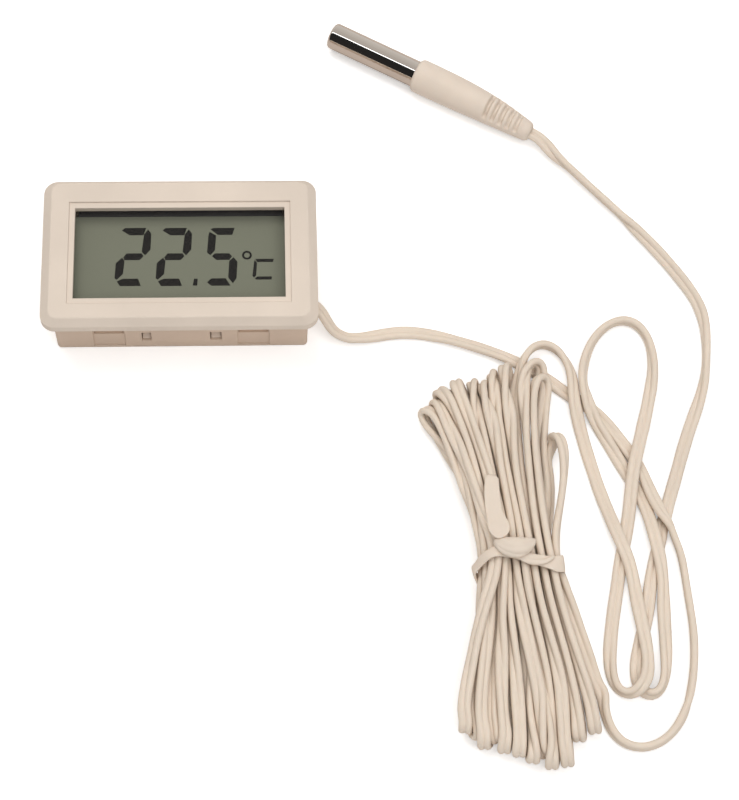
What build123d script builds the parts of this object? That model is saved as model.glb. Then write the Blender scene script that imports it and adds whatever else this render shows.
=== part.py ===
from build123d import *
import os
from math import cos, sin, radians

# Digital thermometer for panel mounting, with a remote probe on a twin lead.
# Frame: millimetres, +Z out of the display, +Y up the display, +X to the
# right of the display. The origin is the centre of the flat back of the case.

# ------------------------------------------------------------ shared sizes
# bezel flange
flange_w, flange_h = 48.0, 28.6
flange_r = 2.5
flange_back_z = 12.1          # the face that seats on the panel
bevel_z = 13.6                # top of the upright flange edge
front_z = 15.2                # front face = overall depth
# box behind the flange
body_w, body_h = 44.5, 23.4
body_r = 0.8
wall = 1.4
cavity_w, cavity_h = body_w - 2 * wall, body_h - 2 * wall
cover_edge = 0.5              # visible thickness of the rear cover's rim
front_wall_z = 13.8           # inside of the front wall
# circuit board: back and front faces
pcb_w, pcb_h = 41.0, 19.8
pcb_back_z, pcb_front_z = 7.2, 8.4
# button cells
cell_d, cell_t, cell_z = 11.6, 5.4, 1.5
cell_x = (-13.4, -1.2)
cell_mid = sum(cell_x) / 2
# battery door
door_left, door_right = -22.25, 6.2
door_w, door_h, door_t = door_right - door_left, 14.2, 1.2
door_mid = (door_left + door_right) / 2
tongue = 0.6                  # the tongues stand out this far above and below
tongue_z, tongue_t = 0.46, 0.38
# snap hooks and their windows in the long walls
hook_x = (-6.25, 6.0)
hook_window_w = (1.7, 2.0)
# twin lead, and where it enters the right wall
lead_w, lead_t = 2.16, 1.0
entry_y, entry_z = -6.5, 5.7


# ------------------------------------------------------------ helpers
def save(builder, name):
    builder.part.label = name
    export_step(builder.part, "parts/" + name + ".step")


def save_slab(name, size, centre, z_low, z_high, rim=0):
    """Rectangular slab, or a frame when a rim width is given."""
    width, height = size
    with BuildPart() as slab:
        with BuildSketch(Plane.XY.offset(z_low)):
            with Locations(centre):
                Rectangle(width, height)
                if rim:
                    Rectangle(width - 2 * rim, height - 2 * rim, mode=Mode.SUBTRACT)
        extrude(amount=z_high - z_low)
    save(slab, name)


os.makedirs("parts", exist_ok=True)

# ------------------------------------------------------------ front case
face_w, face_h = 45.0, 26.4   # flat front face inside the bevel
face_r = flange_r - 0.9
face_fillet = 0.35
overlap = 0.2                 # box walls run this far into the flange
cut_over = 1                  # cuts through a side wall are this much longer
window_w, window_h, window_y = 36.7, 17.6, -0.53
step_w, step_h, step_d = 38.72, 19.8, 0.3
rib_w, rib_h, rib_x, rib_y = 1.3, 3, 20.2, 6.5
channel_w, channel_d = 5.6, 0.27
channel_x = (-12.8, 12.65)
slot_w, slot_d = channel_w - 0.4, 1.05
slot_low, slot_high = 5.0, 8.6
hook_window_low, hook_window_high = 2.6, 5.8
door_notch_extra, door_notch_d = 0.5, 1.15
lead_hole_w, lead_hole_t = 3.2, 1.9

# bezel flange, box walls and the front wall around the window, one moulding
with BuildPart() as front_case:
    with BuildSketch(Plane.XY.offset(flange_back_z)):
        RectangleRounded(flange_w, flange_h, flange_r)
    extrude(amount=bevel_z - flange_back_z)
    with BuildSketch(Plane.XY.offset(bevel_z)):
        RectangleRounded(flange_w, flange_h, flange_r)
    with BuildSketch(Plane.XY.offset(front_z)):
        RectangleRounded(face_w, face_h, face_r)
    loft()
    # round the edge between the bevel and the front face
    fillet(front_case.edges().filter_by_position(Axis.Z, front_z - 0.01, front_z + 0.01),
           face_fillet)
    with BuildSketch(Plane.XY.offset(cover_edge)):
        RectangleRounded(body_w, body_h, body_r)
    extrude(amount=flange_back_z - cover_edge + overlap)
    with BuildSketch(Plane.XY.offset(cover_edge)):
        Rectangle(cavity_w, cavity_h)
    extrude(amount=front_wall_z - cover_edge, mode=Mode.SUBTRACT)
    # window and the shallow step around it, both cut out past the front face
    with BuildSketch(Plane.XY.offset(front_wall_z)):
        with Locations((0, window_y)):
            Rectangle(window_w, window_h)
    extrude(amount=3, mode=Mode.SUBTRACT)
    with BuildSketch(Plane.XY.offset(front_z - step_d)):
        with Locations((0, window_y)):
            Rectangle(step_w, step_h)
    extrude(amount=1, mode=Mode.SUBTRACT)
    # ribs on the short walls that stop the circuit board
    with BuildSketch(Plane.XY.offset(pcb_front_z)):
        with Locations((-rib_x, rib_y), (rib_x, rib_y), (-rib_x, -rib_y), (rib_x, -rib_y)):
            Rectangle(rib_w, rib_h)
    extrude(amount=front_wall_z - pcb_front_z)
    for side in (-1, 1):
        # shallow channels down the long walls and the clip slots in them
        channel_spots = [(x, side * body_h / 2) for x in channel_x]
        with BuildSketch(Plane.XY.offset(cover_edge)):
            with Locations(*channel_spots):
                Rectangle(channel_w, 2 * channel_d)
        extrude(amount=flange_back_z - cover_edge, mode=Mode.SUBTRACT)
        with BuildSketch(Plane.XY.offset(slot_low)):
            with Locations(*channel_spots):
                Rectangle(slot_w, 2 * slot_d)
        extrude(amount=slot_high - slot_low, mode=Mode.SUBTRACT)
        # windows that the snap hooks catch in
        for x, width in zip(hook_x, hook_window_w):
            with BuildSketch(Plane.XY.offset(hook_window_low)):
                with Locations((x, side * (body_h / 2 - wall / 2))):
                    Rectangle(width, wall + 0.6)
            extrude(amount=hook_window_high - hook_window_low, mode=Mode.SUBTRACT)
    # notch where the battery door slides out of the left wall
    with BuildSketch(Plane.XY.offset(cover_edge)):
        with Locations((-body_w / 2 + wall / 2, 0)):
            Rectangle(wall + cut_over, door_h + 2 * tongue + door_notch_extra)
    extrude(amount=door_notch_d, mode=Mode.SUBTRACT)
    # opening for the lead in the right wall; Plane.XZ faces -Y
    with BuildSketch(Plane.XZ.offset(-entry_y - lead_hole_w / 2)):
        with Locations((body_w / 2 - wall / 2, entry_z)):
            Rectangle(wall + cut_over, lead_hole_t)
    extrude(amount=lead_hole_w, mode=Mode.SUBTRACT)
save(front_case, "front_case")

# ------------------------------------------------------------ rear cover
cavity_play = 0.2             # total play of the cover's plug in the case
cover_inner_z = 1.2           # inside face of the plate
well_w, well_h, well_top_z = 26.6, 16.8, 6.5
cell_gap = 0.15
door_gap = 0.12
door_past = 2                 # door pocket runs this far past the door's left end
pocket_d = 1.5
tongue_gap = 0.08             # play in Z on each side of the tongues
post_r = 0.7
post_spots = ((-19.6, 9.35), (-19.6, -9.35), (19.4, 9.35), (17.5, -9.35))
hook_gap = 0.15               # play on each side of a hook in its window
hook_root_y, hook_face_y, hook_tip_y = 9.25, 10.15, body_h / 2 - 0.35
hook_catch_z, hook_nose_z, hook_top_z = 2.75, 3.2, 4.6

# plate with a battery well, four board posts and four snap hooks
with BuildPart() as rear_cover:
    with BuildSketch():
        RectangleRounded(body_w, body_h, body_r)
    extrude(amount=cover_edge)
    with BuildSketch(Plane.XY.offset(cover_edge)):
        Rectangle(cavity_w - cavity_play, cavity_h - cavity_play)
    extrude(amount=cover_inner_z - cover_edge)
    with BuildSketch(Plane.XY.offset(cover_inner_z)):
        with Locations((cell_mid, 0)):
            Rectangle(well_w, well_h)
    extrude(amount=well_top_z - cover_inner_z)
    # pocket of the door, and the grooves for its tongues
    pocket_w, pocket_h = door_w + door_past + 2 * door_gap, door_h + 2 * door_gap
    with BuildSketch(Plane.XY):
        with Locations((door_mid - door_past / 2, 0)):
            Rectangle(pocket_w, pocket_h)
    extrude(amount=pocket_d, mode=Mode.SUBTRACT)
    with BuildSketch(Plane.XY.offset(tongue_z - tongue_gap)):
        with Locations((door_mid - door_past / 2, 0)):
            Rectangle(pocket_w, pocket_h + 2 * tongue)
    extrude(amount=tongue_t + 2 * tongue_gap, mode=Mode.SUBTRACT)
    # bores for the cells, cut right through
    with BuildSketch(Plane.XY):
        with Locations(*[(x, 0) for x in cell_x]):
            Circle(cell_d / 2 + cell_gap)
    extrude(amount=8, mode=Mode.SUBTRACT)
    # board posts
    with BuildSketch(Plane.XY.offset(cover_inner_z)):
        with Locations(*post_spots):
            Circle(post_r)
    extrude(amount=pcb_back_z - cover_inner_z)
    # snap hooks that catch in the windows of the long walls
    for side in (-1, 1):
        root, face, tip = side * hook_root_y, side * hook_face_y, side * hook_tip_y
        for x, width in zip(hook_x, hook_window_w):
            with BuildSketch(Plane.YZ.offset(x - width / 2 + hook_gap)):
                with BuildLine():
                    Polyline((root, cover_inner_z), (face, cover_inner_z),
                             (face, hook_catch_z), (tip, hook_catch_z), (tip, hook_nose_z),
                             (face, hook_top_z), (root, hook_top_z), close=True)
                make_face()
            extrude(amount=width - 2 * hook_gap)
save(rear_cover, "rear_cover")

# ------------------------------------------------------------ battery door
tongue_x, tongue_len = -7.2, 26.4
groove_x = (-18.6, -17.2, -15.8)
groove_len, groove_w, groove_d = 8, 0.6, 0.25

with BuildPart() as battery_door:
    with BuildSketch():
        with Locations((door_mid, 0)):
            Rectangle(door_w, door_h)
    extrude(amount=door_t)
    with BuildSketch(Plane.XY.offset(tongue_z)):
        with Locations((tongue_x, 0)):
            Rectangle(tongue_len, door_h + 2 * tongue)
    extrude(amount=tongue_t)
    # finger grooves near the end that slides out
    with BuildSketch():
        with Locations(*[(x, 0) for x in groove_x]):
            SlotOverall(groove_len, groove_w, rotation=90)
    extrude(amount=groove_d, mode=Mode.SUBTRACT)
save(battery_door, "battery_door")

# strip on the inside of the door that links the two cells
link_w, link_h, link_r, link_t = 19, 5, 0.8, 0.2
with BuildPart() as link_strip:
    with BuildSketch(Plane.XY.offset(door_t)):
        with Locations((cell_mid, 0)):
            RectangleRounded(link_w, link_h, link_r)
    extrude(amount=link_t)
save(link_strip, "door_link_strip")

# ------------------------------------------------------------ display
glass_w, glass_top, glass_bottom = 38.6, 10.2, -10.0
rear_glass_top = 8.4
lens_back_z = front_wall_z - 0.5
polariser_low, polariser_high = 12.1, 12.3
front_glass_low = 11.4
rear_glass_low, rear_glass_high = 10.65, 11.345
reflector_low = 10.45
front_size = (glass_w, glass_top - glass_bottom)
front_centre = (0, (glass_top + glass_bottom) / 2)
rear_size = (glass_w, rear_glass_top - glass_bottom)
rear_centre = (0, (rear_glass_top + glass_bottom) / 2)

save_slab("window_lens", front_size, front_centre, lens_back_z, front_wall_z)
save_slab("display_gasket", front_size, front_centre, polariser_high, lens_back_z, rim=0.6)
save_slab("lcd_front_polariser", front_size, front_centre, polariser_low, polariser_high)
save_slab("lcd_front_glass", front_size, front_centre, front_glass_low, polariser_low)
save_slab("lcd_rear_glass", rear_size, rear_centre, rear_glass_low, rear_glass_high)
save_slab("lcd_reflector", rear_size, rear_centre, reflector_low, rear_glass_low)
# frame that carries the display on the circuit board
save_slab("display_spacer", (37.4, 17.2), (0, rear_centre[1] - 0.2),
          pcb_front_z, reflector_low, rim=1.6)
# elastomeric strip between the display's contact ledge and the board
save_slab("zebra_strip", (36, 1.3), (0, 9.2), pcb_front_z, front_glass_low)

# Outlines of the segments as (x, y) from the centre of each figure, slanted to
# the right. They read 22.5 with a degree ring and a small C.
digit_two = [
    [(-2.07, 5.29), (-1.49, 5.77), (2.23, 5.77), (1.74, 4.33), (-0.67, 4.33)],
    [(2.57, 5.46), (3.13, 4.59), (3.01, 1.45), (2.09, 0.32), (1.5, 1.04), (1.86, 4.46)],
    [(-1.71, -0.05), (-1.14, 0.71), (1.51, 0.71), (1.81, 0.14), (1.14, -0.59), (-1.53, -0.59)],
    [(-1.94, -0.13), (-1.5, -0.78), (-1.73, -3.32), (-2.79, -4.43), (-3.17, -4.15),
     (-3.01, -1.19)],
    [(-2.77, -4.76), (-1.72, -4.26), (0.91, -4.26), (1.42, -5.67), (-2.21, -5.67)],
]
digit_five = [
    [(-2.02, 5.5), (-1.51, 5.77), (2.24, 5.77), (1.78, 4.39), (-0.75, 4.39)],
    [(-2.22, 5.01), (-1.06, 4.26), (-1.26, 1.35), (-2.07, 0.36), (-2.65, 0.93), (-2.4, 4.21)],
    [(-1.77, 0.14), (-1.26, 0.71), (1.26, 0.71), (1.74, 0.1), (1.26, -0.57), (-1.01, -0.57)],
    [(2.02, -0.1), (2.7, -0.96), (2.51, -4.2), (1.87, -5.18), (1.07, -4.05), (1.26, -0.8)],
    [(-2.64, -5.0), (-1.89, -4.22), (0.62, -4.22), (1.45, -5.63), (-1.89, -5.63)],
]
letter_c = [
    [(-1.37, 2.04), (1.91, 2.04), (1.78, 1.44), (-1.0, 1.44)],
    [(-1.49, 1.83), (-1.05, 1.32), (-1.22, -1.2), (-1.57, -1.62), (-1.85, -1.28)],
    [(-1.45, -1.86), (-1.02, -1.43), (1.57, -1.43), (1.49, -2.01), (-1.15, -2.01)],
]
decimal_point = [[(2.39, -3.95), (3.02, -3.95), (2.92, -5.27), (2.17, -5.27)]]
# centre of each figure, and its segments
figures = [
    ((-8.32, 0.4), digit_two),
    ((-1.15, 0.35), digit_two),
    ((7.29, 0.3), digit_five),
    ((14.46, -2.19), letter_c),
    ((0, 0), decimal_point),
]
degree_spot = (11.66, 0.61)
degree_outer_r, degree_inner_r = 0.86, 0.5
segment_low, segment_high = 11.352, 11.392

with BuildPart() as lcd_segments:
    with BuildSketch(Plane.XY.offset(segment_low)):
        for (centre_x, centre_y), segments in figures:
            for segment in segments:
                with BuildLine():
                    Polyline(*[(centre_x + x, centre_y + y) for x, y in segment], close=True)
                make_face()
        with Locations(degree_spot):
            Circle(degree_outer_r)
            Circle(degree_inner_r, mode=Mode.SUBTRACT)
    extrude(amount=segment_high - segment_low)
save(lcd_segments, "lcd_segments")

# ------------------------------------------------------------ electronics
with BuildPart() as circuit_board:
    with BuildSketch(Plane.XY.offset(pcb_back_z)):
        RectangleRounded(pcb_w, pcb_h, 0.5)
    extrude(amount=pcb_front_z - pcb_back_z)
save(circuit_board, "circuit_board")

# domed blob on the back of the board
blob_x, blob_y = 13.6, 2.6
blob_r, blob_h = 3.6, 1.1
with BuildPart() as chip_blob:
    with BuildSketch(Plane(origin=(blob_x, blob_y, pcb_back_z), x_dir=(1, 0, 0),
                           z_dir=(0, -1, 0))):
        with BuildLine():
            Polyline((0, 0), (blob_r, 0), (blob_r - 0.25, -0.45), (blob_r - 1.0, -0.85),
                     (blob_r - 2.2, -blob_h), (0, -blob_h), close=True)
        make_face()
    revolve(axis=Axis((blob_x, blob_y, 0), (0, 0, 1)))
save(chip_blob, "chip_blob")

chip_w, chip_h, chip_t = 2.0, 1.2, 0.6
chip_spots = ((10.2, 8.2), (13.0, 8.2), (15.8, 8.2), (19.0, 6.0), (19.0, 3.2))
with BuildPart() as chip_parts:
    with BuildSketch(Plane.XY.offset(pcb_back_z - chip_t)):
        with Locations(*chip_spots):
            Rectangle(chip_w, chip_h)
    extrude(amount=chip_t)
save(chip_parts, "board_chip_parts")

# can lying along X behind the board
can_r, can_len, can_fillet = 1.0, 6.2, 0.2
can_left_x, can_y, can_z = 12.4, -2.9, pcb_back_z - 1.08
with BuildPart() as crystal_can:
    with BuildSketch(Plane.YZ.offset(can_left_x)):
        with Locations((can_y, can_z)):
            Circle(can_r)
    extrude(amount=can_len)
    fillet(crystal_can.edges().filter_by(GeomType.CIRCLE), can_fillet)
save(crystal_can, "crystal_can")

# two button cells: the left one has its cap to the back, the right one to the front
cap_r, cap_t = 4.9, 0.35
cell_bodies = zip(cell_x, (cell_z + cap_t, cell_z))
cell_caps = zip(cell_x, (cell_z, cell_z + cell_t - cap_t))
with BuildPart() as button_cells:
    for x, body_z in cell_bodies:
        with BuildSketch(Plane.XY.offset(body_z)):
            with Locations((x, 0)):
                Circle(cell_d / 2)
        extrude(amount=cell_t - cap_t)
    chamfer(button_cells.edges().filter_by(GeomType.CIRCLE), 0.3)
    for x, cap_z in cell_caps:
        with BuildSketch(Plane.XY.offset(cap_z)):
            with Locations((x, 0)):
                Circle(cap_r)
        extrude(amount=cap_t)
save(button_cells, "button_cells")

# contact plates in front of the cells, each with two feet to the board
contact_z = cell_z + cell_t + 0.05
contact_w, contact_h, contact_r, contact_t = 8.5, 4.2, 0.7, 0.2
foot_w, foot_h, foot_offset = 1.2, 2.4, 3
for contact_name, x in zip(("contact_positive", "contact_negative"), cell_x):
    with BuildPart() as contact:
        with BuildSketch(Plane.XY.offset(contact_z)):
            with Locations((x, 0)):
                RectangleRounded(contact_w, contact_h, contact_r)
        extrude(amount=contact_t)
        with BuildSketch(Plane.XY.offset(contact_z + contact_t)):
            with Locations((x - foot_offset, 0), (x + foot_offset, 0)):
                Rectangle(foot_w, foot_h)
        extrude(amount=pcb_back_z - contact_z - contact_t)
    save(contact, contact_name)

# ------------------------------------------------------------ lead inside the case
jacket_end_x = 16.2           # inner end of the jacket
wall_gap = 0.05               # stops this short of the case's right face


def lead_plane(x, y):
    """Section plane facing +X at the height of the lead."""
    return Plane(origin=(x, y, entry_z), x_dir=(0, 1, 0), z_dir=(1, 0, 0))


with BuildPart() as lead_entry:
    with BuildSketch(lead_plane(jacket_end_x, entry_y)):
        SlotOverall(lead_w, lead_t)
    extrude(amount=body_w / 2 - jacket_end_x - wall_gap)
save(lead_entry, "lead_entry")

# bare cores, each ending in a thicker pin up to the board
core_r, core_offset = 0.25, 0.6
core_end_x, core_gap = 14.4, 0.01
pin_x, pin_r = 14.3, core_r + 0.1
pin_low_z = entry_z - core_r - 0.05
with BuildPart() as lead_cores:
    for core_y in (entry_y - core_offset, entry_y + core_offset):
        with BuildSketch(lead_plane(core_end_x, core_y)):
            Circle(core_r)
        extrude(amount=jacket_end_x - core_gap - core_end_x)
        with BuildSketch(Plane.XY.offset(pin_low_z)):
            with Locations((pin_x, core_y)):
                Circle(pin_r)
        extrude(amount=pcb_back_z - pin_low_z)
save(lead_cores, "lead_solder_tails")

# ------------------------------------------------------------ lead outside the case
# Sections along the twin lead, one per line: centre x, y, z, then the direction
# of its flat side as x, y, z. A blank line starts a new length of lead.
lead_case_side = """
22.75 -6.5 5.7 .032 .999 -.024
24.57 -7.31 4.9 .483 .815 -.319
25.74 -8.67 3.65 .461 .774 -.435
26.96 -9.93 2.35 .229 .864 -.448
28.74 -10.66 1.31 .01 .883 -.469
30.87 -10.88 .99 -.008 .855 -.519
33.05 -10.67 .87 -.176 .935 -.308
35.2 -10.28 .71 -.186 .982 -.047
37.37 -9.93 .71 -.121 .991 -.055
39.55 -9.78 .71 -.01 .999 -.052
41.74 -9.89 .7 .105 .994 -.03
43.91 -10.23 .7 .199 .98 -.019
46.04 -10.74 .83 .274 .928 -.253
48.14 -11.35 .95 .267 .851 -.451
50.23 -12.02 .95 .281 .846 -.453
52.3 -12.74 .95 .3 .839 -.455
54.36 -13.5 .95 .322 .829 -.457
56.39 -14.33 .96 .353 .815 -.46
58.38 -15.26 .91 .395 .834 -.386
60.29 -16.31 .73 .505 .859 -.08
62.15 -17.48 .7 .54 .842 .022
63.98 -18.67 .7 .56 .828 .035
65.74 -19.99 .7 .64 .768 .03
67.41 -21.41 .69 .634 .773 .009
69.16 -22.74 .68 .583 .812 -.003
70.94 -24.01 .68 .59 .808 .001
72.66 -25.38 .69 .667 .745 .016
74.18 -26.96 .7 .768 .64 .036
75.5 -28.71 .71 .817 .575 .046
76.73 -30.52 .7 .837 .545 .038
77.89 -32.38 .69 .855 .518 .011
79 -34.28 .71 .875 .48 -.056
79.97 -36.24 .81 .904 .376 -.204
80.71 -38.27 1.14 .921 .204 -.332
81.27 -40.35 1.6 .933 .17 -.318
81.86 -42.42 2.02 .94 .273 -.206
82.63 -44.45 2.25 .878 .361 -.314
83.56 -46.43 2.39 .637 .266 -.724
84.55 -48.32 2.01 .169 .476 -.863
85.23 -50.29 1.34 .165 .224 -.961
85.79 -52.4 1.27 .18 .035 -.983
86.09 -54.58 1.27 .147 .013 -.989
86.25 -56.76 1.27 .133 .008 -.991
86.38 -58.95 1.27 .133 .008 -.991
86.52 -61.14 1.27 .136 .009 -.991
86.66 -63.33 1.27 .131 .007 -.991
86.74 -65.52 1.28 .115 .001 -.993
86.73 -67.72 1.28 .092 -.004 -.996
86.59 -69.91 1.28 .067 -.007 -.998
86.33 -72.08 1.28 .041 -.006 -.999
85.96 -74.25 1.28 .011 -.002 -1
85.46 -76.38 1.28 -.027 .007 -1
84.81 -78.47 1.28 .058 -.017 -.998
83.95 -80.49 1.26 .236 -.107 -.966
82.83 -82.38 1.26 .209 -.161 -.965
81.4 -84.03 1.29 .111 -.132 -.985
79.64 -85.34 1.31 .052 -.095 -.994
77.6 -86.11 1.31 .011 -.049 -.999
75.41 -86.17 1.3 -.002 -.028 -1
73.38 -85.38 1.29 -.029 -.064 -.998
71.86 -83.82 1.27 -.13 -.088 -.988
70.98 -81.82 1.27 -.242 -.037 -.97
70.51 -79.68 1.42 -.348 .068 -.935
70.29 -77.56 1.89 -.831 -.063 -.553
69.52 -75.51 1.98 -.933 -.332 .135
68.89 -73.41 2.08 -.96 -.273 .056
68.31 -71.32 2.34 -.957 -.244 -.16
67.7 -69.24 2.71 -.931 -.223 -.29
67.08 -67.17 3.1 -.91 -.206 -.36
66.45 -65.11 3.51 -.882 -.179 -.435
65.84 -63.04 3.9 -.812 -.139 -.567
"""
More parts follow.
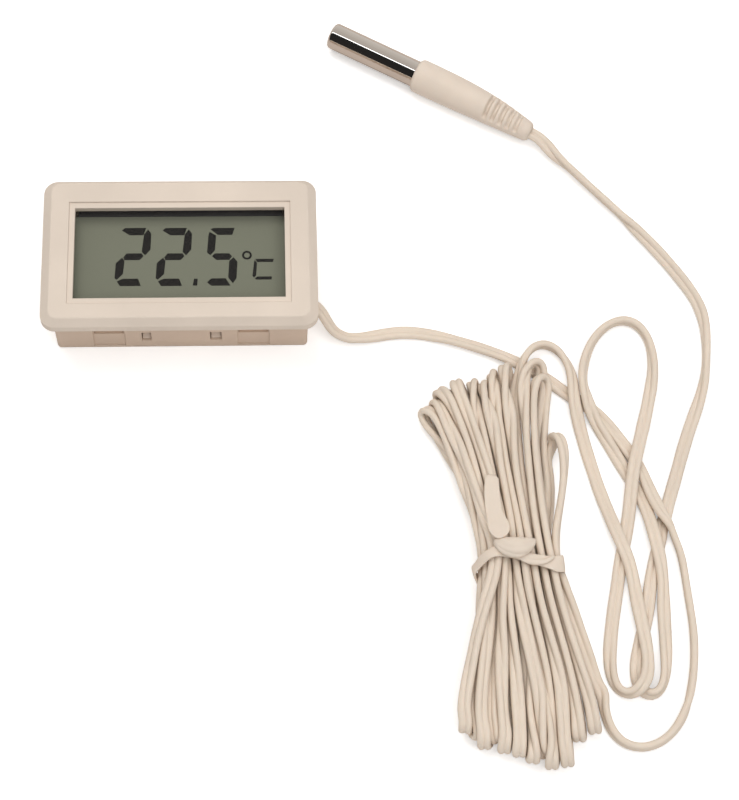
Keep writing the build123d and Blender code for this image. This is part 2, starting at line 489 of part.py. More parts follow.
lead_hank_turns = """
65.76 -62.76 3.95 -.796 -.133 -.59
65.35 -61.3 4.16 -.69 -.097 -.718
64.95 -59.82 4.33 -.537 -.055 -.842
64.59 -58.34 4.46 -.349 -.015 -.937
64.25 -56.85 4.55 -.156 .026 -.987
64.03 -55.33 4.62 .022 .04 -.999
63.88 -53.81 4.67 .159 .037 -.987
63.81 -52.27 4.71 .247 .023 -.969
63.87 -50.74 4.73 .282 -.015 -.959
64.06 -49.22 4.74 .267 -.04 -.963
64.34 -47.71 4.74 .221 -.042 -.974
64.67 -46.22 4.76 .163 -.023 -.986
65.02 -44.72 4.79 .116 .008 -.993
65.34 -43.22 4.86 .101 .038 -.994
65.62 -41.72 4.97 .132 .061 -.989
65.86 -40.21 5.12 .212 .075 -.974
66.04 -38.7 5.29 .333 .081 -.939
66.15 -37.18 5.48 .479 .079 -.874
66.17 -35.66 5.63 .628 .071 -.775
66.06 -34.13 5.66 .759 .061 -.648
65.74 -32.67 5.35 .855 .067 -.515
65.16 -31.64 4.41 .908 .109 -.404
65.07 -31.89 2.99 .862 .458 -.219
64.69 -32.91 1.95 .613 .167 -.772
64.19 -34.28 1.5 .329 .047 -.943
63.97 -35.79 1.37 .02 .08 -.997
63.93 -37.32 1.25 -.306 .064 -.95
63.87 -38.85 1.16 -.594 .083 -.8
63.78 -40.38 1.08 -.809 .089 -.581
63.63 -41.9 1.02 -.928 .113 -.356
63.45 -43.42 .99 -.971 .134 -.199
63.22 -44.94 .99 -.976 .16 -.147
62.93 -46.44 1.09 -.965 .184 -.186
62.59 -47.92 1.3 -.948 .172 -.266
62.31 -49.41 1.55 -.923 .161 -.35
61.96 -50.88 1.78 -.915 .072 -.396
61.87 -52.41 1.88 -.907 .036 -.419
61.88 -53.94 1.9 -.907 -.034 -.421
61.98 -55.47 1.91 -.897 -.092 -.432
62.15 -56.99 1.91 -.87 -.107 -.482
62.53 -58.47 1.73 -.78 -.189 -.597
63.12 -59.87 1.55 -.633 -.212 -.744
63.84 -61.21 1.39 -.429 -.16 -.889
64.56 -62.56 1.32 -.163 -.046 -.986
65.19 -63.96 1.28 .123 .081 -.989
65.7 -65.41 1.22 .391 .171 -.904
66.14 -66.87 1.15 .614 .201 -.764
66.52 -68.36 1.09 .772 .208 -.6
66.86 -69.85 1.04 .874 .202 -.441
67.16 -71.36 .99 .935 .183 -.305
67.43 -72.87 .96 .966 .166 -.196
67.67 -74.38 .93 .982 .149 -.115
67.88 -75.9 .92 .989 .134 -.057
68.08 -77.42 .93 .992 .122 -.014
68.26 -78.94 .95 .993 .12 .023
68.45 -80.46 .99 .99 .12 .07
68.61 -81.98 1.15 .984 .113 .134
68.62 -83.31 1.87 .974 .093 .204
68.34 -83.62 3.29 .975 .06 .215
68.05 -82.59 4.33 .962 .024 .273
67.88 -81.1 4.64 .928 .073 .366
67.69 -79.58 4.66 .873 .137 .468
67.42 -78.07 4.68 .8 .149 .581
67.1 -76.57 4.72 .717 .137 .683
66.76 -75.08 4.77 .629 .115 .769
66.42 -73.58 4.83 .54 .091 .837
66.06 -72.09 4.9 .457 .067 .887
65.7 -70.61 4.97 .385 .043 .922
65.34 -69.12 5.06 .326 .022 .945
64.98 -67.63 5.15 .279 .003 .96
64.64 -66.14 5.25 .243 -.012 .97
64.31 -64.64 5.36 .215 -.025 .976
63.99 -63.15 5.47 .19 -.033 .981
63.7 -61.65 5.58 .167 -.039 .985
63.43 -60.14 5.68 .142 -.041 .989
63.18 -58.63 5.78 .113 -.04 .993
62.95 -57.12 5.86 .077 -.036 .996
62.74 -55.6 5.92 .032 -.031 .999
62.54 -54.08 5.96 -.023 -.024 .999
62.38 -52.55 5.98 -.085 -.016 .996

62.35 -52.26 5.99 -.097 -.015 .995
62.21 -50.72 5.98 -.162 -.008 .987
62.08 -49.19 5.97 -.22 -.002 .976
61.97 -47.66 5.94 -.265 .004 .964
61.87 -46.12 5.9 -.292 .009 .956
61.78 -44.59 5.85 -.302 .013 .953
61.7 -43.05 5.81 -.301 .015 .954
61.62 -41.51 5.76 -.292 .016 .956
61.56 -39.98 5.71 -.283 .016 .959
61.5 -38.44 5.67 -.275 .016 .961
61.45 -36.9 5.63 -.268 .015 .963
61.41 -35.36 5.59 -.256 .016 .966
61.38 -33.83 5.56 -.235 .018 .972
61.36 -32.29 5.53 -.201 .02 .979
61.37 -30.75 5.49 -.153 .022 .988
61.39 -29.21 5.46 -.094 .023 .995
61.43 -27.67 5.43 -.029 .023 .999
61.5 -26.14 5.4 .038 .02 .999
61.63 -24.6 5.36 .111 .015 .994
61.88 -23.09 5.3 .228 .012 .974
62.28 -21.62 5.1 .45 .053 .891
63.12 -20.55 4.45 .672 -.022 .74
64.07 -20.88 3.46 .851 .033 .524
64.15 -22.31 2.91 .981 -.155 .119
63.9 -23.79 2.59 .985 -.17 -.042
63.65 -25.31 2.48 .99 -.142 -.007
63.45 -26.83 2.45 .979 -.12 .167
63.28 -28.36 2.45 .91 -.092 .403
63.13 -29.89 2.47 .779 -.055 .625
63.01 -31.42 2.51 .626 -.027 .779
62.93 -32.96 2.53 .516 -.009 .856
62.9 -34.5 2.54 .492 -.004 .871
62.88 -36.04 2.55 .56 .005 .829
62.86 -37.58 2.58 .697 .008 .717
62.84 -39.11 2.62 .858 .002 .513
62.81 -40.65 2.68 .979 -.016 .204
62.77 -42.19 2.75 .981 -.044 -.188
62.7 -43.72 2.83 .806 -.072 -.588
62.63 -45.26 2.94 .454 -.09 -.887
62.54 -46.79 3.06 .01 -.083 -.996
62.44 -48.32 3.19 -.401 -.053 -.914
62.34 -49.85 3.31 -.693 -.016 -.721
62.28 -51.38 3.4 -.857 .006 -.515

62.27 -51.68 3.41 -.877 .006 -.48
62.25 -53.22 3.43 -.935 .001 -.354
62.26 -54.76 3.42 -.949 -.011 -.316
62.31 -56.3 3.38 -.932 -.03 -.362
62.44 -57.82 3.27 -.875 -.06 -.481
62.68 -59.33 3.07 -.775 -.053 -.63
62.98 -60.82 2.85 -.635 -.017 -.772
63.3 -62.31 2.63 -.454 .024 -.891
63.62 -63.8 2.44 -.25 .062 -.966
63.94 -65.3 2.28 -.05 .091 -.995
64.25 -66.8 2.14 .123 .109 -.986
64.54 -68.3 2.02 .255 .116 -.96
64.81 -69.81 1.92 .346 .113 -.931
65.07 -71.33 1.85 .404 .106 -.909
65.3 -72.85 1.78 .44 .095 -.893
65.5 -74.37 1.73 .47 .084 -.879
65.68 -75.9 1.7 .509 .075 -.857
65.83 -77.43 1.66 .57 .069 -.819
65.96 -78.96 1.63 .664 .066 -.745
66.06 -80.49 1.59 .792 .062 -.608
66.13 -82.03 1.54 .923 .038 -.383
66.12 -83.56 1.62 .993 -.077 -.09
65.89 -84.84 2.37 .972 -.101 .212
65.52 -84.75 3.77 .953 -.072 .294
65.39 -83.39 4.41 .889 -.042 .455
65.35 -81.85 4.45 .789 .038 .613
65.27 -80.32 4.43 .669 .049 .742
65.13 -78.78 4.45 .565 .044 .824
64.95 -77.26 4.48 .488 .037 .872
64.75 -75.73 4.53 .433 .031 .901
64.51 -74.22 4.59 .392 .026 .92
64.25 -72.7 4.66 .359 .021 .933
63.97 -71.19 4.73 .328 .014 .945
63.67 -69.68 4.82 .296 .004 .955
63.36 -68.18 4.91 .265 -.008 .964
63.03 -66.68 5.02 .233 -.021 .972
62.72 -65.18 5.13 .204 -.034 .978
62.41 -63.68 5.25 .178 -.045 .983
62.13 -62.17 5.37 .155 -.053 .986
61.86 -60.66 5.5 .135 -.057 .989
61.63 -59.15 5.61 .114 -.057 .992
61.42 -57.63 5.72 .088 -.053 .995
61.23 -56.1 5.81 .052 -.047 .998
61.06 -54.58 5.88 -.002 -.04 .999
60.91 -53.05 5.93 -.077 -.031 .997

60.89 -52.75 5.94 -.094 -.03 .995
60.76 -51.23 5.96 -.188 -.021 .982
60.65 -49.72 5.96 -.288 -.013 .958
60.55 -48.21 5.94 -.376 -.006 .927
60.46 -46.69 5.9 -.437 .001 .899
60.38 -45.18 5.86 -.464 .007 .886
60.31 -43.66 5.8 -.456 .013 .89
60.24 -42.14 5.74 -.423 .018 .906
60.18 -40.63 5.68 -.378 .021 .925
60.12 -39.11 5.62 -.335 .023 .942
60.06 -37.6 5.57 -.299 .024 .954
60.01 -36.08 5.52 -.27 .024 .963
59.97 -34.56 5.47 -.234 .025 .972
59.94 -33.05 5.42 -.178 .026 .984
59.91 -31.53 5.37 -.082 .028 .996
59.9 -30.01 5.33 .066 .029 .997
59.9 -28.5 5.28 .267 .027 .963
59.91 -26.98 5.24 .509 .019 .861
59.94 -25.46 5.2 .754 .003 .657
59.98 -23.94 5.15 .942 -.019 .336
60.06 -22.43 5.1 .991 -.103 -.086
60.31 -20.94 5.01 .824 -.234 -.517
60.77 -19.5 4.85 .427 -.319 -.846
61.49 -18.21 4.52 -.112 -.287 -.951
62.54 -17.34 3.89 -.555 -.072 -.829
63.57 -17.75 2.97 -.725 .115 -.679
63.68 -19.13 2.39 -.891 .218 -.399
63.51 -20.57 1.94 -.976 .159 -.148
63.32 -22.05 1.68 -.992 .125 .032
63.13 -23.55 1.48 -.987 .105 .118
62.96 -25.05 1.33 -.986 .096 .139
62.8 -26.55 1.2 -.988 .092 .123
62.65 -28.06 1.1 -.991 .088 .098
62.51 -29.57 1.02 -.992 .083 .09
62.38 -31.08 .96 -.99 .081 .117
62.25 -32.59 .94 -.978 .088 .188
62.11 -34.1 .98 -.949 .093 .302
61.98 -35.61 1.03 -.889 .095 .448
61.85 -37.12 1.09 -.792 .095 .603
61.71 -38.64 1.16 -.661 .093 .745
61.57 -40.14 1.23 -.51 .088 .856
61.43 -41.65 1.3 -.356 .082 .931
61.27 -43.16 1.38 -.212 .074 .974
61.1 -44.67 1.46 -.086 .067 .994
60.93 -46.17 1.55 .022 .06 .998
60.74 -47.68 1.65 .112 .053 .992
60.56 -49.18 1.75 .185 .044 .982
60.4 -50.69 1.85 .24 .036 .97
60.31 -52.2 1.92 .275 .028 .961

60.3 -52.5 1.93 .279 .025 .96
60.32 -54.02 1.95 .285 .01 .958
60.4 -55.54 1.93 .265 -.008 .964
60.56 -57.05 1.86 .214 -.037 .976
60.8 -58.55 1.74 .131 -.056 .99
61.1 -60.04 1.62 .014 -.079 .997
61.42 -61.52 1.5 -.135 -.105 .985
61.75 -63.01 1.39 -.308 -.134 .942
62.08 -64.49 1.3 -.486 -.164 .858
62.42 -65.97 1.21 -.651 -.188 .736
62.74 -67.45 1.13 -.786 -.193 .587
63.04 -68.95 1.06 -.885 -.182 .429
63.29 -70.45 1 -.947 -.158 .279
63.5 -71.95 .95 -.98 -.127 .152
63.67 -73.47 .91 -.994 -.092 .056
63.78 -74.98 .9 -.998 -.058 -.005
63.85 -76.5 .91 -.999 -.028 -.034
63.87 -78.03 .94 -.999 -.007 -.04
63.87 -79.55 .99 -.999 .005 -.035
63.85 -81.07 1.03 -.999 .015 -.031
63.82 -82.59 1.07 -.999 .023 -.038
63.78 -84.11 1.11 -.997 .025 -.068
63.75 -85.63 1.15 -.993 .013 -.121
63.74 -87.15 1.22 -.983 -.027 -.181
63.7 -88.57 1.73 -.977 -.062 -.205
63.48 -89.14 3.06 -.982 -.093 -.166
63.26 -88.21 4.18 -.993 -.122 .007
63.13 -86.73 4.49 -.981 -.076 .178
63.05 -85.21 4.47 -.958 -.015 .288
63.05 -83.69 4.48 -.943 -.002 .334
63.06 -82.17 4.52 -.95 -.003 .312
63.07 -80.65 4.58 -.972 -.007 .233
63.07 -79.13 4.65 -.994 -.012 .105
63.04 -77.61 4.71 -.997 -.034 -.064
62.93 -76.09 4.77 -.961 -.088 -.262
62.74 -74.58 4.82 -.879 -.111 -.463
62.51 -73.08 4.88 -.763 -.096 -.639
62.25 -71.58 4.95 -.627 -.069 -.776
61.98 -70.08 5.04 -.488 -.036 -.872
61.68 -68.59 5.15 -.358 0 -.934
61.38 -67.11 5.27 -.242 .035 -.97
61.08 -65.62 5.41 -.143 .067 -.987
60.79 -64.13 5.56 -.059 .094 -.994
60.52 -62.65 5.72 .011 .115 -.993
60.27 -61.15 5.9 .069 .132 -.989
60.06 -59.66 6.09 .118 .146 -.982
59.88 -58.16 6.29 .158 .158 -.975
59.71 -56.66 6.49 .191 .117 -.974
59.51 -55.15 6.57 .212 .053 -.976

59.47 -54.86 6.58 .214 .044 -.976
59.26 -53.33 6.56 .208 0 -.978
59.06 -51.81 6.51 .177 -.008 -.984
58.86 -50.28 6.46 .13 -.023 -.991
58.67 -48.76 6.39 .075 -.042 -.996
58.48 -47.23 6.3 .023 -.059 -.998
58.3 -45.71 6.21 -.015 -.067 -.998
58.12 -44.18 6.11 -.036 -.068 -.997
57.95 -42.66 6.01 -.042 -.065 -.997
57.81 -41.13 5.92 -.044 -.061 -.997
57.68 -39.59 5.84 -.052 -.057 -.997
57.59 -38.06 5.76 -.08 -.053 -.995
57.5 -36.53 5.69 -.14 -.049 -.989
57.43 -34.99 5.63 -.243 -.046 -.969
57.37 -33.45 5.58 -.396 -.043 -.917
57.33 -31.92 5.53 -.589 -.037 -.807
57.3 -30.38 5.49 -.793 -.027 -.609
57.27 -28.84 5.45 -.951 -.029 -.309
57.2 -27.3 5.41 -.995 -.069 .073
57.07 -25.77 5.36 -.88 -.066 .471
56.93 -24.24 5.3 -.607 -.023 .794
56.81 -22.7 5.25 -.227 .014 .974
56.71 -21.17 5.17 .183 .101 .978
56.72 -19.66 4.88 .566 .234 .791
56.88 -18.36 4.1 .842 .277 .463
57.27 -17.89 2.74 .939 .196 .284
57.7 -18.9 1.74 .981 .158 .113
57.9 -20.41 1.52 .993 .105 -.047
58.04 -21.94 1.55 .976 .062 -.211
58.12 -23.47 1.58 .933 .044 -.357
58.2 -25.01 1.59 .877 .038 -.479
58.27 -26.55 1.61 .816 .03 -.577
58.35 -28.09 1.64 .759 .023 -.65
58.42 -29.62 1.67 .713 .018 -.701
58.49 -31.16 1.7 .682 .014 -.731
58.56 -32.7 1.74 .668 .01 -.744
58.63 -34.23 1.78 .667 .008 -.745
58.7 -35.77 1.83 .674 .005 -.739
58.77 -37.31 1.89 .682 .002 -.731
58.84 -38.84 1.96 .682 -.002 -.731
58.9 -40.38 2.03 .668 -.008 -.745
58.97 -41.91 2.11 .629 -.017 -.777
59.03 -43.45 2.19 .561 -.028 -.827
59.08 -44.98 2.29 .459 -.041 -.887
59.13 -46.52 2.39 .328 -.055 -.943
59.17 -48.05 2.49 .18 -.065 -.982
59.21 -49.59 2.6 .033 -.068 -.997
59.27 -51.12 2.7 -.095 -.056 -.994
59.32 -52.66 2.75 -.197 -.023 -.98

59.33 -52.96 2.76 -.212 -.02 -.977
59.41 -54.49 2.76 -.27 -.013 -.963
59.51 -56.02 2.75 -.29 -.004 -.957
59.64 -57.54 2.69 -.267 .026 -.963
59.78 -59.06 2.6 -.202 .042 -.978
59.95 -60.58 2.5 -.101 .063 -.993
60.12 -62.09 2.38 .023 .082 -.996
60.29 -63.61 2.26 .155 .088 -.984
60.46 -65.13 2.16 .277 .089 -.957
60.63 -66.64 2.08 .383 .088 -.919
60.82 -68.16 2.02 .478 .089 -.874
61.01 -69.68 1.98 .572 .092 -.815
61.2 -71.2 1.95 .672 .095 -.734
61.39 -72.71 1.93 .779 .101 -.619
61.58 -74.23 1.92 .881 .11 -.46
61.76 -75.75 1.92 .96 .118 -.254
61.94 -77.27 1.9 .993 .114 -.015
62.08 -78.79 1.87 .972 .055 .23
62.14 -80.32 1.81 .894 -.014 .448
62.11 -81.85 1.74 .785 -.056 .617
62.04 -83.38 1.67 .681 -.073 .728
61.94 -84.9 1.59 .626 -.096 .774
61.8 -86.42 1.48 .663 -.133 .737
61.47 -87.91 1.55 .798 -.113 .592
61.05 -89.21 2.19 .952 -.047 .301
60.77 -89.46 3.6 .997 .036 .069
60.81 -88.3 4.53 .882 .042 -.468
61 -86.8 4.64 .648 -.139 -.748
61.08 -85.29 4.43 .557 -.125 -.821
61.11 -83.77 4.26 .62 -.08 -.78
61.1 -82.24 4.13 .761 -.025 -.648
61.03 -80.71 4.08 .898 .063 -.435
60.89 -79.19 4.1 .98 .116 -.163
60.71 -77.67 4.17 .988 .097 .119
60.58 -76.15 4.27 .929 .042 .369
60.47 -74.63 4.39 .821 .017 .57
60.33 -73.11 4.53 .695 .002 .719
60.16 -71.6 4.68 .569 -.02 .822
59.97 -70.09 4.86 .449 -.049 .892
59.76 -68.59 5.06 .329 -.084 .941
59.53 -67.09 5.28 .202 -.124 .972
59.32 -65.6 5.53 .062 -.163 .985
59.1 -64.11 5.8 -.086 -.189 .978
58.89 -62.61 6.05 -.229 -.184 .956
58.69 -61.11 6.28 -.341 -.179 .923
58.51 -59.61 6.51 -.409 -.19 .893
58.35 -58.11 6.76 -.436 -.188 .88
58.2 -56.6 6.97 -.427 -.134 .894
58.04 -55.08 7.03 -.388 -.019 .921

58 -54.79 7.02 -.379 .009 .925
57.84 -53.27 6.86 -.314 .095 .945
57.7 -51.77 6.65 -.235 .117 .965
57.57 -50.26 6.44 -.155 .119 .981
57.43 -48.75 6.24 -.078 .116 .99
57.25 -47.24 6.06 -.017 .111 .994
57.05 -45.73 5.9 .023 .109 .994
56.86 -44.23 5.74 .043 .104 .994
56.67 -42.72 5.6 .05 .097 .994
56.48 -41.2 5.47 .053 .088 .995
56.3 -39.69 5.35 .066 .081 .995
56.12 -38.18 5.24 .099 .077 .992
55.93 -36.66 5.15 .155 .077 .985
55.76 -35.15 5.06 .235 .08 .969
55.58 -33.63 4.98 .331 .086 .94
55.4 -32.11 4.91 .436 .094 .895
55.23 -30.6 4.83 .546 .102 .832
55.06 -29.08 4.77 .661 .097 .744
54.95 -27.56 4.72 .787 .047 .616
54.93 -26.03 4.7 .906 -.001 .422
54.9 -24.5 4.75 .991 .024 .13
54.86 -22.97 4.84 .959 .023 -.282
54.84 -21.45 4.77 .663 -.114 -.74
54.77 -20.05 4.18 .02 -.611 -.791
54.83 -19.25 2.92 -.705 -.673 -.222
55.25 -19.77 1.61 -.946 -.304 -.117
55.63 -21.17 1.15 -.982 -.168 -.091
55.85 -22.68 1.06 -.99 -.128 -.063
56.04 -24.19 1.01 -.993 -.107 -.056
56.19 -25.71 .97 -.993 -.096 -.064
56.34 -27.23 .94 -.993 -.091 -.073
56.48 -28.76 .92 -.993 -.087 -.078
56.61 -30.28 .9 -.993 -.086 -.075
56.74 -31.8 .89 -.994 -.085 -.067
56.87 -33.33 .89 -.995 -.086 -.057
57 -34.85 .9 -.995 -.087 -.045
57.14 -36.37 .92 -.996 -.088 -.025
57.27 -37.89 .95 -.996 -.089 .013
57.41 -39.42 .98 -.993 -.088 .08
57.55 -40.94 1.02 -.98 -.085 .182
57.69 -42.46 1.07 -.947 -.077 .312
57.83 -43.98 1.13 -.89 -.061 .451
57.95 -45.5 1.19 -.818 -.026 .574
58.03 -47.03 1.28 -.745 .008 .667
58.09 -48.55 1.38 -.687 .025 .726
58.14 -50.07 1.49 -.656 .028 .754
58.19 -51.6 1.54 -.653 -.011 .757
58.23 -53.13 1.54 -.678 -.028 .734

58.24 -53.43 1.54 -.686 -.03 .727
58.28 -54.95 1.5 -.74 -.04 .672
58.33 -56.46 1.45 -.805 -.057 .59
58.39 -57.98 1.34 -.872 -.082 .483
58.47 -59.49 1.23 -.927 -.079 .368
58.57 -61 1.13 -.964 -.083 .253
58.69 -62.51 1.06 -.984 -.092 .152
58.83 -64.02 1 -.993 -.097 .07
58.97 -65.53 .96 -.995 -.099 .01
59.13 -67.04 .93 -.995 -.099 -.032
59.28 -68.55 .91 -.994 -.097 -.058
59.42 -70.06 .89 -.993 -.091 -.075
59.55 -71.58 .89 -.993 -.081 -.088
59.67 -73.09 .89 -.992 -.068 -.109
59.76 -74.6 .9 -.987 -.052 -.149
59.82 -76.12 .91 -.975 -.027 -.218
59.83 -77.64 .94 -.948 .002 -.318
59.82 -79.15 1.02 -.899 -.037 -.436
59.87 -80.67 1.13 -.823 -.091 -.561
59.98 -82.18 1.24 -.73 -.115 -.674
60.11 -83.68 1.35 -.654 -.104 -.749
60.23 -85.19 1.47 -.646 -.128 -.753
60.32 -86.68 1.74 -.732 -.229 -.642
59.97 -87.58 2.78 -.883 -.032 -.469
59.34 -86.72 3.77 -.656 .182 -.733
59.26 -85.27 4.2 -.441 .178 -.88
59.31 -83.77 4.43 -.355 .135 -.925
59.32 -82.27 4.64 -.437 .123 -.891
59.32 -80.76 4.83 -.615 .088 -.783
59.3 -79.25 4.98 -.795 .026 -.606
59.21 -77.74 5.09 -.917 -.053 -.396
59.05 -76.23 5.16 -.974 -.111 -.199
58.85 -74.73 5.18 -.989 -.139 -.053
58.64 -73.22 5.19 -.989 -.147 .026
58.41 -71.72 5.21 -.987 -.153 .047
58.17 -70.22 5.26 -.987 -.157 .026
57.94 -68.73 5.32 -.987 -.156 -.026
57.7 -67.23 5.4 -.983 -.147 -.107
57.47 -65.73 5.5 -.967 -.128 -.221
57.26 -64.23 5.62 -.922 -.096 -.375
57.06 -62.73 5.74 -.827 -.049 -.559
56.91 -61.23 5.87 -.668 .004 -.745
56.79 -59.72 6.01 -.455 .053 -.889
56.7 -58.21 6.16 -.23 .091 -.969
56.63 -56.71 6.33 -.04 .116 -.992
56.57 -55.2 6.47 .092 .059 -.994

56.56 -54.9 6.49 .111 .035 -.993
56.47 -53.38 6.48 .165 -.005 -.986
56.38 -51.86 6.47 .16 .004 -.987
56.28 -50.34 6.45 .12 -.015 -.993
56.17 -48.83 6.4 .064 -.032 -.997
56.01 -47.32 6.33 .011 -.049 -.999
55.83 -45.81 6.26 -.026 -.049 -.998
55.66 -44.3 6.19 -.043 -.046 -.998
55.49 -42.79 6.13 -.046 -.04 -.998
55.33 -41.28 6.08 -.046 -.034 -.998
55.16 -39.77 6.05 -.06 -.029 -.998
54.99 -38.26 6.02 -.1 -.026 -.995
54.83 -36.75 6 -.179 -.028 -.983
54.67 -35.24 5.99 -.306 -.035 -.951
54.51 -33.72 5.99 -.481 -.048 -.875
54.35 -32.21 6 -.687 -.068 -.723
54.18 -30.7 6.02 -.879 -.104 -.465
53.95 -29.2 6.01 -.978 -.187 -.092
53.64 -27.71 5.96 -.918 -.185 .351
53.31 -26.23 5.92 -.64 -.12 .759
53.01 -24.75 5.78 -.211 .146 .967
52.78 -23.3 5.37 .237 .394 .888
52.75 -22.04 4.54 .594 .527 .608
53.22 -21.4 3.28 .786 .386 .482
54.05 -21.95 2.19 .838 .21 .503
54.54 -23.34 1.9 .797 .163 .582
54.8 -24.83 1.91 .806 .135 .577
55.02 -26.34 1.95 .844 .132 .52
55.23 -27.84 1.99 .894 .132 .429
55.43 -29.35 2.03 .941 .131 .311
55.62 -30.86 2.09 .977 .125 .173
55.79 -32.37 2.15 .993 .114 .023
55.96 -33.88 2.22 .987 .097 -.129
56.11 -35.39 2.31 .959 .078 -.272
56.26 -36.9 2.4 .919 .057 -.39
56.39 -38.41 2.51 .879 .039 -.475
56.51 -39.92 2.62 .854 .026 -.52
56.62 -41.43 2.73 .851 .019 -.524
56.71 -42.95 2.84 .87 .018 -.492
56.8 -44.46 2.94 .902 .023 -.432
56.89 -45.97 3.04 .934 .028 -.357
56.97 -47.49 3.15 .958 .033 -.285
57.06 -49 3.26 .972 .04 -.231
57.1 -50.52 3.3 .979 -.019 -.205
57.02 -52.04 3.32 .975 -.069 -.212
56.91 -53.56 3.29 .965 -.066 -.253

56.88 -53.85 3.28 .962 -.069 -.265
56.75 -55.38 3.21 .938 -.059 -.342
56.67 -56.9 3.15 .899 -.002 -.439
56.63 -58.43 2.99 .837 .051 -.545
56.59 -59.94 2.77 .754 .072 -.653
56.56 -61.46 2.59 .66 .08 -.747
56.55 -62.98 2.42 .574 .079 -.815
56.53 -64.5 2.27 .511 .073 -.856
56.52 -66.03 2.14 .484 .064 -.873
56.5 -67.55 2.03 .497 .053 -.866
56.48 -69.08 1.93 .548 .039 -.835
56.45 -70.61 1.85 .632 .024 -.775
56.43 -72.14 1.79 .736 .008 -.677
56.4 -73.67 1.76 .844 -.004 -.537
56.37 -75.2 1.73 .934 -.011 -.358
56.36 -76.73 1.72 .988 -.002 -.152
56.36 -78.26 1.72 .998 .004 .062
56.36 -79.79 1.72 .966 -.008 .259
56.34 -81.32 1.72 .908 -.018 .418
56.29 -82.85 1.72 .854 -.035 .519
56.21 -84.38 1.71 .84 -.072 .538
56.02 -85.89 1.79 .887 -.065 .457
55.72 -87.2 2.47 .968 -.043 .247
55.51 -87.19 3.89 .992 -.099 .078
55.61 -85.87 4.59 .996 -.084 -.022
55.71 -84.35 4.61 .996 -.045 -.082
55.74 -82.82 4.56 .996 -.011 -.089
55.75 -81.29 4.55 .999 .003 -.05
55.74 -79.76 4.58 1 .01 .023
55.71 -78.23 4.61 .992 .014 .123
55.68 -76.7 4.66 .97 .016 .244
55.64 -75.17 4.71 .926 .015 .378
55.59 -73.64 4.76 .855 .012 .519
55.53 -72.11 4.82 .755 .006 .655
55.46 -70.59 4.89 .632 -.004 .775
55.38 -69.06 4.96 .497 -.015 .867
55.3 -67.53 5.03 .37 -.026 .928
55.23 -66 5.1 .273 -.033 .961
55.16 -64.48 5.18 .222 -.035 .975
55.11 -62.95 5.24 .223 -.034 .974
55.06 -61.42 5.3 .271 -.031 .962
55.04 -59.89 5.36 .352 -.028 .935
55.02 -58.36 5.41 .446 -.028 .894
55 -56.83 5.48 .532 -.032 .846
54.97 -55.31 5.56 .595 -.04 .802

54.96 -55.01 5.59 .604 -.042 .796
54.89 -53.48 5.73 .629 -.051 .776
54.78 -51.96 5.93 .619 -.066 .783
54.67 -50.44 6.13 .568 -.049 .821
54.63 -48.9 6.16 .477 .058 .877
54.55 -47.37 6.03 .365 .122 .923
54.4 -45.85 5.88 .256 .129 .958
54.23 -44.32 5.73 .163 .107 .981
54.05 -42.8 5.6 .096 .083 .992
53.85 -41.28 5.51 .056 .064 .996
53.64 -39.76 5.43 .046 .051 .998
53.4 -38.24 5.37 .069 .047 .996
53.14 -36.72 5.32 .132 .054 .99
52.87 -35.21 5.27 .237 .073 .969
52.58 -33.7 5.23 .385 .105 .917
52.27 -32.2 5.18 .566 .146 .811
51.95 -30.69 5.13 .761 .173 .626
51.71 -29.17 5.1 .937 .099 .335
51.58 -27.64 5.12 .994 .089 -.07
51.42 -26.11 5.14 .846 .102 -.524
51.24 -24.58 5.12 .468 .005 -.884
51.1 -23.07 4.89 -.057 -.272 -.961
51.05 -21.69 4.23 -.571 -.486 -.661
51.22 -20.85 2.99 -.885 -.396 -.244
51.58 -21.38 1.67 -.965 -.249 -.087
51.98 -22.8 1.28 -.966 -.26 0
52.36 -24.29 1.25 -.961 -.23 .155
52.7 -25.79 1.24 -.916 -.206 .346
53.03 -27.29 1.23 -.828 -.178 .532
53.34 -28.8 1.23 -.712 -.147 .687
53.65 -30.31 1.23 -.589 -.115 .8
53.94 -31.82 1.23 -.476 -.086 .875
54.22 -33.33 1.24 -.379 -.063 .923
54.49 -34.84 1.25 -.294 -.044 .955
54.75 -36.36 1.27 -.212 -.029 .977
55 -37.88 1.28 -.126 -.016 .992
55.25 -39.4 1.28 -.04 -.005 .999
55.51 -40.91 1.29 .032 .013 .999
55.78 -42.43 1.3 .074 .027 .997
56.05 -43.94 1.33 .073 .036 .997
56.29 -45.46 1.37 .03 .039 .999
56.44 -46.99 1.44 -.046 .048 .998
56.52 -48.52 1.52 -.133 .064 .989
56.58 -50.06 1.63 -.21 .042 .977
56.63 -51.59 1.67 -.267 .004 .964
56.64 -53.13 1.67 -.303 .003 .953

56.63 -53.43 1.67 -.307 .005 .952
56.56 -54.97 1.67 -.321 .021 .947
56.4 -56.51 1.66 -.334 .03 .942
56.18 -58.03 1.61 -.37 .002 .929
55.95 -59.56 1.49 -.433 -.003 .901
55.73 -61.08 1.39 -.52 .019 .854
55.51 -62.6 1.3 -.63 .042 .776
55.31 -64.13 1.21 -.744 .063 .665
55.11 -65.66 1.14 -.847 .08 .525
54.93 -67.19 1.08 -.924 .091 .372
54.77 -68.72 1.03 -.971 .093 .222
54.62 -70.26 .99 -.992 .09 .091
54.49 -71.8 .97 -.997 .082 -.012
54.37 -73.34 .95 -.994 .073 -.085
54.26 -74.88 .96 -.989 .064 -.135
54.16 -76.42 .97 -.984 .058 -.17
54.07 -77.96 .99 -.979 .047 -.2
54 -79.5 1.03 -.973 .038 -.228
53.93 -81.04 1.07 -.966 .035 -.254
53.87 -82.58 1.11 -.962 .035 -.272
53.78 -84.12 1.17 -.963 .06 -.264
53.58 -85.61 1.47 -.969 .101 -.227
53.25 -86.66 2.51 -.981 .089 -.175
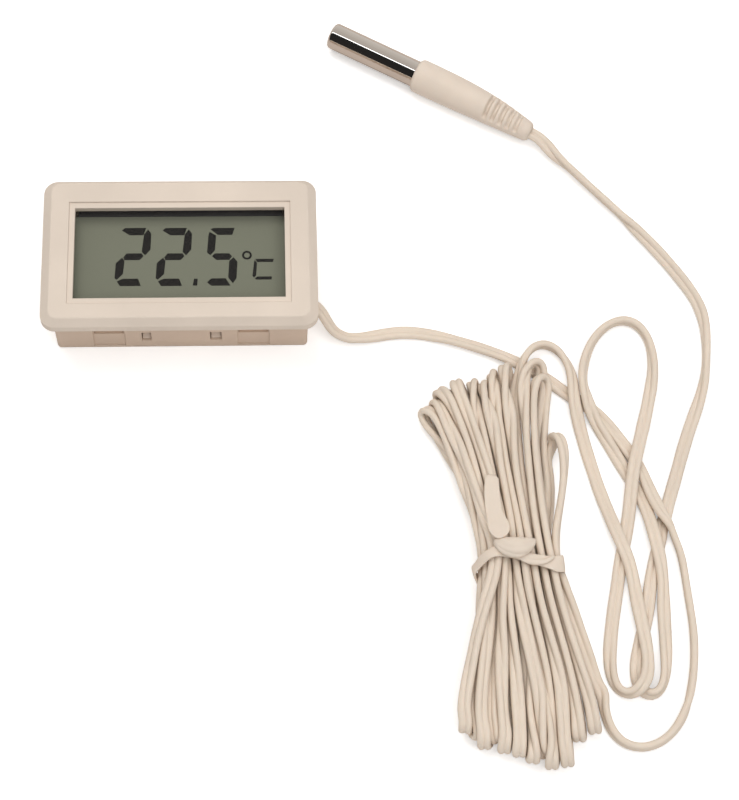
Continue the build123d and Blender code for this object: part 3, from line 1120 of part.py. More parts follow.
53.1 -86.38 3.96 -.999 -.021 .037
53.24 -85.12 4.79 -.933 .002 .36
53.29 -83.58 4.89 -.831 .001 .557
53.2 -82.05 4.8 -.738 -.007 .675
53.16 -80.5 4.77 -.699 -.012 .715
53.15 -78.96 4.79 -.723 -.014 .691
53.17 -77.42 4.85 -.793 -.01 .609
53.21 -75.88 4.92 -.887 .001 .461
53.26 -74.34 5.02 -.97 .021 .241
53.32 -72.8 5.12 -.998 .046 -.042
53.39 -71.26 5.24 -.934 .071 -.35
53.47 -69.73 5.37 -.775 .093 -.625
53.54 -68.19 5.51 -.563 .105 -.82
53.62 -66.66 5.65 -.364 .11 -.925
53.71 -65.13 5.81 -.236 .111 -.965
53.79 -63.59 5.96 -.205 .112 -.972
53.89 -62.06 6.12 -.268 .113 -.957
53.98 -60.53 6.27 -.396 .114 -.911
54.08 -59 6.42 -.542 .11 -.833
54.17 -57.46 6.56 -.665 .1 -.74
54.23 -55.93 6.7 -.744 .082 -.663
54.25 -54.39 6.84 -.78 .06 -.623

54.25 -54.09 6.87 -.782 .055 -.62
54.19 -52.56 7.05 -.781 .035 -.623
54.08 -51.03 7.25 -.766 .017 -.642
53.96 -49.51 7.41 -.748 -.011 -.664
53.85 -47.97 7.49 -.743 -.015 -.669
53.71 -46.44 7.59 -.753 -.06 -.655
53.52 -44.91 7.53 -.76 -.16 -.63
53.31 -43.39 7.35 -.767 -.2 -.61
53.07 -41.88 7.12 -.758 -.223 -.613
52.8 -40.38 6.89 -.729 -.223 -.647
52.51 -38.88 6.71 -.683 -.217 -.697
52.2 -37.38 6.55 -.63 -.211 -.748
51.86 -35.88 6.41 -.585 -.204 -.785
51.49 -34.38 6.29 -.566 -.202 -.799
51.12 -32.89 6.18 -.58 -.206 -.788
50.72 -31.4 6.08 -.624 -.217 -.751
50.31 -29.92 5.99 -.69 -.232 -.685
49.89 -28.44 5.91 -.768 -.251 -.59
49.46 -26.96 5.84 -.843 -.27 -.465
49.01 -25.48 5.79 -.904 -.283 -.321
48.59 -24 5.69 -.94 -.28 -.193
48.26 -22.55 5.3 -.962 -.229 -.146
48.18 -21.34 4.37 -.959 -.173 -.224
48.53 -20.9 2.97 -.928 -.062 -.367
49.24 -21.68 1.9 -.617 .012 -.787
49.89 -23.04 1.62 -.252 -.06 -.966
50.32 -24.52 1.64 .001 -.017 -1
50.74 -26 1.66 .17 .032 -.985
51.15 -27.49 1.69 .27 .058 -.961
51.55 -28.98 1.71 .319 .065 -.945
51.92 -30.47 1.74 .326 .059 -.943
52.27 -31.98 1.78 .299 .043 -.953
52.6 -33.48 1.82 .251 .021 -.968
52.9 -34.99 1.87 .199 0 -.98
53.19 -36.51 1.94 .165 -.017 -.986
53.46 -38.03 2.02 .17 -.024 -.985
53.71 -39.54 2.1 .228 -.018 -.974
53.95 -41.07 2.18 .343 .002 -.939
54.18 -42.59 2.26 .504 .034 -.863
54.41 -44.11 2.33 .679 .07 -.731
54.62 -45.64 2.43 .833 .03 -.552
54.72 -47.15 2.72 .931 -.074 -.356
54.69 -48.66 3.01 .973 -.055 -.224
54.66 -50.19 3.23 .989 -.048 -.143
54.6 -51.71 3.47 .989 -.073 -.129

54.58 -52.01 3.51 .989 -.074 -.132
54.49 -53.52 3.65 .985 -.075 -.153
54.38 -55.03 3.71 .982 -.068 -.178
54.31 -56.55 3.71 .982 -.015 -.19
54.3 -58.06 3.62 .983 .007 -.181
54.27 -59.57 3.48 .987 -.014 -.162
54.21 -61.08 3.33 .991 -.032 -.132
54.14 -62.59 3.19 .994 -.046 -.096
54.05 -64.1 3.07 .997 -.061 -.055
53.93 -65.61 2.94 .996 -.086 -.011
53.79 -67.11 2.81 .993 -.111 .035
53.61 -68.61 2.66 .988 -.134 .074
53.41 -70.11 2.51 .984 -.149 .097
53.19 -71.61 2.38 .984 -.15 .094
52.98 -73.11 2.27 .988 -.139 .063
52.78 -74.61 2.19 .992 -.123 .011
52.61 -76.11 2.13 .993 -.106 -.047
52.46 -77.63 2.1 .992 -.086 -.089
52.35 -79.14 2.1 .994 -.057 -.091
52.3 -80.66 2.12 1 .003 -.023
52.39 -82.17 2.22 .986 .113 .123
52.56 -83.68 2.25 .95 .081 .301
52.3 -84.98 2.83 .847 -.041 .529
51.54 -84.42 3.83 .893 -.037 .449
51.45 -82.93 4.04 .881 .077 .467
51.36 -81.42 3.95 .903 .049 .427
51.37 -79.9 3.87 .924 -.008 .382
51.43 -78.39 3.81 .942 -.033 .333
51.5 -76.87 3.78 .958 -.047 .284
51.59 -75.36 3.76 .972 -.056 .23
51.68 -73.84 3.76 .984 -.062 .168
51.78 -72.33 3.77 .993 -.064 .096
51.87 -70.81 3.8 .998 -.062 .019
51.96 -69.3 3.85 .997 -.056 -.058
52.05 -67.78 3.94 .991 -.047 -.123
52.13 -66.27 4.06 .985 -.038 -.167
52.22 -64.76 4.2 .983 -.04 -.18
52.31 -63.26 4.33 .986 -.045 -.159
52.4 -61.75 4.47 .993 -.052 -.107
52.49 -60.24 4.61 .998 -.057 -.034
52.58 -58.73 4.74 .997 -.059 .041
52.66 -57.22 4.84 .994 -.049 .101
52.71 -55.7 4.91 .99 -.029 .138
52.73 -54.18 4.95 .987 -.002 .159

52.73 -53.88 4.95 .987 .003 .163
52.69 -52.34 4.99 .982 .028 .188
52.63 -50.8 5.06 .971 .024 .238
52.59 -49.27 5.19 .948 -.022 .318
52.6 -47.75 5.42 .904 -.102 .416
52.64 -46.22 5.62 .836 -.034 .548
52.64 -44.68 5.52 .764 .109 .636
52.5 -43.17 5.27 .7 .227 .677
52.24 -41.67 5.02 .684 .233 .691
51.95 -40.17 4.81 .712 .224 .665
51.64 -38.67 4.65 .764 .222 .605
51.31 -37.17 4.52 .821 .227 .524
50.96 -35.68 4.41 .868 .235 .436
50.6 -34.18 4.32 .901 .245 .359
50.21 -32.69 4.26 .92 .254 .299
49.81 -31.2 4.21 .929 .263 .261
49.39 -29.72 4.18 .932 .272 .239
48.95 -28.24 4.18 .932 .281 .229
48.49 -26.77 4.21 .93 .294 .22
48.01 -25.31 4.29 .933 .298 .2
47.59 -23.84 4.18 .953 .248 .175
47.48 -22.6 3.33 .967 .158 .198
47.8 -22.7 1.91 .967 .104 .234
48.21 -23.98 1.21 .945 .238 .227
48.68 -25.44 1.11 .942 .326 .078
49.19 -26.9 1.1 .937 .331 -.111
49.71 -28.35 1.09 .889 .324 -.324
50.24 -29.8 1.09 .796 .288 -.533
50.74 -31.25 1.11 .678 .185 -.711
51.16 -32.74 1.19 .528 .099 -.843
51.52 -34.23 1.24 .371 .065 -.926
51.87 -35.73 1.26 .245 .046 -.969
52.21 -37.24 1.27 .171 .035 -.985
52.53 -38.74 1.27 .161 .036 -.986
52.85 -40.25 1.27 .212 .05 -.976
53.15 -41.76 1.25 .308 .073 -.948
53.43 -43.28 1.23 .421 .09 -.903
53.71 -44.79 1.2 .511 .106 -.853
54 -46.31 1.22 .564 .084 -.821
54.37 -47.8 1.34 .564 .065 -.823
54.74 -49.29 1.5 .525 .034 -.85
55.02 -50.8 1.6 .467 .019 -.884
55.2 -52.32 1.71 .403 -.034 -.915

55.22 -52.62 1.74 .392 -.036 -.919
55.25 -54.14 1.8 .346 -.03 -.938
55.15 -55.66 1.81 .323 -.013 -.946
54.96 -57.17 1.76 .322 -.01 -.947
54.69 -58.66 1.68 .336 -.017 -.942
54.36 -60.14 1.59 .363 -.023 -.932
54.01 -61.62 1.49 .391 -.035 -.92
53.63 -63.09 1.39 .416 -.048 -.908
53.26 -64.56 1.32 .428 -.074 -.901
52.9 -66.04 1.28 .436 -.085 -.896
52.56 -67.52 1.25 .443 -.085 -.893
52.25 -69.01 1.23 .45 -.08 -.889
51.96 -70.5 1.21 .464 -.075 -.883
51.71 -72 1.2 .49 -.07 -.869
51.48 -73.5 1.19 .535 -.065 -.843
51.29 -75.01 1.17 .6 -.062 -.798
51.13 -76.52 1.16 .685 -.056 -.726
51.01 -78.04 1.14 .785 -.043 -.619
50.93 -79.56 1.1 .885 -.016 -.465
50.91 -81.08 1.03 .966 .025 -.258
50.95 -82.59 .92 .999 .025 -.025
50.88 -84.11 .89 .974 -.14 .179
50.41 -85.4 1.48 .916 -.163 .366
49.95 -85.91 2.81 .976 -.084 .201
49.78 -85.35 4.18 .993 -.075 .096
49.77 -84.03 4.9 .993 .081 -.083
49.63 -82.53 5.02 .954 .084 -.289
49.55 -81.01 4.96 .916 0 -.401
49.6 -79.49 4.96 .885 -.054 -.463
49.73 -77.98 4.99 .862 -.079 -.5
49.92 -76.47 5.05 .848 -.091 -.522
50.12 -74.96 5.1 .841 -.098 -.531
50.34 -73.46 5.17 .842 -.103 -.529
50.57 -71.96 5.23 .853 -.106 -.511
50.79 -70.45 5.3 .875 -.111 -.47
51.02 -68.95 5.36 .909 -.116 -.401
51.22 -67.44 5.42 .947 -.107 -.302
51.4 -65.94 5.47 .978 -.101 -.184
51.55 -64.42 5.51 .993 -.097 -.07
51.68 -62.91 5.55 .997 -.072 .015
51.77 -61.39 5.62 .997 -.054 .061
51.84 -59.88 5.73 .996 -.049 .068
51.91 -58.36 5.83 .998 -.04 .048
51.95 -56.84 5.91 1 -.023 .015
51.97 -55.33 5.97 1 -.003 -.013
51.96 -53.8 6.01 1 .02 -.019

51.95 -53.51 6.01 1 .026 -.016
51.89 -51.98 6.04 .998 .054 .032
51.79 -50.47 6.08 .988 .073 .14
51.67 -48.95 6.12 .951 .066 .303
51.55 -47.43 6.16 .865 .07 .497
51.43 -45.91 6.14 .726 .062 .685
51.36 -44.39 6.1 .547 .041 .836
51.24 -42.88 6.1 .369 .041 .928
51.05 -41.36 6.06 .227 .07 .971
50.81 -39.86 6.01 .147 .061 .987
50.53 -38.37 5.96 .123 .056 .991
50.23 -36.87 5.91 .135 .057 .989
49.9 -35.39 5.87 .16 .064 .985
49.54 -33.91 5.83 .176 .07 .982
49.14 -32.44 5.79 .179 .075 .981
48.73 -30.97 5.75 .176 .077 .981
48.3 -29.52 5.72 .189 .078 .979
47.81 -28.07 5.71 .248 .091 .964
47.28 -26.65 5.71 .383 .145 .912
46.69 -25.25 5.65 .531 .355 .769
46.01 -23.95 5.25 .644 .606 .468
45.39 -22.91 4.33 .747 .657 .099
45.1 -22.58 2.91 .874 .483 -.053
45.53 -23.38 1.76 .856 .361 .37
46.37 -24.62 1.55 .632 .422 .65
47.06 -25.96 1.72 .581 .371 .725
47.63 -27.36 1.91 .644 .315 .697
48.09 -28.81 2.05 .767 .253 .59
48.44 -30.29 2.12 .889 .197 .414
48.75 -31.78 2.11 .96 .203 .195
49.1 -33.26 2.06 .967 .254 -.023
49.5 -34.72 1.98 .942 .262 -.208
49.88 -36.2 1.92 .91 .247 -.334
50.25 -37.67 1.85 .89 .234 -.392
50.6 -39.15 1.78 .894 .225 -.388
50.92 -40.64 1.72 .921 .186 -.344
51.17 -42.14 1.8 .959 .095 -.268
51.35 -43.63 2.02 .981 .082 -.174
51.51 -45.12 2.28 .994 .095 -.049
51.67 -46.62 2.55 .984 .13 .123
51.85 -48.11 2.77 .922 .161 .352
52.03 -49.61 2.94 .78 .154 .606
52.21 -51.12 3.06 .567 .106 .817

52.25 -51.42 3.07 .522 .091 .848
52.38 -52.93 3.1 .3 .02 .954
52.45 -54.44 3.07 .16 -.025 .987
52.4 -55.96 3.02 .14 -.046 .989
52.23 -57.46 2.96 .245 -.088 .965
51.96 -58.95 2.86 .425 -.154 .892
51.63 -60.43 2.75 .627 -.201 .752
51.28 -61.9 2.64 .792 -.233 .564
50.93 -63.37 2.52 .895 -.253 .368
50.56 -64.84 2.39 .944 -.256 .209
50.19 -66.3 2.27 .963 -.248 .109
49.82 -67.77 2.19 .966 -.247 .072
49.45 -69.24 2.11 .964 -.249 .089
49.08 -70.71 2.04 .957 -.249 .15
48.71 -72.18 1.98 .94 -.246 .237
48.34 -73.65 1.93 .911 -.236 .338
47.98 -75.12 1.88 .873 -.22 .436
47.65 -76.6 1.84 .834 -.192 .517
47.37 -78.09 1.8 .813 -.134 .566
47.26 -79.6 1.78 .826 .02 .564
47.38 -81.12 1.83 .881 .119 .458
47.36 -82.55 2.25 .965 -.083 .247
46.86 -83.4 3.37 .947 -.251 .2
46.87 -82.63 4.57 .973 -.141 .181
46.79 -81.16 4.93 .978 .064 .199
46.77 -79.65 4.96 .968 -.064 .243
46.97 -78.14 4.98 .924 -.17 .342
47.26 -76.66 5.04 .873 -.209 .44
47.58 -75.18 5.14 .817 -.227 .531
47.92 -73.7 5.27 .755 -.237 .611
48.27 -72.24 5.43 .695 -.246 .676
48.63 -70.77 5.61 .644 -.257 .72
48.99 -69.32 5.83 .616 -.27 .74
49.36 -67.86 6.06 .62 -.283 .732
49.77 -66.42 6.28 .656 -.297 .694
50.18 -64.98 6.52 .709 -.313 .631
50.61 -63.55 6.76 .766 -.33 .552
51.08 -62.12 6.97 .812 -.342 .473
51.59 -60.7 7.13 .844 -.338 .416
52.08 -59.27 7.25 .866 -.315 .389
52.51 -57.82 7.35 .881 -.259 .396
52.83 -56.34 7.44 .9 -.167 .402
52.99 -54.83 7.51 .907 -.061 .416

53 -54.53 7.52 .907 -.041 .42
52.95 -52.99 7.6 .892 .061 .447
52.71 -51.47 7.69 .863 .161 .479
52.34 -49.97 7.7 .806 .237 .543
51.89 -48.5 7.64 .748 .273 .605
51.41 -47.03 7.56 .664 .261 .701
51 -45.55 7.41 .549 .226 .805
50.67 -44.05 7.21 .407 .207 .89
50.34 -42.56 7.01 .276 .189 .942
49.99 -41.07 6.82 .192 .173 .966
49.61 -39.58 6.63 .182 .17 .969
49.2 -38.11 6.45 .254 .187 .949
48.75 -36.64 6.28 .399 .226 .888
48.28 -35.18 6.11 .589 .278 .759
47.79 -33.72 5.96 .778 .317 .542
47.29 -32.27 5.82 .906 .35 .239
46.75 -30.83 5.69 .934 .342 -.103
46.23 -29.38 5.53 .88 .256 -.4
45.73 -27.93 5.33 .798 .167 -.579
45.26 -26.52 4.95 .808 .046 -.587
44.83 -25.22 4.25 .915 -.009 -.404
44.49 -24.65 2.91 .978 .149 -.148
44.56 -25.69 1.86 .954 .291 -.069
45.08 -27.07 1.42 .92 .391 -.022
45.66 -28.48 1.17 .926 .376 -.022
46.23 -29.91 .99 .928 .37 -.032
46.8 -31.34 .89 .929 .367 -.049
47.36 -32.78 .86 .931 .357 -.07
47.89 -34.23 .84 .936 .34 -.093
48.41 -35.68 .83 .94 .323 -.114
48.9 -37.15 .83 .943 .305 -.132
49.36 -38.62 .82 .946 .288 -.146
49.79 -40.1 .8 .949 .271 -.16
50.2 -41.59 .79 .949 .259 -.181
50.65 -43.07 .81 .923 .319 -.216
51.2 -44.51 .84 .895 .353 -.273
51.78 -45.94 .97 .885 .307 -.349
52.32 -47.37 1.16 .862 .251 -.44
52.82 -48.81 1.38 .818 .182 -.546
53.26 -50.28 1.59 .745 .107 -.658
53.6 -51.77 1.8 .631 .02 -.776
53.82 -53.29 1.95 .501 -.015 -.865

53.85 -53.59 1.97 .477 -.018 -.879
53.88 -55.1 2.02 .39 -.01 -.921
53.75 -56.61 1.97 .371 .004 -.929
53.48 -58.09 1.85 .423 .003 -.906
53.13 -59.55 1.67 .522 -.029 -.852
52.71 -61 1.47 .645 -.091 -.759
52.27 -62.44 1.29 .764 -.154 -.627
51.84 -63.88 1.13 .854 -.206 -.477
51.43 -65.33 1.01 .914 -.228 -.335
51.04 -66.8 .93 .948 -.232 -.219
50.68 -68.27 .88 .965 -.223 -.136
50.35 -69.75 .85 .974 -.211 -.08
50.04 -71.23 .84 .979 -.201 -.046
49.74 -72.71 .83 .981 -.19 -.024
49.46 -74.2 .83 .984 -.178 -.012
49.2 -75.69 .83 .986 -.165 -.006
48.96 -77.19 .84 .989 -.149 -.005
48.75 -78.69 .85 .992 -.125 -.011
48.59 -80.2 .85 .996 -.084 -.025
48.52 -81.71 .85 .998 -.01 -.064
48.56 -83.19 1.14 .98 -.001 -.198
48.96 -84.22 2.13 .883 .044 -.467
49.27 -83.87 3.35 .956 .226 -.189
49.01 -82.44 3.76 .913 .247 -.325
48.71 -80.96 3.84 .918 .149 -.367
48.56 -79.45 3.81 .942 .01 -.336
48.62 -77.94 3.79 .967 -.078 -.244
48.77 -76.43 3.79 .989 -.112 -.1
48.96 -74.92 3.8 .988 -.125 .087
49.15 -73.42 3.82 .945 -.126 .303
49.34 -71.92 3.84 .842 -.116 .527
49.53 -70.42 3.86 .672 -.096 .734
49.72 -68.91 3.89 .445 -.071 .893
49.89 -67.41 3.93 .186 -.059 .981
50.06 -65.9 4 -.059 -.036 .998
50.21 -64.4 4.05 -.253 -.01 .967
50.35 -62.89 4.1 -.378 .008 .926
50.5 -61.38 4.14 -.433 .028 .901
50.67 -59.88 4.16 -.434 .039 .9
50.84 -58.37 4.18 -.399 .041 .916
50.99 -56.86 4.18 -.365 .024 .931
51.08 -55.35 4.19 -.339 .004 .941

51.09 -55.05 4.19 -.335 0 .942
51.08 -53.53 4.21 -.326 -.023 .945
50.99 -52.01 4.24 -.331 -.051 .942
50.81 -50.49 4.28 -.322 -.076 .944
50.56 -48.99 4.33 -.312 -.091 .946
50.28 -47.49 4.39 -.242 -.083 .967
49.98 -46 4.44 -.1 -.054 .993
49.66 -44.51 4.49 .117 -.003 .993
49.32 -43.02 4.52 .382 .068 .922
48.96 -41.54 4.56 .638 .147 .756
48.59 -40.06 4.57 .833 .208 .512
48.23 -38.58 4.54 .941 .243 .237
47.84 -37.11 4.5 .964 .264 -.013
47.42 -35.64 4.48 .939 .274 -.209
46.97 -34.19 4.46 .895 .279 -.347
46.5 -32.74 4.45 .851 .285 -.441
46 -31.3 4.45 .807 .3 -.509
45.45 -29.88 4.48 .751 .337 -.568
44.8 -28.5 4.55 .698 .386 -.604
43.99 -27.21 4.46 .707 .407 -.578
43 -26.24 3.87 .747 .458 -.483
42.32 -26.23 2.59 .749 .546 -.374
42.72 -27.42 1.82 .709 .439 -.552
43.39 -28.78 1.77 .604 .283 -.745
44.12 -30.12 1.85 .377 .148 -.914
44.89 -31.43 1.96 .121 -.013 -.993
45.66 -32.74 2.08 -.121 -.171 -.978
46.41 -34.06 2.23 -.324 -.295 -.899
47.14 -35.38 2.42 -.467 -.376 -.8
47.85 -36.71 2.64 -.54 -.419 -.73
48.55 -38.04 2.9 -.534 -.43 -.728
49.24 -39.37 3.19 -.432 -.41 -.803
49.91 -40.7 3.52 -.213 -.335 -.918
50.59 -42.04 3.77 .064 -.056 -.996
51.29 -43.39 3.75 .391 .254 -.885
52.03 -44.72 3.72 .672 .401 -.623
52.85 -45.99 3.9 .828 .449 -.334
53.68 -47.23 4.24 .829 .533 -.168
54.53 -48.49 4.37 .836 .543 -.082
55.3 -49.79 4.5 .89 .452 -.062
55.9 -51.18 4.69 .943 .319 -.093
56.33 -52.64 4.67 .951 .257 -.171
56.69 -54.12 4.57 .937 .247 -.246

56.77 -54.41 4.55 .933 .25 -.26
57.14 -55.88 4.39 .902 .278 -.331
57.46 -57.36 4.12 .888 .239 -.393
57.65 -58.83 3.74 .875 .206 -.438
57.79 -60.31 3.38 .873 .178 -.454
57.92 -61.81 3.09 .89 .14 -.434
58.03 -63.32 2.87 .923 .118 -.367
58.14 -64.84 2.68 .961 .101 -.257
58.25 -66.36 2.5 .99 .082 -.114
58.36 -67.88 2.35 .997 .063 .046
58.45 -69.4 2.22 .978 .045 .203
58.54 -70.93 2.11 .939 .027 .342
58.61 -72.45 2.02 .892 .008 .452
58.66 -73.98 1.93 .846 -.01 .534
58.67 -75.51 1.87 .81 -.026 .586
58.66 -77.04 1.8 .788 -.037 .614
58.62 -78.57 1.75 .783 -.046 .62
58.57 -80.1 1.69 .795 -.052 .605
58.5 -81.63 1.64 .821 -.064 .568
58.4 -83.16 1.58 .861 -.085 .502
58.27 -84.69 1.49 .909 -.129 .395
58.08 -86.2 1.38 .962 -.129 .241
57.88 -87.68 1.63 .994 -.104 .039
57.86 -88.42 2.89 .981 -.185 -.053
57.94 -87.48 4.01 .878 -.166 .448
57.89 -85.97 4.16 .587 .077 .806
57.86 -84.45 3.97 .287 .137 .948
57.83 -82.93 3.78 .09 .109 .99
57.76 -81.4 3.63 .024 .092 .996
57.7 -79.88 3.51 .065 .075 .995
57.68 -78.35 3.42 .192 .041 .98
57.7 -76.82 3.39 .374 -.016 .927
57.74 -75.29 3.43 .573 -.049 .818
57.76 -73.76 3.51 .746 -.043 .664
57.77 -72.23 3.6 .869 -.029 .494
57.76 -70.7 3.69 .941 -.018 .338
57.76 -69.17 3.8 .977 -.013 .215
57.76 -67.64 3.91 .992 -.017 .124
57.78 -66.11 4.03 .998 -.028 .054
57.84 -64.59 4.17 .999 -.051 -.013
57.94 -63.07 4.34 .994 -.069 -.088
58.08 -61.56 4.54 .982 -.08 -.174
58.26 -60.05 4.74 .962 -.082 -.261
58.44 -58.54 4.9 .938 -.081 -.337
58.62 -57.02 5.02 .92 -.095 -.38

58.66 -56.72 5.03 .919 -.098 -.383
58.81 -55.19 5.03 .927 -.078 -.367
58.87 -53.64 4.92 .955 -.036 -.294
58.89 -52.1 4.81 .987 -.029 -.156
58.93 -50.56 4.73 .999 -.023 .035
58.96 -49.01 4.67 .965 -.011 .261
58.99 -47.47 4.63 .869 .004 .495
58.99 -45.92 4.59 .711 .016 .703
58.99 -44.37 4.55 .512 .028 .859
58.97 -42.83 4.5 .309 .036 .95
58.93 -41.28 4.45 .144 .041 .989
58.87 -39.74 4.39 .048 .044 .998
58.77 -38.2 4.32 .035 .051 .998
58.67 -36.66 4.24 .104 .065 .992
58.57 -35.12 4.14 .242 .083 .967
58.46 -33.58 4.03 .425 .1 .9
58.35 -32.04 3.9 .621 .113 .775
58.25 -30.5 3.76 .795 .115 .596
58.15 -28.97 3.59 .917 .091 .388
58.14 -27.43 3.4 .975 -.016 .221
58.27 -25.9 3.27 .982 -.112 .153
58.5 -24.37 3.2 .967 -.152 .205
58.76 -22.85 3.07 .921 -.133 .365
59.07 -21.34 3.08 .78 -.229 .582
59.46 -19.84 3.09 .622 -.103 .776
"""
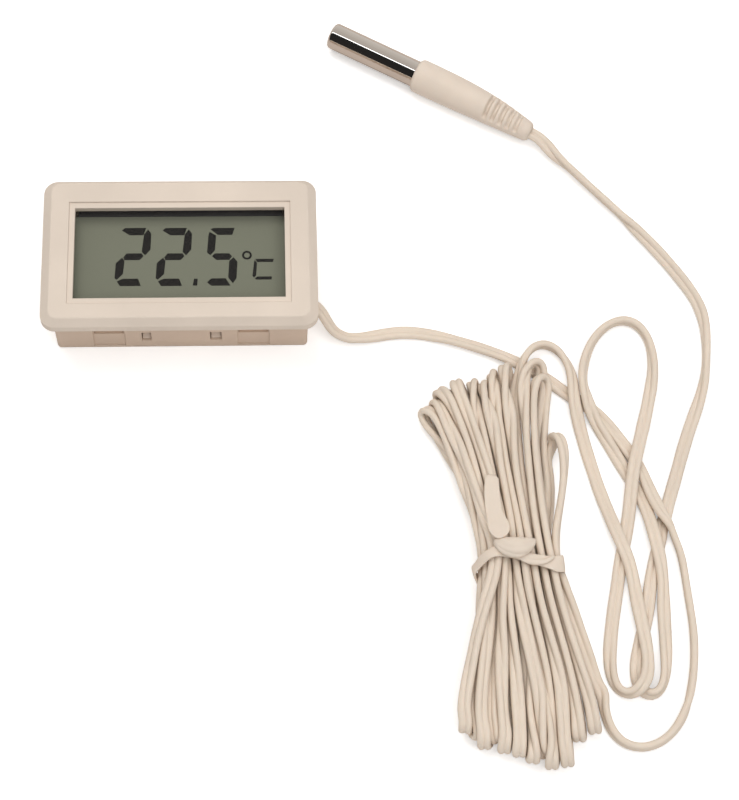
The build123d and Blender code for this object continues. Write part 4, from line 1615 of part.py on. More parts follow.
lead_loose_loops = """
59.53 -19.55 3.06 .589 -.078 .805
60.01 -17.83 2.94 .369 -.08 .926
60.71 -16.18 2.82 .249 -.023 .968
61.66 -14.68 2.58 .224 .037 .974
62.95 -13.48 2.22 .243 .05 .969
64.58 -12.93 1.79 .23 -.018 .973
66.28 -13.35 1.45 .079 -.132 .988
67.62 -14.52 1.32 -.188 -.173 .967
68.52 -16.07 1.37 -.442 -.12 .889
69.05 -17.77 1.56 -.627 -.02 .779
69.28 -19.53 1.84 -.753 .067 .655
69.3 -21.3 2.11 -.857 .069 .511
69.29 -23.1 2.18 -.943 -.038 .331
69.43 -24.87 1.94 -.977 -.155 .145
69.7 -26.59 1.49 -.982 -.189 .032
70.03 -28.3 1.08 -.982 -.188 -.011
70.37 -30.05 .85 -.981 -.191 -.018
70.72 -31.81 .75 -.979 -.203 -.012
71.1 -33.57 .71 -.977 -.215 -.005
71.49 -35.32 .69 -.975 -.222 -.002
71.89 -37.07 .68 -.974 -.226 0
72.31 -38.82 .68 -.972 -.234 .001
72.74 -40.56 .75 -.97 -.244 .001
73.18 -42.29 .91 -.968 -.25 -.001
73.62 -44.01 1.2 -.968 -.25 -.007
74.06 -45.71 1.56 -.967 -.254 -.017
74.51 -47.42 1.91 -.962 -.272 -.022
75.02 -49.12 2.13 -.953 -.304 -.005
75.6 -50.83 2.16 -.941 -.334 .058
76.19 -52.52 2.02 -.927 -.33 .178
76.69 -54.22 1.78 -.914 -.274 .3
77.04 -55.97 1.55 -.927 -.18 .328
77.26 -57.75 1.44 -.966 -.096 .241
77.41 -59.54 1.51 -.993 -.065 .1
77.54 -61.32 1.71 -.997 -.075 -.012
77.69 -63.09 1.93 -.995 -.098 -.037
77.87 -64.87 2.09 -.993 -.113 .034
78.1 -66.65 2.15 -.978 -.126 .164
78.31 -68.44 2.09 -.946 -.117 .302
78.45 -70.22 2 -.917 -.046 .397
78.42 -72.02 2.05 -.914 .11 .391
78.13 -73.76 2.34 -.907 .313 .282
77.46 -75.35 2.84 -.806 .549 .223
76.36 -76.71 2.71 -.693 .55 .465
74.84 -77.26 2 -.347 .388 .854
73.36 -76.5 1.44 -.043 .233 .972
72.5 -74.95 1.23 .37 .166 .914
72.18 -73.19 1.11 .698 .109 .708
72.17 -71.4 .96 .887 -.007 .462
72.33 -69.61 .83 .964 -.099 .248
72.58 -67.84 .74 .984 -.15 .1
72.87 -66.07 .69 .984 -.175 .021
73.2 -64.3 .69 .982 -.191 -.008
73.56 -62.54 .7 .979 -.204 -.012
73.93 -60.78 .7 .977 -.212 -.009
74.31 -59.03 .7 .978 -.21 -.011
74.68 -57.27 .7 .979 -.203 -.02
75.05 -55.51 .7 .978 -.207 -.031
75.44 -53.76 .7 .973 -.229 -.035
75.87 -52.01 .7 .968 -.251 -.029
76.33 -50.28 .69 .967 -.253 -.017
76.77 -48.54 .7 .972 -.234 .001
77.16 -46.79 .79 .977 -.209 .04
77.5 -45.04 1.01 .975 -.19 .112
77.78 -43.29 1.34 .962 -.186 .198
78.03 -41.56 1.73 .949 -.189 .252
78.3 -39.81 2.04 .949 -.192 .25
78.62 -38.05 2.21 .955 -.209 .212
79.03 -36.3 2.22 .959 -.246 .138
79.53 -34.58 2.07 .957 -.287 .033
80.06 -32.88 1.85 .95 -.309 -.04
80.6 -31.19 1.58 .951 -.306 -.033
81.13 -29.49 1.33 .957 -.289 .041
81.64 -27.78 1.12 .953 -.269 .139
82.14 -26.06 .97 .939 -.254 .231
82.63 -24.34 .9 .918 -.244 .314
83.08 -22.6 .92 .882 -.238 .407
83.5 -20.85 1 .818 -.206 .537
83.84 -19.09 1.1 .697 -.153 .701
84.06 -17.31 1.19 .52 -.081 .85
84.12 -15.52 1.27 .33 -.027 .944
84 -13.73 1.31 .177 .012 .984
83.63 -11.97 1.31 .081 .026 .996
82.93 -10.32 1.31 .032 .024 .999
81.79 -8.94 1.3 .014 .02 1
80.19 -8.16 1.3 .005 .022 1
78.41 -8.2 1.3 -.008 .034 .999
76.76 -8.89 1.3 -.034 .057 .998
75.33 -9.98 1.3 -.086 .089 .992
74.14 -11.32 1.29 -.171 .123 .978
73.17 -12.83 1.28 -.282 .147 .948
72.4 -14.46 1.28 -.391 .161 .906
71.82 -16.15 1.32 -.46 .179 .87
71.42 -17.9 1.48 -.483 .202 .852
71.22 -19.65 1.79 -.506 .188 .842
71.26 -21.42 2.11 -.608 .067 .791
71.51 -23.19 2.26 -.799 -.151 .583
71.9 -24.93 2.11 -.951 -.271 .147
72.42 -26.62 1.77 -.903 -.25 -.349
73.11 -28.24 1.4 -.724 -.205 -.659
73.9 -29.83 1.16 -.641 -.257 -.723
74.72 -31.43 1.06 -.706 -.325 -.63
75.53 -33.03 .96 -.797 -.375 -.474
76.34 -34.63 .86 -.855 -.417 -.307
77.15 -36.22 .78 -.883 -.441 -.16
77.97 -37.82 .72 -.889 -.454 -.059
78.79 -39.42 .69 -.892 -.452 -.015
79.56 -41.04 .69 -.917 -.4 -.009
80.19 -42.72 .82 -.953 -.302 -.007
80.65 -44.44 1.09 -.976 -.217 -.002
80.98 -46.16 1.45 -.986 -.166 -.008
81.24 -47.9 1.82 -.989 -.145 -.028
81.49 -49.66 2.08 -.989 -.142 -.034
81.74 -51.44 2.15 -.989 -.149 .025
82.01 -53.21 2.02 -.968 -.161 .194
82.22 -54.97 1.75 -.888 -.164 .429
82.33 -56.73 1.4 -.803 -.138 .579
82.34 -58.5 1.1 -.823 -.058 .565
82.27 -60.29 .93 -.904 .026 .426
82.17 -62.08 .85 -.959 .037 .283
82.1 -63.87 .81 -.975 .035 .218
82.04 -65.67 .82 -.973 .034 .23
81.98 -67.46 .86 -.953 .045 .301
81.89 -69.26 .93 -.905 .071 .42
81.76 -71.04 1.03 -.808 .109 .579
81.54 -72.82 1.13 -.651 .144 .745
81.15 -74.57 1.22 -.454 .187 .871
80.43 -76.21 1.3 -.277 .212 .937
79.04 -77.28 1.25 -.172 .346 .922
77.43 -76.66 1.12 .46 .497 .736
76.65 -75.07 1 .826 .194 .529
76.52 -73.28 .99 .917 -.027 .399
76.75 -71.5 .89 .944 -.166 .286
77.17 -69.76 .78 .951 -.262 .163
77.7 -68.05 .72 .949 -.309 .061
78.27 -66.34 .69 .95 -.311 .014
78.8 -64.63 .69 .96 -.281 .011
79.26 -62.89 .69 .972 -.233 .016
79.64 -61.14 .69 .982 -.19 .006
79.97 -59.37 .69 .983 -.185 -.017
80.33 -57.61 .7 .976 -.215 -.035
80.75 -55.86 .71 .965 -.257 -.043
81.25 -54.14 .71 .955 -.292 -.043
81.79 -52.42 .7 .951 -.305 -.038
82.33 -50.71 .7 .955 -.293 -.032
82.81 -48.98 .7 .976 -.218 -.028
83.22 -47.23 .69 .951 -.31 -.024
83.86 -45.55 .69 .942 -.334 -.016
84.42 -43.85 .7 .949 -.316 -.006
85 -42.15 .7 .944 -.33 .005
85.6 -40.46 .7 .942 -.336 .017
"""
lead_probe_side = """
85.7 -40.17 .7 .941 -.337 .02
86.43 -38.14 .7 .942 -.334 .035
87.14 -36.1 .71 .943 -.329 .048
87.85 -34.05 .71 .942 -.331 .057
88.58 -32.02 .73 .935 -.346 .077
89.35 -30 .76 .922 -.366 .129
90.17 -27.99 .82 .895 -.379 .234
90.99 -26 .92 .839 -.37 .4
91.8 -24 1.04 .728 -.318 .608
92.52 -21.96 1.16 .551 -.22 .805
93.12 -19.89 1.24 .339 -.107 .935
93.57 -17.77 1.28 .156 -.046 .987
93.88 -15.63 1.31 .074 -.017 .997
94.1 -13.48 1.31 .118 0 .993
94.23 -11.32 1.27 .275 .02 .961
94.23 -9.16 1.2 .486 .049 .873
94.02 -7.01 1.12 .658 .135 .741
93.52 -4.91 1.06 .736 .25 .629
92.72 -2.91 1.02 .738 .356 .573
91.69 -1 1.05 .718 .411 .562
90.55 .83 1.1 .696 .433 .573
89.35 2.62 1.18 .676 .437 .593
88.1 4.39 1.25 .648 .44 .622
86.81 6.12 1.34 .608 .439 .662
85.46 7.81 1.42 .556 .421 .717
84.08 9.47 1.49 .487 .376 .788
82.7 11.13 1.54 .27 .201 .942
81.3 12.78 1.58 -.051 -.064 .997
79.88 14.41 1.62 -.171 -.173 .97
78.42 16.01 1.66 -.167 -.182 .969
76.96 17.6 1.71 -.161 -.189 .969
75.5 19.19 1.79 -.156 -.191 .969
74.05 20.79 1.87 -.155 -.192 .969
72.59 22.39 1.96 -.156 -.197 .968
71.09 23.95 2.04 -.053 -.109 .993
69.57 25.48 2.14 .325 .222 .919
68.23 27.17 2.28 .685 .459 .566
66.89 28.86 2.43 .731 .659 .177
65.22 30.22 2.5 .489 .873 -.001
"""


def read_runs(table):
    """Lengths of lead in a table, each a list of its sections."""
    return [[tuple(map(float, line.split())) for line in run.splitlines()]
            for run in table.strip().split("\n\n")]


def run_solid(sections):
    """One closed length of lead, skinned through its flat oval sections."""
    with BuildPart() as run:
        for i, section in enumerate(sections):
            # a section faces along the line between its two neighbours
            before = Vector(*sections[max(i - 1, 0)][:3])
            after = Vector(*sections[min(i + 1, len(sections) - 1)][:3])
            with BuildSketch(Plane(origin=section[:3], x_dir=section[3:],
                                   z_dir=(after - before).normalized())):
                SlotOverall(lead_w, lead_t)
        loft()
    return run.part


for lead_name, table in (
    ("lead_case_side", lead_case_side),
    ("lead_hank_turns", lead_hank_turns),
    ("lead_loose_loops", lead_loose_loops),
    ("lead_probe_side", lead_probe_side),
):
    lead = Compound([run_solid(run) for run in read_runs(table)])
    lead.label = lead_name
    export_step(lead, "parts/" + lead_name + ".step")

# ------------------------------------------------------------ tie around the hank
tie_w, tie_t = 3.0, 0.3
waist_x, waist_y = 57.70, -54.15   # middle of the tie
# outline of the bundle of turns under the tie: x from the waist, z
waist_outline = [
    (7.205, 5.295), (7.154, 5.486), (7.055, 5.657), (5.703, 7.009),
    (5.339, 7.219), (-0.023, 8.656), (-4.384, 8.656), (-4.8, 8.545),
    (-5.814, 7.959), (-6.514, 7.258), (-7.348, 5.815), (-7.607, 4.848),
    (-7.607, 4.65), (-7.359, 3.725), (-6.788, 2.737), (-5.927, 1.875),
    (-3.9, 0.705), (-2.569, 0.348), (1.811, 0.348), (4.378, 1.036),
    (5.323, 1.582), (6.609, 2.867), (7.095, 3.709), (7.205, 4.12),
]

# flat tape pulled round the bundle
tie_plane = Plane(origin=(waist_x, waist_y + tie_w / 2, 0), x_dir=(1, 0, 0), z_dir=(0, -1, 0))
with BuildPart() as tie_band:
    with BuildSketch(tie_plane):
        with BuildLine():
            Polyline(*waist_outline, close=True)
        make_face()
        offset(amount=tie_t, kind=Kind.INTERSECTION)
        with BuildLine():
            Polyline(*waist_outline, close=True)
        make_face(mode=Mode.SUBTRACT)
    extrude(amount=tie_w)
save(tie_band, "hank_tie_band")

knot_low, knot_top = 9.02, 10.7
knot_len, knot_w, knot_fillet = 7.6, 3.6, 0.7
knot_place = Location((56.4, -52.6), -8)
# strap sections: centre, slope of the strap in Z per unit of Y, width, thickness
strap_sections = [
    ((53.35, -51.6, 9.7), -0.1, 2.6, 0.55),
    ((53.5, -46.0, 8.93), -0.13, 2.6, 0.5),
    ((53.75, -40.3, 8.25), -0.12, 2.2, 0.4),
]
with BuildPart() as tie_knot:
    with BuildSketch(Plane.XY.offset(knot_low)):
        with Locations(knot_place):
            SlotOverall(knot_len, knot_w)
    extrude(amount=knot_top - knot_low)
    fillet(tie_knot.edges().group_by(Axis.Z)[-1], knot_fillet)
    # loose end: a strap that runs up along the turns
    for centre, slope, width, thickness in strap_sections:
        with BuildSketch(Plane(origin=centre, x_dir=(1, 0, 0), z_dir=(0, 1, slope))):
            Rectangle(width, thickness)
    loft()
save(tie_knot, "hank_tie_knot")

# ------------------------------------------------------------ probe
# The probe lies on the table, at z = 0. Places along it run from the closed tip
# to the lead.
probe_angle = -29.33          # direction from the tip to the lead, in the XY plane
tip_x, tip_y = 28.05, 51.85
tube_r, tube_wall = 2.5, 0.3
tube_free = 18.1              # bare length in front of the boot
tube_in = 8.0                 # length held inside the boot
tube_len = tube_free + tube_in
neck_r = 2.3                  # the held length is drawn down to this radius
bore_r = neck_r - tube_wall
tip_r = 0.7                   # rounding of the tip
tip_inset = 1.2               # the bevel inside the tip starts here
boot_len = 24.4
# round sections at equal steps along the boot: diameter, and sag of the centre
boot_diameters = [6.4, 6.4, 6.4, 6.39, 6.29, 6.13, 5.94, 5.72, 5.41, 5.04, 4.64, 4.16, 3.6]
boot_sags = [0, 0, 0, 0, -0.01, -0.02, -0.05, -0.09, -0.15, -0.24, -0.36, -0.48, -0.6]
drop_per_sag = 1.1            # the centre drops this much in Z per unit sideways
probe_z = boot_diameters[0] / 2

cos_a, sin_a = cos(radians(probe_angle)), sin(radians(probe_angle))
probe_dir = Vector(cos_a, sin_a, 0)
across_dir = (-sin_a, cos_a, 0)


def probe_point(along, across=0.0, up=0.0):
    return (tip_x + cos_a * along - sin_a * across,
            tip_y + sin_a * along + cos_a * across,
            probe_z + up)


def probe_plane(along, across=0.0, up=0.0):
    """Plane across the probe, facing the lead."""
    return Plane(origin=probe_point(along, across, up), x_dir=across_dir, z_dir=probe_dir)


probe_axis = Axis(probe_point(0), probe_dir)
# upright plane through the axis: x along the probe, y up
side_plane = Plane(origin=probe_point(0), x_dir=probe_dir, z_dir=(sin_a, -cos_a, 0))

# metal tube with a closed, rounded tip and a drawn-down neck for the boot
with BuildPart() as probe_tube:
    with BuildSketch(side_plane):
        with BuildLine():
            tip_face = Line((0, 0), (0, tube_r - tip_r))
            RadiusArc(tip_face @ 1, (tip_r, tube_r), tip_r)
            Polyline((tip_r, tube_r), (tube_free, tube_r), (tube_free, neck_r),
                     (tube_len, neck_r), (tube_len, bore_r), (tube_free - 0.2, bore_r),
                     (tube_free - 0.4, tube_r - tube_wall), (tip_inset, tube_r - tube_wall),
                     (tube_wall, tube_r - tip_inset), (tube_wall, 0), (0, 0))
        make_face()
    revolve(axis=probe_axis)
save(probe_tube, "probe_tube")

# straight path of the lead from inside the tube to past the end of the boot
tail_start = tube_len - 1.5
tail_past = 2                 # past the end of the boot
tail_gap = 0.1                # total play around the lead
tail_dir = (Vector(*probe_point(tube_free + boot_len + tail_past, boot_sags[-1],
                                boot_sags[-1] * drop_per_sag))
            - Vector(*probe_point(tail_start)))
tail_plane = Plane(origin=probe_point(tail_start), x_dir=across_dir, z_dir=tail_dir)

front_fillet, rear_fillet = 0.45, 0.42
slot_count, slot_first, slot_pitch = 5, 15.45, 1.56
slot_len, slot_depth = 0.7, 0.45

# moulded boot: round sections that taper and sag towards the lead
with BuildPart() as probe_boot:
    for i, (diameter, sag) in enumerate(zip(boot_diameters, boot_sags)):
        step = boot_len * i / (len(boot_diameters) - 1)
        with BuildSketch(probe_plane(tube_free + step, sag, sag * drop_per_sag)):
            Circle(diameter / 2)
    loft()
    # the edges are sorted again, since the first fillet adds new ones
    fillet(probe_boot.edges().sort_by(lambda e: e.center().dot(probe_dir))[0], front_fillet)
    fillet(probe_boot.edges().sort_by(lambda e: e.center().dot(probe_dir))[-1], rear_fillet)
    # bending slots across the upper side, following the taper and sag
    for k in range(slot_count):
        slot_centre = tube_free + slot_first + slot_pitch * k
        radius = 2.765 - 0.15 * k
        sag = -0.13 - 0.078 * k
        with BuildSketch(probe_plane(slot_centre - slot_len / 2, sag, sag)):
            Circle(radius + 1)
            Circle(radius - slot_depth, mode=Mode.SUBTRACT)
            # keeps the lower side whole
            with Locations((0, -2.6)):
                Rectangle(9, 6, mode=Mode.SUBTRACT)
        extrude(amount=slot_len, mode=Mode.SUBTRACT)
    # seat of the tube
    with BuildSketch(probe_plane(tube_free - 1)):
        Circle(neck_r)
    extrude(amount=tube_in + 1, mode=Mode.SUBTRACT)
    # passage of the lead
    with BuildSketch(tail_plane):
        SlotOverall(lead_w + tail_gap, lead_t + tail_gap)
    extrude(amount=tail_dir.length, mode=Mode.SUBTRACT)
save(probe_boot, "probe_boot")

# end of the lead held inside the boot
with BuildPart() as lead_tail:
    with BuildSketch(tail_plane):
        SlotOverall(lead_w, lead_t)
    extrude(amount=tail_dir.length - 1.98)
save(lead_tail, "probe_lead_tail")

# thermistor near the tip, turned from a profile of (along, radius)
bead_end = 4.7
bead_profile = [(1.2, 0), (1.2, 0.7), (1.7, 1.15), (3.6, 1.15), (bead_end, 0.7), (bead_end, 0)]
with BuildPart() as bead:
    with BuildSketch(side_plane):
        with BuildLine():
            Polyline(*bead_profile, close=True)
        make_face()
    revolve(axis=probe_axis)
save(bead, "thermistor_bead")

leg_r = 0.2
leg_sides = (-0.45, 0.45)
leg_end = tube_len - 3.4
with BuildPart() as legs:
    for side in leg_sides:
        with BuildSketch(probe_plane(bead_end, side)):
            Circle(leg_r)
        extrude(amount=leg_end - bead_end)
save(legs, "thermistor_legs")

# sealing plug in the neck, with holes for the legs and for the lead
plug_rear, plug_len = tube_len - 1.4, 1.9
with BuildPart() as plug:
    with BuildSketch(probe_plane(plug_rear)):
        Circle(bore_r)
    extrude(amount=-plug_len)
    for side in leg_sides:
        with BuildSketch(probe_plane(tube_len - 4, side)):
            Circle(leg_r)
        extrude(amount=4, mode=Mode.SUBTRACT)
    with BuildSketch(tail_plane):
        SlotOverall(lead_w + tail_gap, lead_t + tail_gap)
    extrude(amount=tail_dir.length - tail_past, mode=Mode.SUBTRACT)
save(plug, "probe_seal_plug")
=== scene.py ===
"""A small LCD thermometer with a metal probe on a tied twin lead, lying flat on a table.

The table is z = 0. The lead leaves the case near x = 22 mm towards +X, is coiled into a hank
whose turns run along Y, and ends in the boot of the probe, whose tip is at PROBE_TIP.
Pieces are drawn in mm and stored in metres; materials, lights and camera are in metres.
"""
from math import sin, cos, radians, pi
import bpy
import numpy as np
from mathutils import Matrix, Vector


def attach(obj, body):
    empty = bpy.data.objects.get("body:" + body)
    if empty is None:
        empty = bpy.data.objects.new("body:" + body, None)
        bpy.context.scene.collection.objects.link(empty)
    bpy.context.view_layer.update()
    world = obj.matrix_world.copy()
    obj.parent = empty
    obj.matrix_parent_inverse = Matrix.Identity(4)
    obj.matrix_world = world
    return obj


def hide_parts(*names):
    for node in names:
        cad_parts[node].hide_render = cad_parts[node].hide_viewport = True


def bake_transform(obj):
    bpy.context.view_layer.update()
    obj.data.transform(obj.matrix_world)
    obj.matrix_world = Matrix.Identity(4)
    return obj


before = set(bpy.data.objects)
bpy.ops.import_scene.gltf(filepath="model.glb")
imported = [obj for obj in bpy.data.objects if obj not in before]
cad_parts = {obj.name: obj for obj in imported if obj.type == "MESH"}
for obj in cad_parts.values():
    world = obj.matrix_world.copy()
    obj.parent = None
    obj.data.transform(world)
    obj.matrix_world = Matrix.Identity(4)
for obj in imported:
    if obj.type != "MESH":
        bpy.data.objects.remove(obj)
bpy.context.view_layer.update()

MM = 0.001
UP = np.array([0.0, 0.0, 1.0])

# The probe: the bare tube runs from the tip along PROBE_AXIS, then the boot covers it.
PROBE_ANGLE = radians(-29.33)
PROBE_AXIS = np.array([cos(PROBE_ANGLE), sin(PROBE_ANGLE), 0.0])
PROBE_ACROSS = np.array([-sin(PROBE_ANGLE), cos(PROBE_ANGLE), 0.0])
PROBE_TIP = np.array([28.05, 51.85, 3.2])
BARE_LENGTH, BOOT_LENGTH = 18.1, 24.4


# ------------------------------------------------------------ mesh helpers
def unit(vectors):
    vectors = np.asarray(vectors, float)
    return vectors / np.maximum(np.linalg.norm(vectors, axis=-1, keepdims=True), 1e-12)


def new_mesh(name, points, faces, mat, attributes=None):
    """A smooth object from points in mm, with float attributes on its points."""
    mesh = bpy.data.meshes.new(name)
    mesh.from_pydata((np.asarray(points, float) * MM).tolist(), [], faces)
    mesh.validate()
    mesh.polygons.foreach_set("use_smooth", [True] * len(mesh.polygons))
    for key, values in (attributes or {}).items():
        layer = mesh.attributes.new(key, "FLOAT", "POINT")
        layer.data.foreach_set("value", np.asarray(values, np.float32))
    mesh.materials.append(mat)
    mesh.update()
    piece = bpy.data.objects.new(name, mesh)
    bpy.context.scene.collection.objects.link(piece)
    return piece


def tube_faces(rings, sides, closed=False, caps=True):
    """Quads between consecutive rings, and the two end caps."""
    faces = []
    for i in range(rings if closed else rings - 1):
        near, far = i * sides, ((i + 1) % rings) * sides
        for j in range(sides):
            k = (j + 1) % sides
            faces.append((near + j, near + k, far + k, far + j))
    if caps and not closed:
        faces.append(tuple(range(sides - 1, -1, -1)))
        faces.append(tuple((rings - 1) * sides + j for j in range(sides)))
    return faces


def spline(rows, step, closed=False):
    """Catmull-Rom through rows that start with x, y, z; also the index where each row lands."""
    rows = np.asarray(rows, float)
    if closed:
        rows = np.vstack([rows[-1], rows, rows[0], rows[1]])
    else:
        rows = np.vstack([2 * rows[0] - rows[1], rows, 2 * rows[-1] - rows[-2]])
    out, starts, count = [], [], 0
    for i in range(1, len(rows) - 2):
        a, b, c, d = rows[i - 1:i + 3]
        n = max(1, int(round(np.linalg.norm((c - b)[:3]) / step)))
        t = (np.arange(n) / n)[:, None]
        starts.append(count)
        count += n
        out.append(0.5 * (2 * b + (c - a) * t + (2 * a - 5 * b + 4 * c - d) * t**2
                          + (3 * b - a - 3 * c + d) * t**3))
    if not closed:
        out.append(rows[-2][None, :])
        starts.append(count)
    return np.vstack(out), starts


def tangents(centre, closed=False):
    if closed:
        return unit(np.roll(centre, -1, 0) - np.roll(centre, 1, 0))
    return unit(np.gradient(centre, axis=0))


def square_to(vectors, along):
    """Unit vectors with their part along the tangents taken out."""
    return unit(vectors - along * np.sum(vectors * along, 1)[:, None])


def run_length(centre):
    return np.r_[0, np.cumsum(np.linalg.norm(np.diff(centre, axis=0), axis=1))]


def signed_power(values, power):
    return np.sign(values) * np.abs(values) ** power


# ------------------------------------------------------------ shader helpers
class Net:
    """A node tree with short ways to add nodes."""

    def __init__(self, tree):
        self.tree = tree

    def feed(self, socket, value):
        """Links an output to the socket, or sets a plain value (colours get alpha 1)."""
        if isinstance(value, bpy.types.NodeSocket):
            self.tree.links.new(value, socket)
        else:
            socket.default_value = (*value, 1) if socket.type == "RGBA" else value

    def setup(self, node, **values):
        """Capitalised names are inputs, with _ for a space; the others are properties."""
        for key, value in values.items():
            if key[0].isupper():
                self.feed(node.inputs[key.replace("_", " ")], value)
            else:
                setattr(node, key, value)
        return node

    def node(self, kind, **values):
        return self.setup(self.tree.nodes.new("ShaderNode" + kind), **values)

    def indexed(self, node, inputs):
        """Feeds inputs by index, for nodes whose input names repeat."""
        for index, value in inputs.items():
            self.feed(node.inputs[index], value)
        return node

    def coords(self):
        return self.node("TexCoord").outputs["Object"]

    def noise(self, place, scale, detail=3.0, rough=0.55):
        return self.node("TexNoise", Vector=place, Scale=scale, Detail=detail,
                         Roughness=rough).outputs["Fac"]

    def remap(self, value, span, to=(0.0, 1.0)):
        return self.node("MapRange", Value=value, From_Min=span[0], From_Max=span[1],
                         To_Min=to[0], To_Max=to[1]).outputs["Result"]

    def mix(self, factor, first, second, blend="MIX"):
        node = self.node("Mix", data_type="RGBA", blend_type=blend)
        return self.indexed(node, {0: factor, 6: first, 7: second}).outputs[2]

    def math(self, operation, first, second):
        node = self.node("Math", operation=operation)
        return self.indexed(node, {0: first, 1: second}).outputs[0]

    def dot(self, first, second):
        node = self.node("VectorMath", operation="DOT_PRODUCT")
        return self.indexed(node, {0: first, 1: second}).outputs["Value"]

    def mix_shaders(self, factor, first, second):
        return self.indexed(self.node("MixShader"), {0: factor, 1: first, 2: second}).outputs[0]

    def bump(self, height, distance, strength=0.5, **more):
        return self.node("Bump", Height=height, Distance=distance, Strength=strength,
                         **more).outputs["Normal"]


def scaled(colour, factor):
    return tuple(min(1, x * factor) for x in colour)


def material(name, base, rough, specular=0.5, metallic=0.0):
    mat = bpy.data.materials.new(name)
    mat.use_nodes = True
    net = Net(mat.node_tree)
    shader = net.setup(mat.node_tree.nodes["Principled BSDF"], Base_Color=base, Roughness=rough,
                       Metallic=metallic, Specular_IOR_Level=specular)
    return mat, net, shader


# ------------------------------------------------------------ kinds of material
def moulded(name, base, rough, shade_below=None):
    """Moulded ABS: fine grain, slow colour drift, rubbed edges. An optional (height, tint) pair paints
    shade: the tint is multiplied in below that height.
    """
    mat, net, shader = material(name, base, rough, specular=0.42)
    place = net.coords()
    drift = net.noise(place, scale=55.0, detail=2.0)
    blotch = net.noise(place, scale=900.0, detail=4.0)
    grain = net.noise(place, scale=5200.0, detail=2.0, rough=0.7)
    colour = net.mix(net.remap(drift, span=(0.3, 0.7)), scaled(base, 0.93), scaled(base, 1.03))
    colour = net.mix(net.remap(blotch, span=(0.35, 0.75), to=(0.0, 0.10)),
                     colour, scaled(base, 0.86))
    # edges show where the rounded normal leaves the true one
    rounded = net.node("Bevel", samples=4, Radius=0.00022).outputs["Normal"]
    agreement = net.dot(rounded, net.node("NewGeometry").outputs["Normal"])
    worn = net.remap(agreement, span=(0.985, 0.86), to=(0.0, 0.55))
    colour = net.mix(worn, colour, scaled(base, 1.10))
    # painted shade: below the height the colour is multiplied by the tint, darker and browner, for the
    # shadow under the flange
    if shade_below:
        height, tint = shade_below
        z = net.node("SeparateXYZ", Vector=place).outputs[2]
        below = net.remap(z, span=(height - 0.0003, height), to=(1.0, 0.0))
        colour = net.mix(below, colour, tint, blend="MULTIPLY")
    dull = net.remap(blotch, span=(0.3, 0.7), to=(rough - 0.06, rough + 0.08))
    net.setup(shader, Base_Color=colour,
              Roughness=net.math("SUBTRACT", dull, net.math("MULTIPLY", worn, 0.14)),
              Normal=net.bump(grain, distance=0.000018, strength=0.55, Normal=rounded))
    return mat


def pvc(name, base, rough, lines=True, depth=0.00003, crease=(0.52, 0.39, 0.28)):
    """Soft PVC: satin skin, draw lines along the length, faint blotches, and painted shade in creases."""
    mat, net, shader = material(name, base, rough, specular=0.45)
    place = net.coords()
    drift = net.noise(place, scale=70.0)
    blotch = net.noise(place, scale=700.0, detail=4.0)
    colour = net.mix(net.remap(drift, span=(0.3, 0.7)), scaled(base, 0.94), scaled(base, 1.035))
    colour = net.mix(net.remap(blotch, span=(0.4, 0.8), to=(0.0, 0.14)),
                     colour, scaled(base, 0.84))
    # painted shade: where ambient occlusion finds crevices, between strands and in slots, the colour goes
    # towards the crease colour
    occlusion_for_painted_shade = net.node("AmbientOcclusion", samples=6, Distance=0.0016).outputs["AO"]
    colour = net.mix(net.remap(occlusion_for_painted_shade, span=(0.62, 0.10), to=(0.0, 0.66)), colour, crease)
    if lines:
        along, across, side = (net.node("Attribute", attribute_name=key).outputs["Fac"]
                               for key in ("along", "across", "side"))
        # squeezed along the length, so the noise draws out into lines
        drawn = net.node("CombineXYZ", X=net.math("MULTIPLY", along, 0.045), Y=across, Z=side)
        relief = net.noise(drawn.outputs[0], scale=5.5, rough=0.6)
        colour = net.mix(net.remap(relief, span=(0.35, 0.7), to=(0.0, 0.16)),
                         colour, scaled(base, 0.88))
    else:
        relief = net.noise(place, scale=2600.0, rough=0.6)
    net.setup(shader, Base_Color=colour,
              Roughness=net.remap(blotch, span=(0.3, 0.7), to=(rough - 0.07, rough + 0.09)),
              Normal=net.bump(relief, depth), Subsurface_Weight=0.12,
              Subsurface_Radius=(1.0, 0.75, 0.55), Subsurface_Scale=0.0006)
    return mat


def clear(name, tint, gloss, rough, scratch=0.0):
    """Thin clear sheet: straight-through view, a reflection on its front, hairline marks."""
    mat = bpy.data.materials.new(name)
    mat.use_nodes = True
    mat.node_tree.nodes.clear()
    net = Net(mat.node_tree)
    place = net.coords()
    if scratch:
        hairs = net.node("Mapping", Vector=place, Rotation=(0, 0, 0.6), Scale=(60, 2400, 60))
        uneven = net.remap(net.noise(hairs.outputs[0], scale=1.0, detail=2.0),
                           span=(0.62, 0.75), to=(rough, rough + scratch))
    else:
        uneven = net.remap(net.noise(place, scale=400.0, detail=2.0),
                           span=(0.3, 0.7), to=(rough * 0.7, rough * 1.4))
    through = net.node("BsdfTransparent", Color=tint)
    mirror = net.node("BsdfGlossy", Color=(1, 1, 1), Roughness=uneven)
    glance = net.math("MULTIPLY", net.node("Fresnel", IOR=1.45).outputs[0], gloss * 14)
    front = net.math("SUBTRACT", 1.0, net.node("NewGeometry").outputs["Backfacing"])
    surface = net.mix_shaders(net.math("MULTIPLY", glance, front),
                              through.outputs[0], mirror.outputs[0])
    net.node("OutputMaterial", Surface=surface)
    return mat


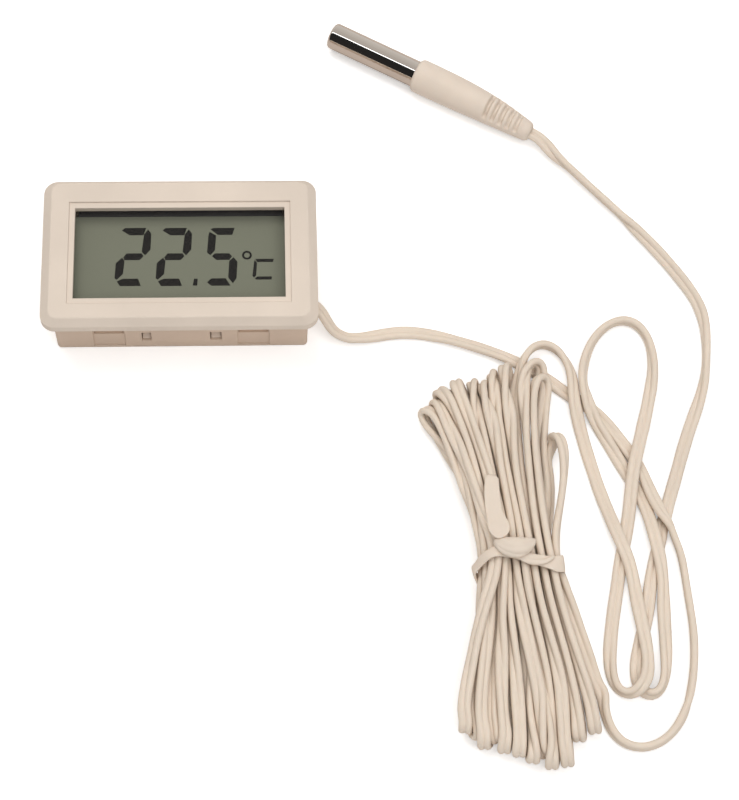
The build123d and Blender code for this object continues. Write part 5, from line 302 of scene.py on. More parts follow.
def metal(name, base, rough, stretch=(1, 1, 1), scale=900.0, depth=0.000004, spread=0.08):
    """Bare metal; stretch squeezes the grain along each axis."""
    mat, net, shader = material(name, base, rough, metallic=1.0)
    place = net.coords()
    grain_place = net.node("Mapping", Vector=place, Scale=stretch).outputs[0]
    grain = net.noise(grain_place, scale, rough=0.6)
    drift = net.remap(net.noise(place, scale=120.0), span=(0.3, 0.7))
    limits = (max(0.02, rough - spread * 0.4), rough + spread)
    net.setup(shader, Roughness=net.remap(grain, span=(0.3, 0.7), to=limits),
              Base_Color=net.mix(drift, scaled(base, 0.95), base), Normal=net.bump(grain, depth))
    return mat


def simple(name, base, rough, scale=1500.0, depth=0.00001, specular=0.4, variation=0.12):
    """Matt or glossy solid with its own fine grain and tone variation."""
    mat, net, shader = material(name, base, rough, specular)
    grain = net.noise(net.coords(), scale)
    colour = net.mix(net.remap(grain, span=(0.3, 0.7)),
                     scaled(base, 1 - variation), scaled(base, 1 + variation * 0.4))
    limits = (rough * 0.85, min(1, rough * 1.15))
    net.setup(shader, Base_Color=colour, Normal=net.bump(grain, depth),
              Roughness=net.remap(grain, span=(0.3, 0.7), to=limits))
    return mat


# ------------------------------------------------------------ materials
# the case gets painted shade below 12.1 mm, under its flange
CASE = moulded("case_plastic_visual", (0.770, 0.665, 0.565), rough=0.50,
               shade_below=(0.0121, (0.925, 0.84, 0.78)))
# painted shade: the rear cover and battery door are the case plastic darkened and browned, for their low
# place under the flange
COVER_SHADED = moulded("cover_plastic_shaded_visual", (0.715, 0.585, 0.482), rough=0.54)
LEAD_PVC = pvc("lead_pvc_visual", (0.800, 0.690, 0.575), rough=0.40)
TIE_PVC = pvc("tie_pvc_visual", (0.805, 0.695, 0.585), rough=0.46, depth=0.00002)
# the boot's slots get a darker crease colour: painted shade
BOOT_PVC = pvc("boot_pvc_visual", (0.800, 0.690, 0.585), rough=0.50, lines=False,
               depth=0.000012, crease=(0.30, 0.20, 0.13))
LENS = clear("lens_clear_visual", (0.985, 0.99, 0.985), gloss=0.055, rough=0.05, scratch=0.10)
GLASS = clear("lcd_glass_visual", (0.985, 0.99, 0.985), gloss=0.02, rough=0.02)
FILM = clear("lcd_film_visual", (0.94, 0.95, 0.92), gloss=0.01, rough=0.15)
GASKET = simple("gasket_black_visual", (0.040, 0.041, 0.036), rough=0.75, scale=2500.0,
                depth=0.00002)
INK = simple("lcd_ink_visual", (0.007, 0.007, 0.008), rough=0.65, scale=5000.0, depth=0.000004)
BACKING = simple("lcd_backing_visual", (0.215, 0.218, 0.170), rough=0.7, scale=9000.0,
                 depth=0.000006, specular=0.3, variation=0.06)
SPACER = simple("spacer_white_visual", (0.72, 0.72, 0.70), rough=0.6)
ZEBRA = simple("zebra_rubber_visual", (0.07, 0.07, 0.08), rough=0.7, scale=4000.0)
BOARD = simple("board_fr4_visual", (0.03, 0.16, 0.07), rough=0.38, scale=900.0,
               depth=0.00002, specular=0.5)
EPOXY = simple("epoxy_black_visual", (0.012, 0.012, 0.014), rough=0.22, scale=300.0,
               depth=0.00004, specular=0.5)
CHIP = simple("chip_ceramic_visual", (0.40, 0.30, 0.20), rough=0.5, scale=2500.0)
CAN = metal("can_metal_visual", (0.72, 0.72, 0.70), rough=0.25, stretch=(1, 1, 8))
CELL = metal("cell_steel_visual", (0.76, 0.75, 0.73), rough=0.20, scale=500.0)
BRASS = metal("contact_metal_visual", (0.78, 0.64, 0.38), rough=0.28, stretch=(6, 1, 1))
COPPER = metal("lead_copper_visual", (0.74, 0.46, 0.32), rough=0.30, stretch=(1, 8, 8))
TUBE = metal("probe_metal_visual", (0.80, 0.775, 0.745), rough=0.055, scale=260.0,
             depth=0.0000015, spread=0.03)
BEAD = simple("bead_epoxy_visual", (0.05, 0.04, 0.03), rough=0.25, scale=700.0,
              depth=0.00003, specular=0.5)
LEG = metal("leg_metal_visual", (0.72, 0.72, 0.70), rough=0.3)
PLUG = simple("plug_resin_visual", (0.42, 0.30, 0.14), rough=0.3, scale=800.0,
              depth=0.00003, specular=0.5)

MATERIAL_PARTS = [
    (CASE, "front_case"), (COVER_SHADED, "rear_cover battery_door"), (LENS, "window_lens"),
    (BRASS, "door_link_strip contact_positive contact_negative"), (GASKET, "display_gasket"),
    (FILM, "lcd_front_polariser"), (GLASS, "lcd_front_glass"), (INK, "lcd_segments"),
    (BACKING, "lcd_rear_glass lcd_reflector"), (SPACER, "display_spacer"),
    (ZEBRA, "zebra_strip"), (BOARD, "circuit_board"), (EPOXY, "chip_blob"),
    (CHIP, "board_chip_parts"), (CAN, "crystal_can"), (CELL, "button_cells"),
    (LEAD_PVC, "lead_entry lead_case_side lead_hank_turns lead_loose_loops lead_probe_side"
               " probe_lead_tail"),
    (COPPER, "lead_solder_tails"), (TIE_PVC, "hank_tie_band hank_tie_knot"),
    (BOOT_PVC, "probe_boot"), (TUBE, "probe_tube"), (BEAD, "thermistor_bead"),
    (LEG, "thermistor_legs"), (PLUG, "probe_seal_plug"),
]
PAINT = {part: mat for mat, parts in MATERIAL_PARTS for part in parts.split()}
for part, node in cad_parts.items():
    node.data.materials.clear()
    node.data.materials.append(PAINT[part])

# the clear sheets in front of the display don't darken it
for part in ("window_lens", "lcd_front_polariser", "lcd_front_glass"):
    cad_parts[part].visible_shadow = False
    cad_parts[part].visible_diffuse = False


# ------------------------------------------------------------ flat tape of the hank tie
# The band goes round the turns. Columns: x y z (mm), outward normal, width, thickness.
BAND = [
    (64.671, -55.78, 6.135, .93, 0, .368, 2.9, .42), (63.293, -56.182, 7.389, .745, 0, .668, 2.8, .45),
    (62.012, -56.031, 7.831, .598, 0, .801, 2.3, .6), (60.465, -55.789, 8.285, .389, 0, .921, 1.9, .75),
    (58.894, -55.555, 8.767, .16, 0, .987, 1.7, .85), (57.166, -55.103, 9.076, -.067, 0, .998, 1.6, .9),
    (55.325, -54.544, 9.022, -.289, 0, .957, 1.8, .75), (53.638, -54.252, 9.015, -.459, 0, .889, 1.9, .6),
    (52.289, -54.455, 8.643, -.601, 0, .799, 1.8, .55), (51.077, -55.085, 7.827, -.758, 0, .652, 1.7, .55),
    (50.028, -55.866, 6.391, -.926, 0, .378, 1.9, .5), (49.536, -56.835, 4.977, -.997, 0, .08, 2.4, .45),
    (52.111, -58.6, 1.373, -.866, 0, -.5, 2.9, .42), (54.326, -58.1, .3, -.616, 0, -.788, 2.9, .42),
    (56.052, -57.5, .3, -.342, 0, -.94, 2.9, .42), (57.7, -56.8, .3, 0, 0, -1, 2.9, .42),
    (59.348, -56.2, .3, .342, 0, -.94, 2.9, .42), (60.939, -55.7, .455, .616, 0, -.788, 2.9, .42),
    (63.226, -55.2, 1.41, .866, 0, -.5, 2.9, .42),
]
# The other pieces keep one normal each. Columns: x y z (mm), width, thickness.
KNOT = [
    (52.957, -52.385, 9.3, .7, .7), (53.156, -52.565, 9.4, 1.5, 1.3), (53.608, -52.961, 9.55, 2.2, 1.9),
    (54.484, -53.488, 9.75, 2.9, 2.4), (55.465, -53.821, 9.85, 3.3, 2.6), (56.47, -53.907, 9.85, 3.4, 2.7),
    (57.495, -53.764, 9.8, 3.1, 2.5), (58.378, -53.389, 9.65, 2.5, 2.1), (59.012, -52.974, 9.5, 1.7, 1.5),
    (59.477, -52.573, 9.35, .9, .9), (59.698, -52.381, 9.3, .35, .4),
]
LOOP = [
    (53.135, -53.254, 9.9, .7, .6), (53.757, -54.077, 9.95, 1.2, .9), (54.726, -54.692, 10, 1.5, 1.05),
    (55.884, -55.01, 10, 1.6, 1.1), (57.074, -54.888, 9.95, 1.5, 1.05), (58.223, -54.271, 9.8, 1.3, .95),
    (59.045, -53.523, 9.65, 1, .8), (59.523, -52.911, 9.5, .6, .55),
]
FOLD = [
    (56.508, -55.226, 8.8, .4, .4), (57.144, -55.588, 8.95, .75, .6), (58.121, -56.044, 9, .95, .7),
    (59.289, -56.328, 8.95, 1, .75), (60.491, -56.261, 8.8, .95, .7), (61.556, -55.928, 8.55, .8, .6),
    (62.483, -55.346, 8.2, .6, .5), (62.967, -54.913, 7.95, .35, .35),
]
FREE_END = [
    (53.272, -40.289, 8, 1.2, .36), (53.193, -40.62, 8.1, 2.1, .42), (53.035, -41.811, 8.35, 2.5, .45),
    (52.912, -43.962, 8.75, 2.65, .46), (52.938, -46.064, 9.05, 2.75, .48),
    (53.062, -47.616, 9.35, 2.85, .5), (53.299, -48.823, 9.7, 3.25, .52),
    (53.506, -49.936, 10.05, 3.6, .55), (53.69, -50.936, 10.35, 3.5, .6),
    (53.867, -51.703, 10.5, 2.9, .55), (54.035, -52.22, 10.55, 1.9, .45),
    (54.125, -52.416, 10.55, .9, .35),
]
# name, part it replaces, rows, form
TAPES = [
    ("tie_tape_band", "hank_tie_band", BAND, dict(closed=True)),
    ("tie_tape_knot", "hank_tie_knot", KNOT,
     dict(normal=(0, -0.25, 0.97), power=0.95, sides=32, crease=0.10)),
    ("tie_tape_loop", None, LOOP, dict(normal=(0, -0.3, 0.95), power=0.8, sides=24)),
    ("tie_tape_fold", None, FOLD, dict(normal=(0.1, -0.2, 0.97), power=0.8, sides=24)),
    ("tie_tape_end", None, FREE_END, dict(normal=(0, -0.2, 0.98), power=0.4, sides=28)),
]


def tape_piece(name, rows, normal=None, closed=False, power=0.45, sides=20, crease=0.0):
    """Sweeps a rounded flat section; a lower power gives squarer edges."""
    if normal:
        rows = [(*row[:3], *normal, *row[3:]) for row in rows]
    line, _ = spline(rows, 0.35, closed)
    centre, outward, width, thick = line[:, :3], line[:, 3:6], line[:, 6:7], line[:, 7:8]
    along = tangents(centre, closed)
    outward = square_to(outward, along)
    across = np.cross(along, outward)
    angle = np.linspace(0, 2 * pi, sides, endpoint=False)
    section_u = signed_power(np.cos(angle), power)[None, :]
    section_v = signed_power(np.sin(angle), power if power > 0.7 else 0.6)[None, :]
    length = run_length(centre)
    groove = 1 - crease * np.exp(-((section_u - 0.15) / 0.22) ** 2)
    points = (centre[:, None, :] + across[:, None, :] * (width * 0.5 * section_u)[..., None]
              + outward[:, None, :] * (thick * 0.5 * section_v * groove)[..., None])
    # soft unevenness of hand-pulled tape
    sway = 0.05 * np.sin(length * 1.7)[:, None] * section_u
    points += outward[:, None, :] * sway[..., None]
    # nothing goes below the table
    points[..., 2] = np.maximum(points[..., 2], 0.015)
    attributes = {"along": np.repeat(length, sides), "across": (width * 0.5 * section_u).ravel()}
    faces = tube_faces(len(centre), sides, closed)
    return new_mesh(name, points.reshape(-1, 3), faces, TIE_PVC, attributes)


# ------------------------------------------------------------ probe boot
# Evenly spaced stations from the mouth to the lead end (mm).
BOOT_DIAMETERS = [6.4, 6.4, 6.4, 6.39, 6.29, 6.13, 5.94, 5.72, 5.41, 5.04, 4.64, 4.16, 3.6]
BOOT_SHIFTS = [0.0, 0.0, 0.0, 0.0, -0.01, -0.02, -0.05, -0.09, -0.15, -0.24, -0.36, -0.48, -0.6]
BOOT_SIDES = 72
SLOT_COUNT, SLOT_FIRST, SLOT_PITCH = 5, 15.45, 1.56
SLOT_DEPTH, SLOT_SHALLOWING = 0.74, 0.06
SLOT_HALF_WIDTH, SLOT_RIDGE_OFFSET = 0.36, 0.78


def smoothed(values):
    """Running mean over nine stations."""
    padded = np.r_[np.repeat(values[0], 4), values, np.repeat(values[-1], 4)]
    return np.convolve(padded, np.ones(9) / 9.0, "valid")


def wrapped(angle):
    return (angle + pi) % (2 * pi) - pi


def boot_radii(place, radius, angle):
    """Radius at every station and angle, with the slots and the marks of moulding."""
    radii = np.repeat(radius[:, None], BOOT_SIDES, 1)
    # bending slots across the upper side
    edge = np.clip((radians(74) - np.abs(wrapped(angle - radians(98)))) / radians(22), 0, 1)
    upper = (edge * edge * (3 - 2 * edge))[None, :]
    for slot in range(SLOT_COUNT):
        offset = place - (SLOT_FIRST + SLOT_PITCH * slot)
        cut = 1 / (1 + np.exp((np.abs(offset) / SLOT_HALF_WIDTH - 1) * 5.5))
        radii -= (SLOT_DEPTH - SLOT_SHALLOWING * slot) * cut[:, None] * upper
        # the ridge beside each slot stands a little proud
        radii += 0.07 * np.exp(-((offset - SLOT_RIDGE_OFFSET) / 0.30) ** 2)[:, None] * upper
    # faint sink and flash line
    radii += 0.02 * np.sin(place * 0.8)[:, None] * np.cos(angle * 2)[None, :]
    radii += 0.035 * np.exp(-(wrapped(angle) / 0.05) ** 2)[None, :]
    return radii


def boot_piece(name):
    place = np.r_[np.linspace(0.0, 12.6, 50), np.linspace(12.7, 23.0, 150),
                  np.linspace(23.05, BOOT_LENGTH, 14)]
    stations = np.arange(13) * BOOT_LENGTH / 12
    radius = smoothed(np.interp(place, stations, BOOT_DIAMETERS) / 2)
    shift = smoothed(np.interp(place, stations, BOOT_SHIFTS))
    # moulded lip around the mouth and rounded end bead
    radius = radius - 0.42 * np.clip(1 - place / 0.75, 0, 1) ** 2.2
    end = np.clip((place - 23.55) / 0.85, 0, 1)
    radius = radius - 0.62 * (1 - np.sqrt(1 - np.minimum(end, 0.9999) ** 2))
    angle = np.linspace(0, 2 * pi, BOOT_SIDES, endpoint=False)
    circle = np.cos(angle)[:, None] * PROBE_ACROSS + np.sin(angle)[:, None] * UP
    centre = (PROBE_TIP[None, :] + PROBE_AXIS[None, :] * (BARE_LENGTH + place)[:, None]
              + PROBE_ACROSS[None, :] * shift[:, None] + UP[None, :] * (shift * 1.1)[:, None])
    skin = centre[:, None, :] + boot_radii(place, radius, angle)[..., None] * circle[None]
    # mouth turned in to the tube, and the end turned in to the lead
    mouth = PROBE_TIP + PROBE_AXIS * BARE_LENGTH
    head = [mouth + PROBE_AXIS * 0.5 + circle * 2.52, mouth + circle * 2.56]
    oval = (signed_power(np.cos(angle), 0.8)[:, None] * 1.27 * PROBE_ACROSS
            + np.sin(angle)[:, None] * 0.68 * UP)
    last = centre[-1]
    tail = [last + PROBE_AXIS * 0.08 + circle * (radius[-1] * 0.8),
            last + PROBE_AXIS * 0.02 + oval, last - PROBE_AXIS * 1.2 + oval]
    points = np.vstack(head + [skin.reshape(-1, 3)] + tail)
    return new_mesh(name, points, tube_faces(len(points) // BOOT_SIDES, BOOT_SIDES), BOOT_PVC)


# ------------------------------------------------------------ twin lead
# Section (mm): two round cores, their centres this far off the middle, joined by a web.
CORE_RADIUS, CORE_OFFSET, WEB_HALF_THICKNESS = 0.62, 0.54, 0.36
# Rows of the centre line where one piece of jacket ends and the next begins.
LEAD_JOINS = (191, 2322, 2662)
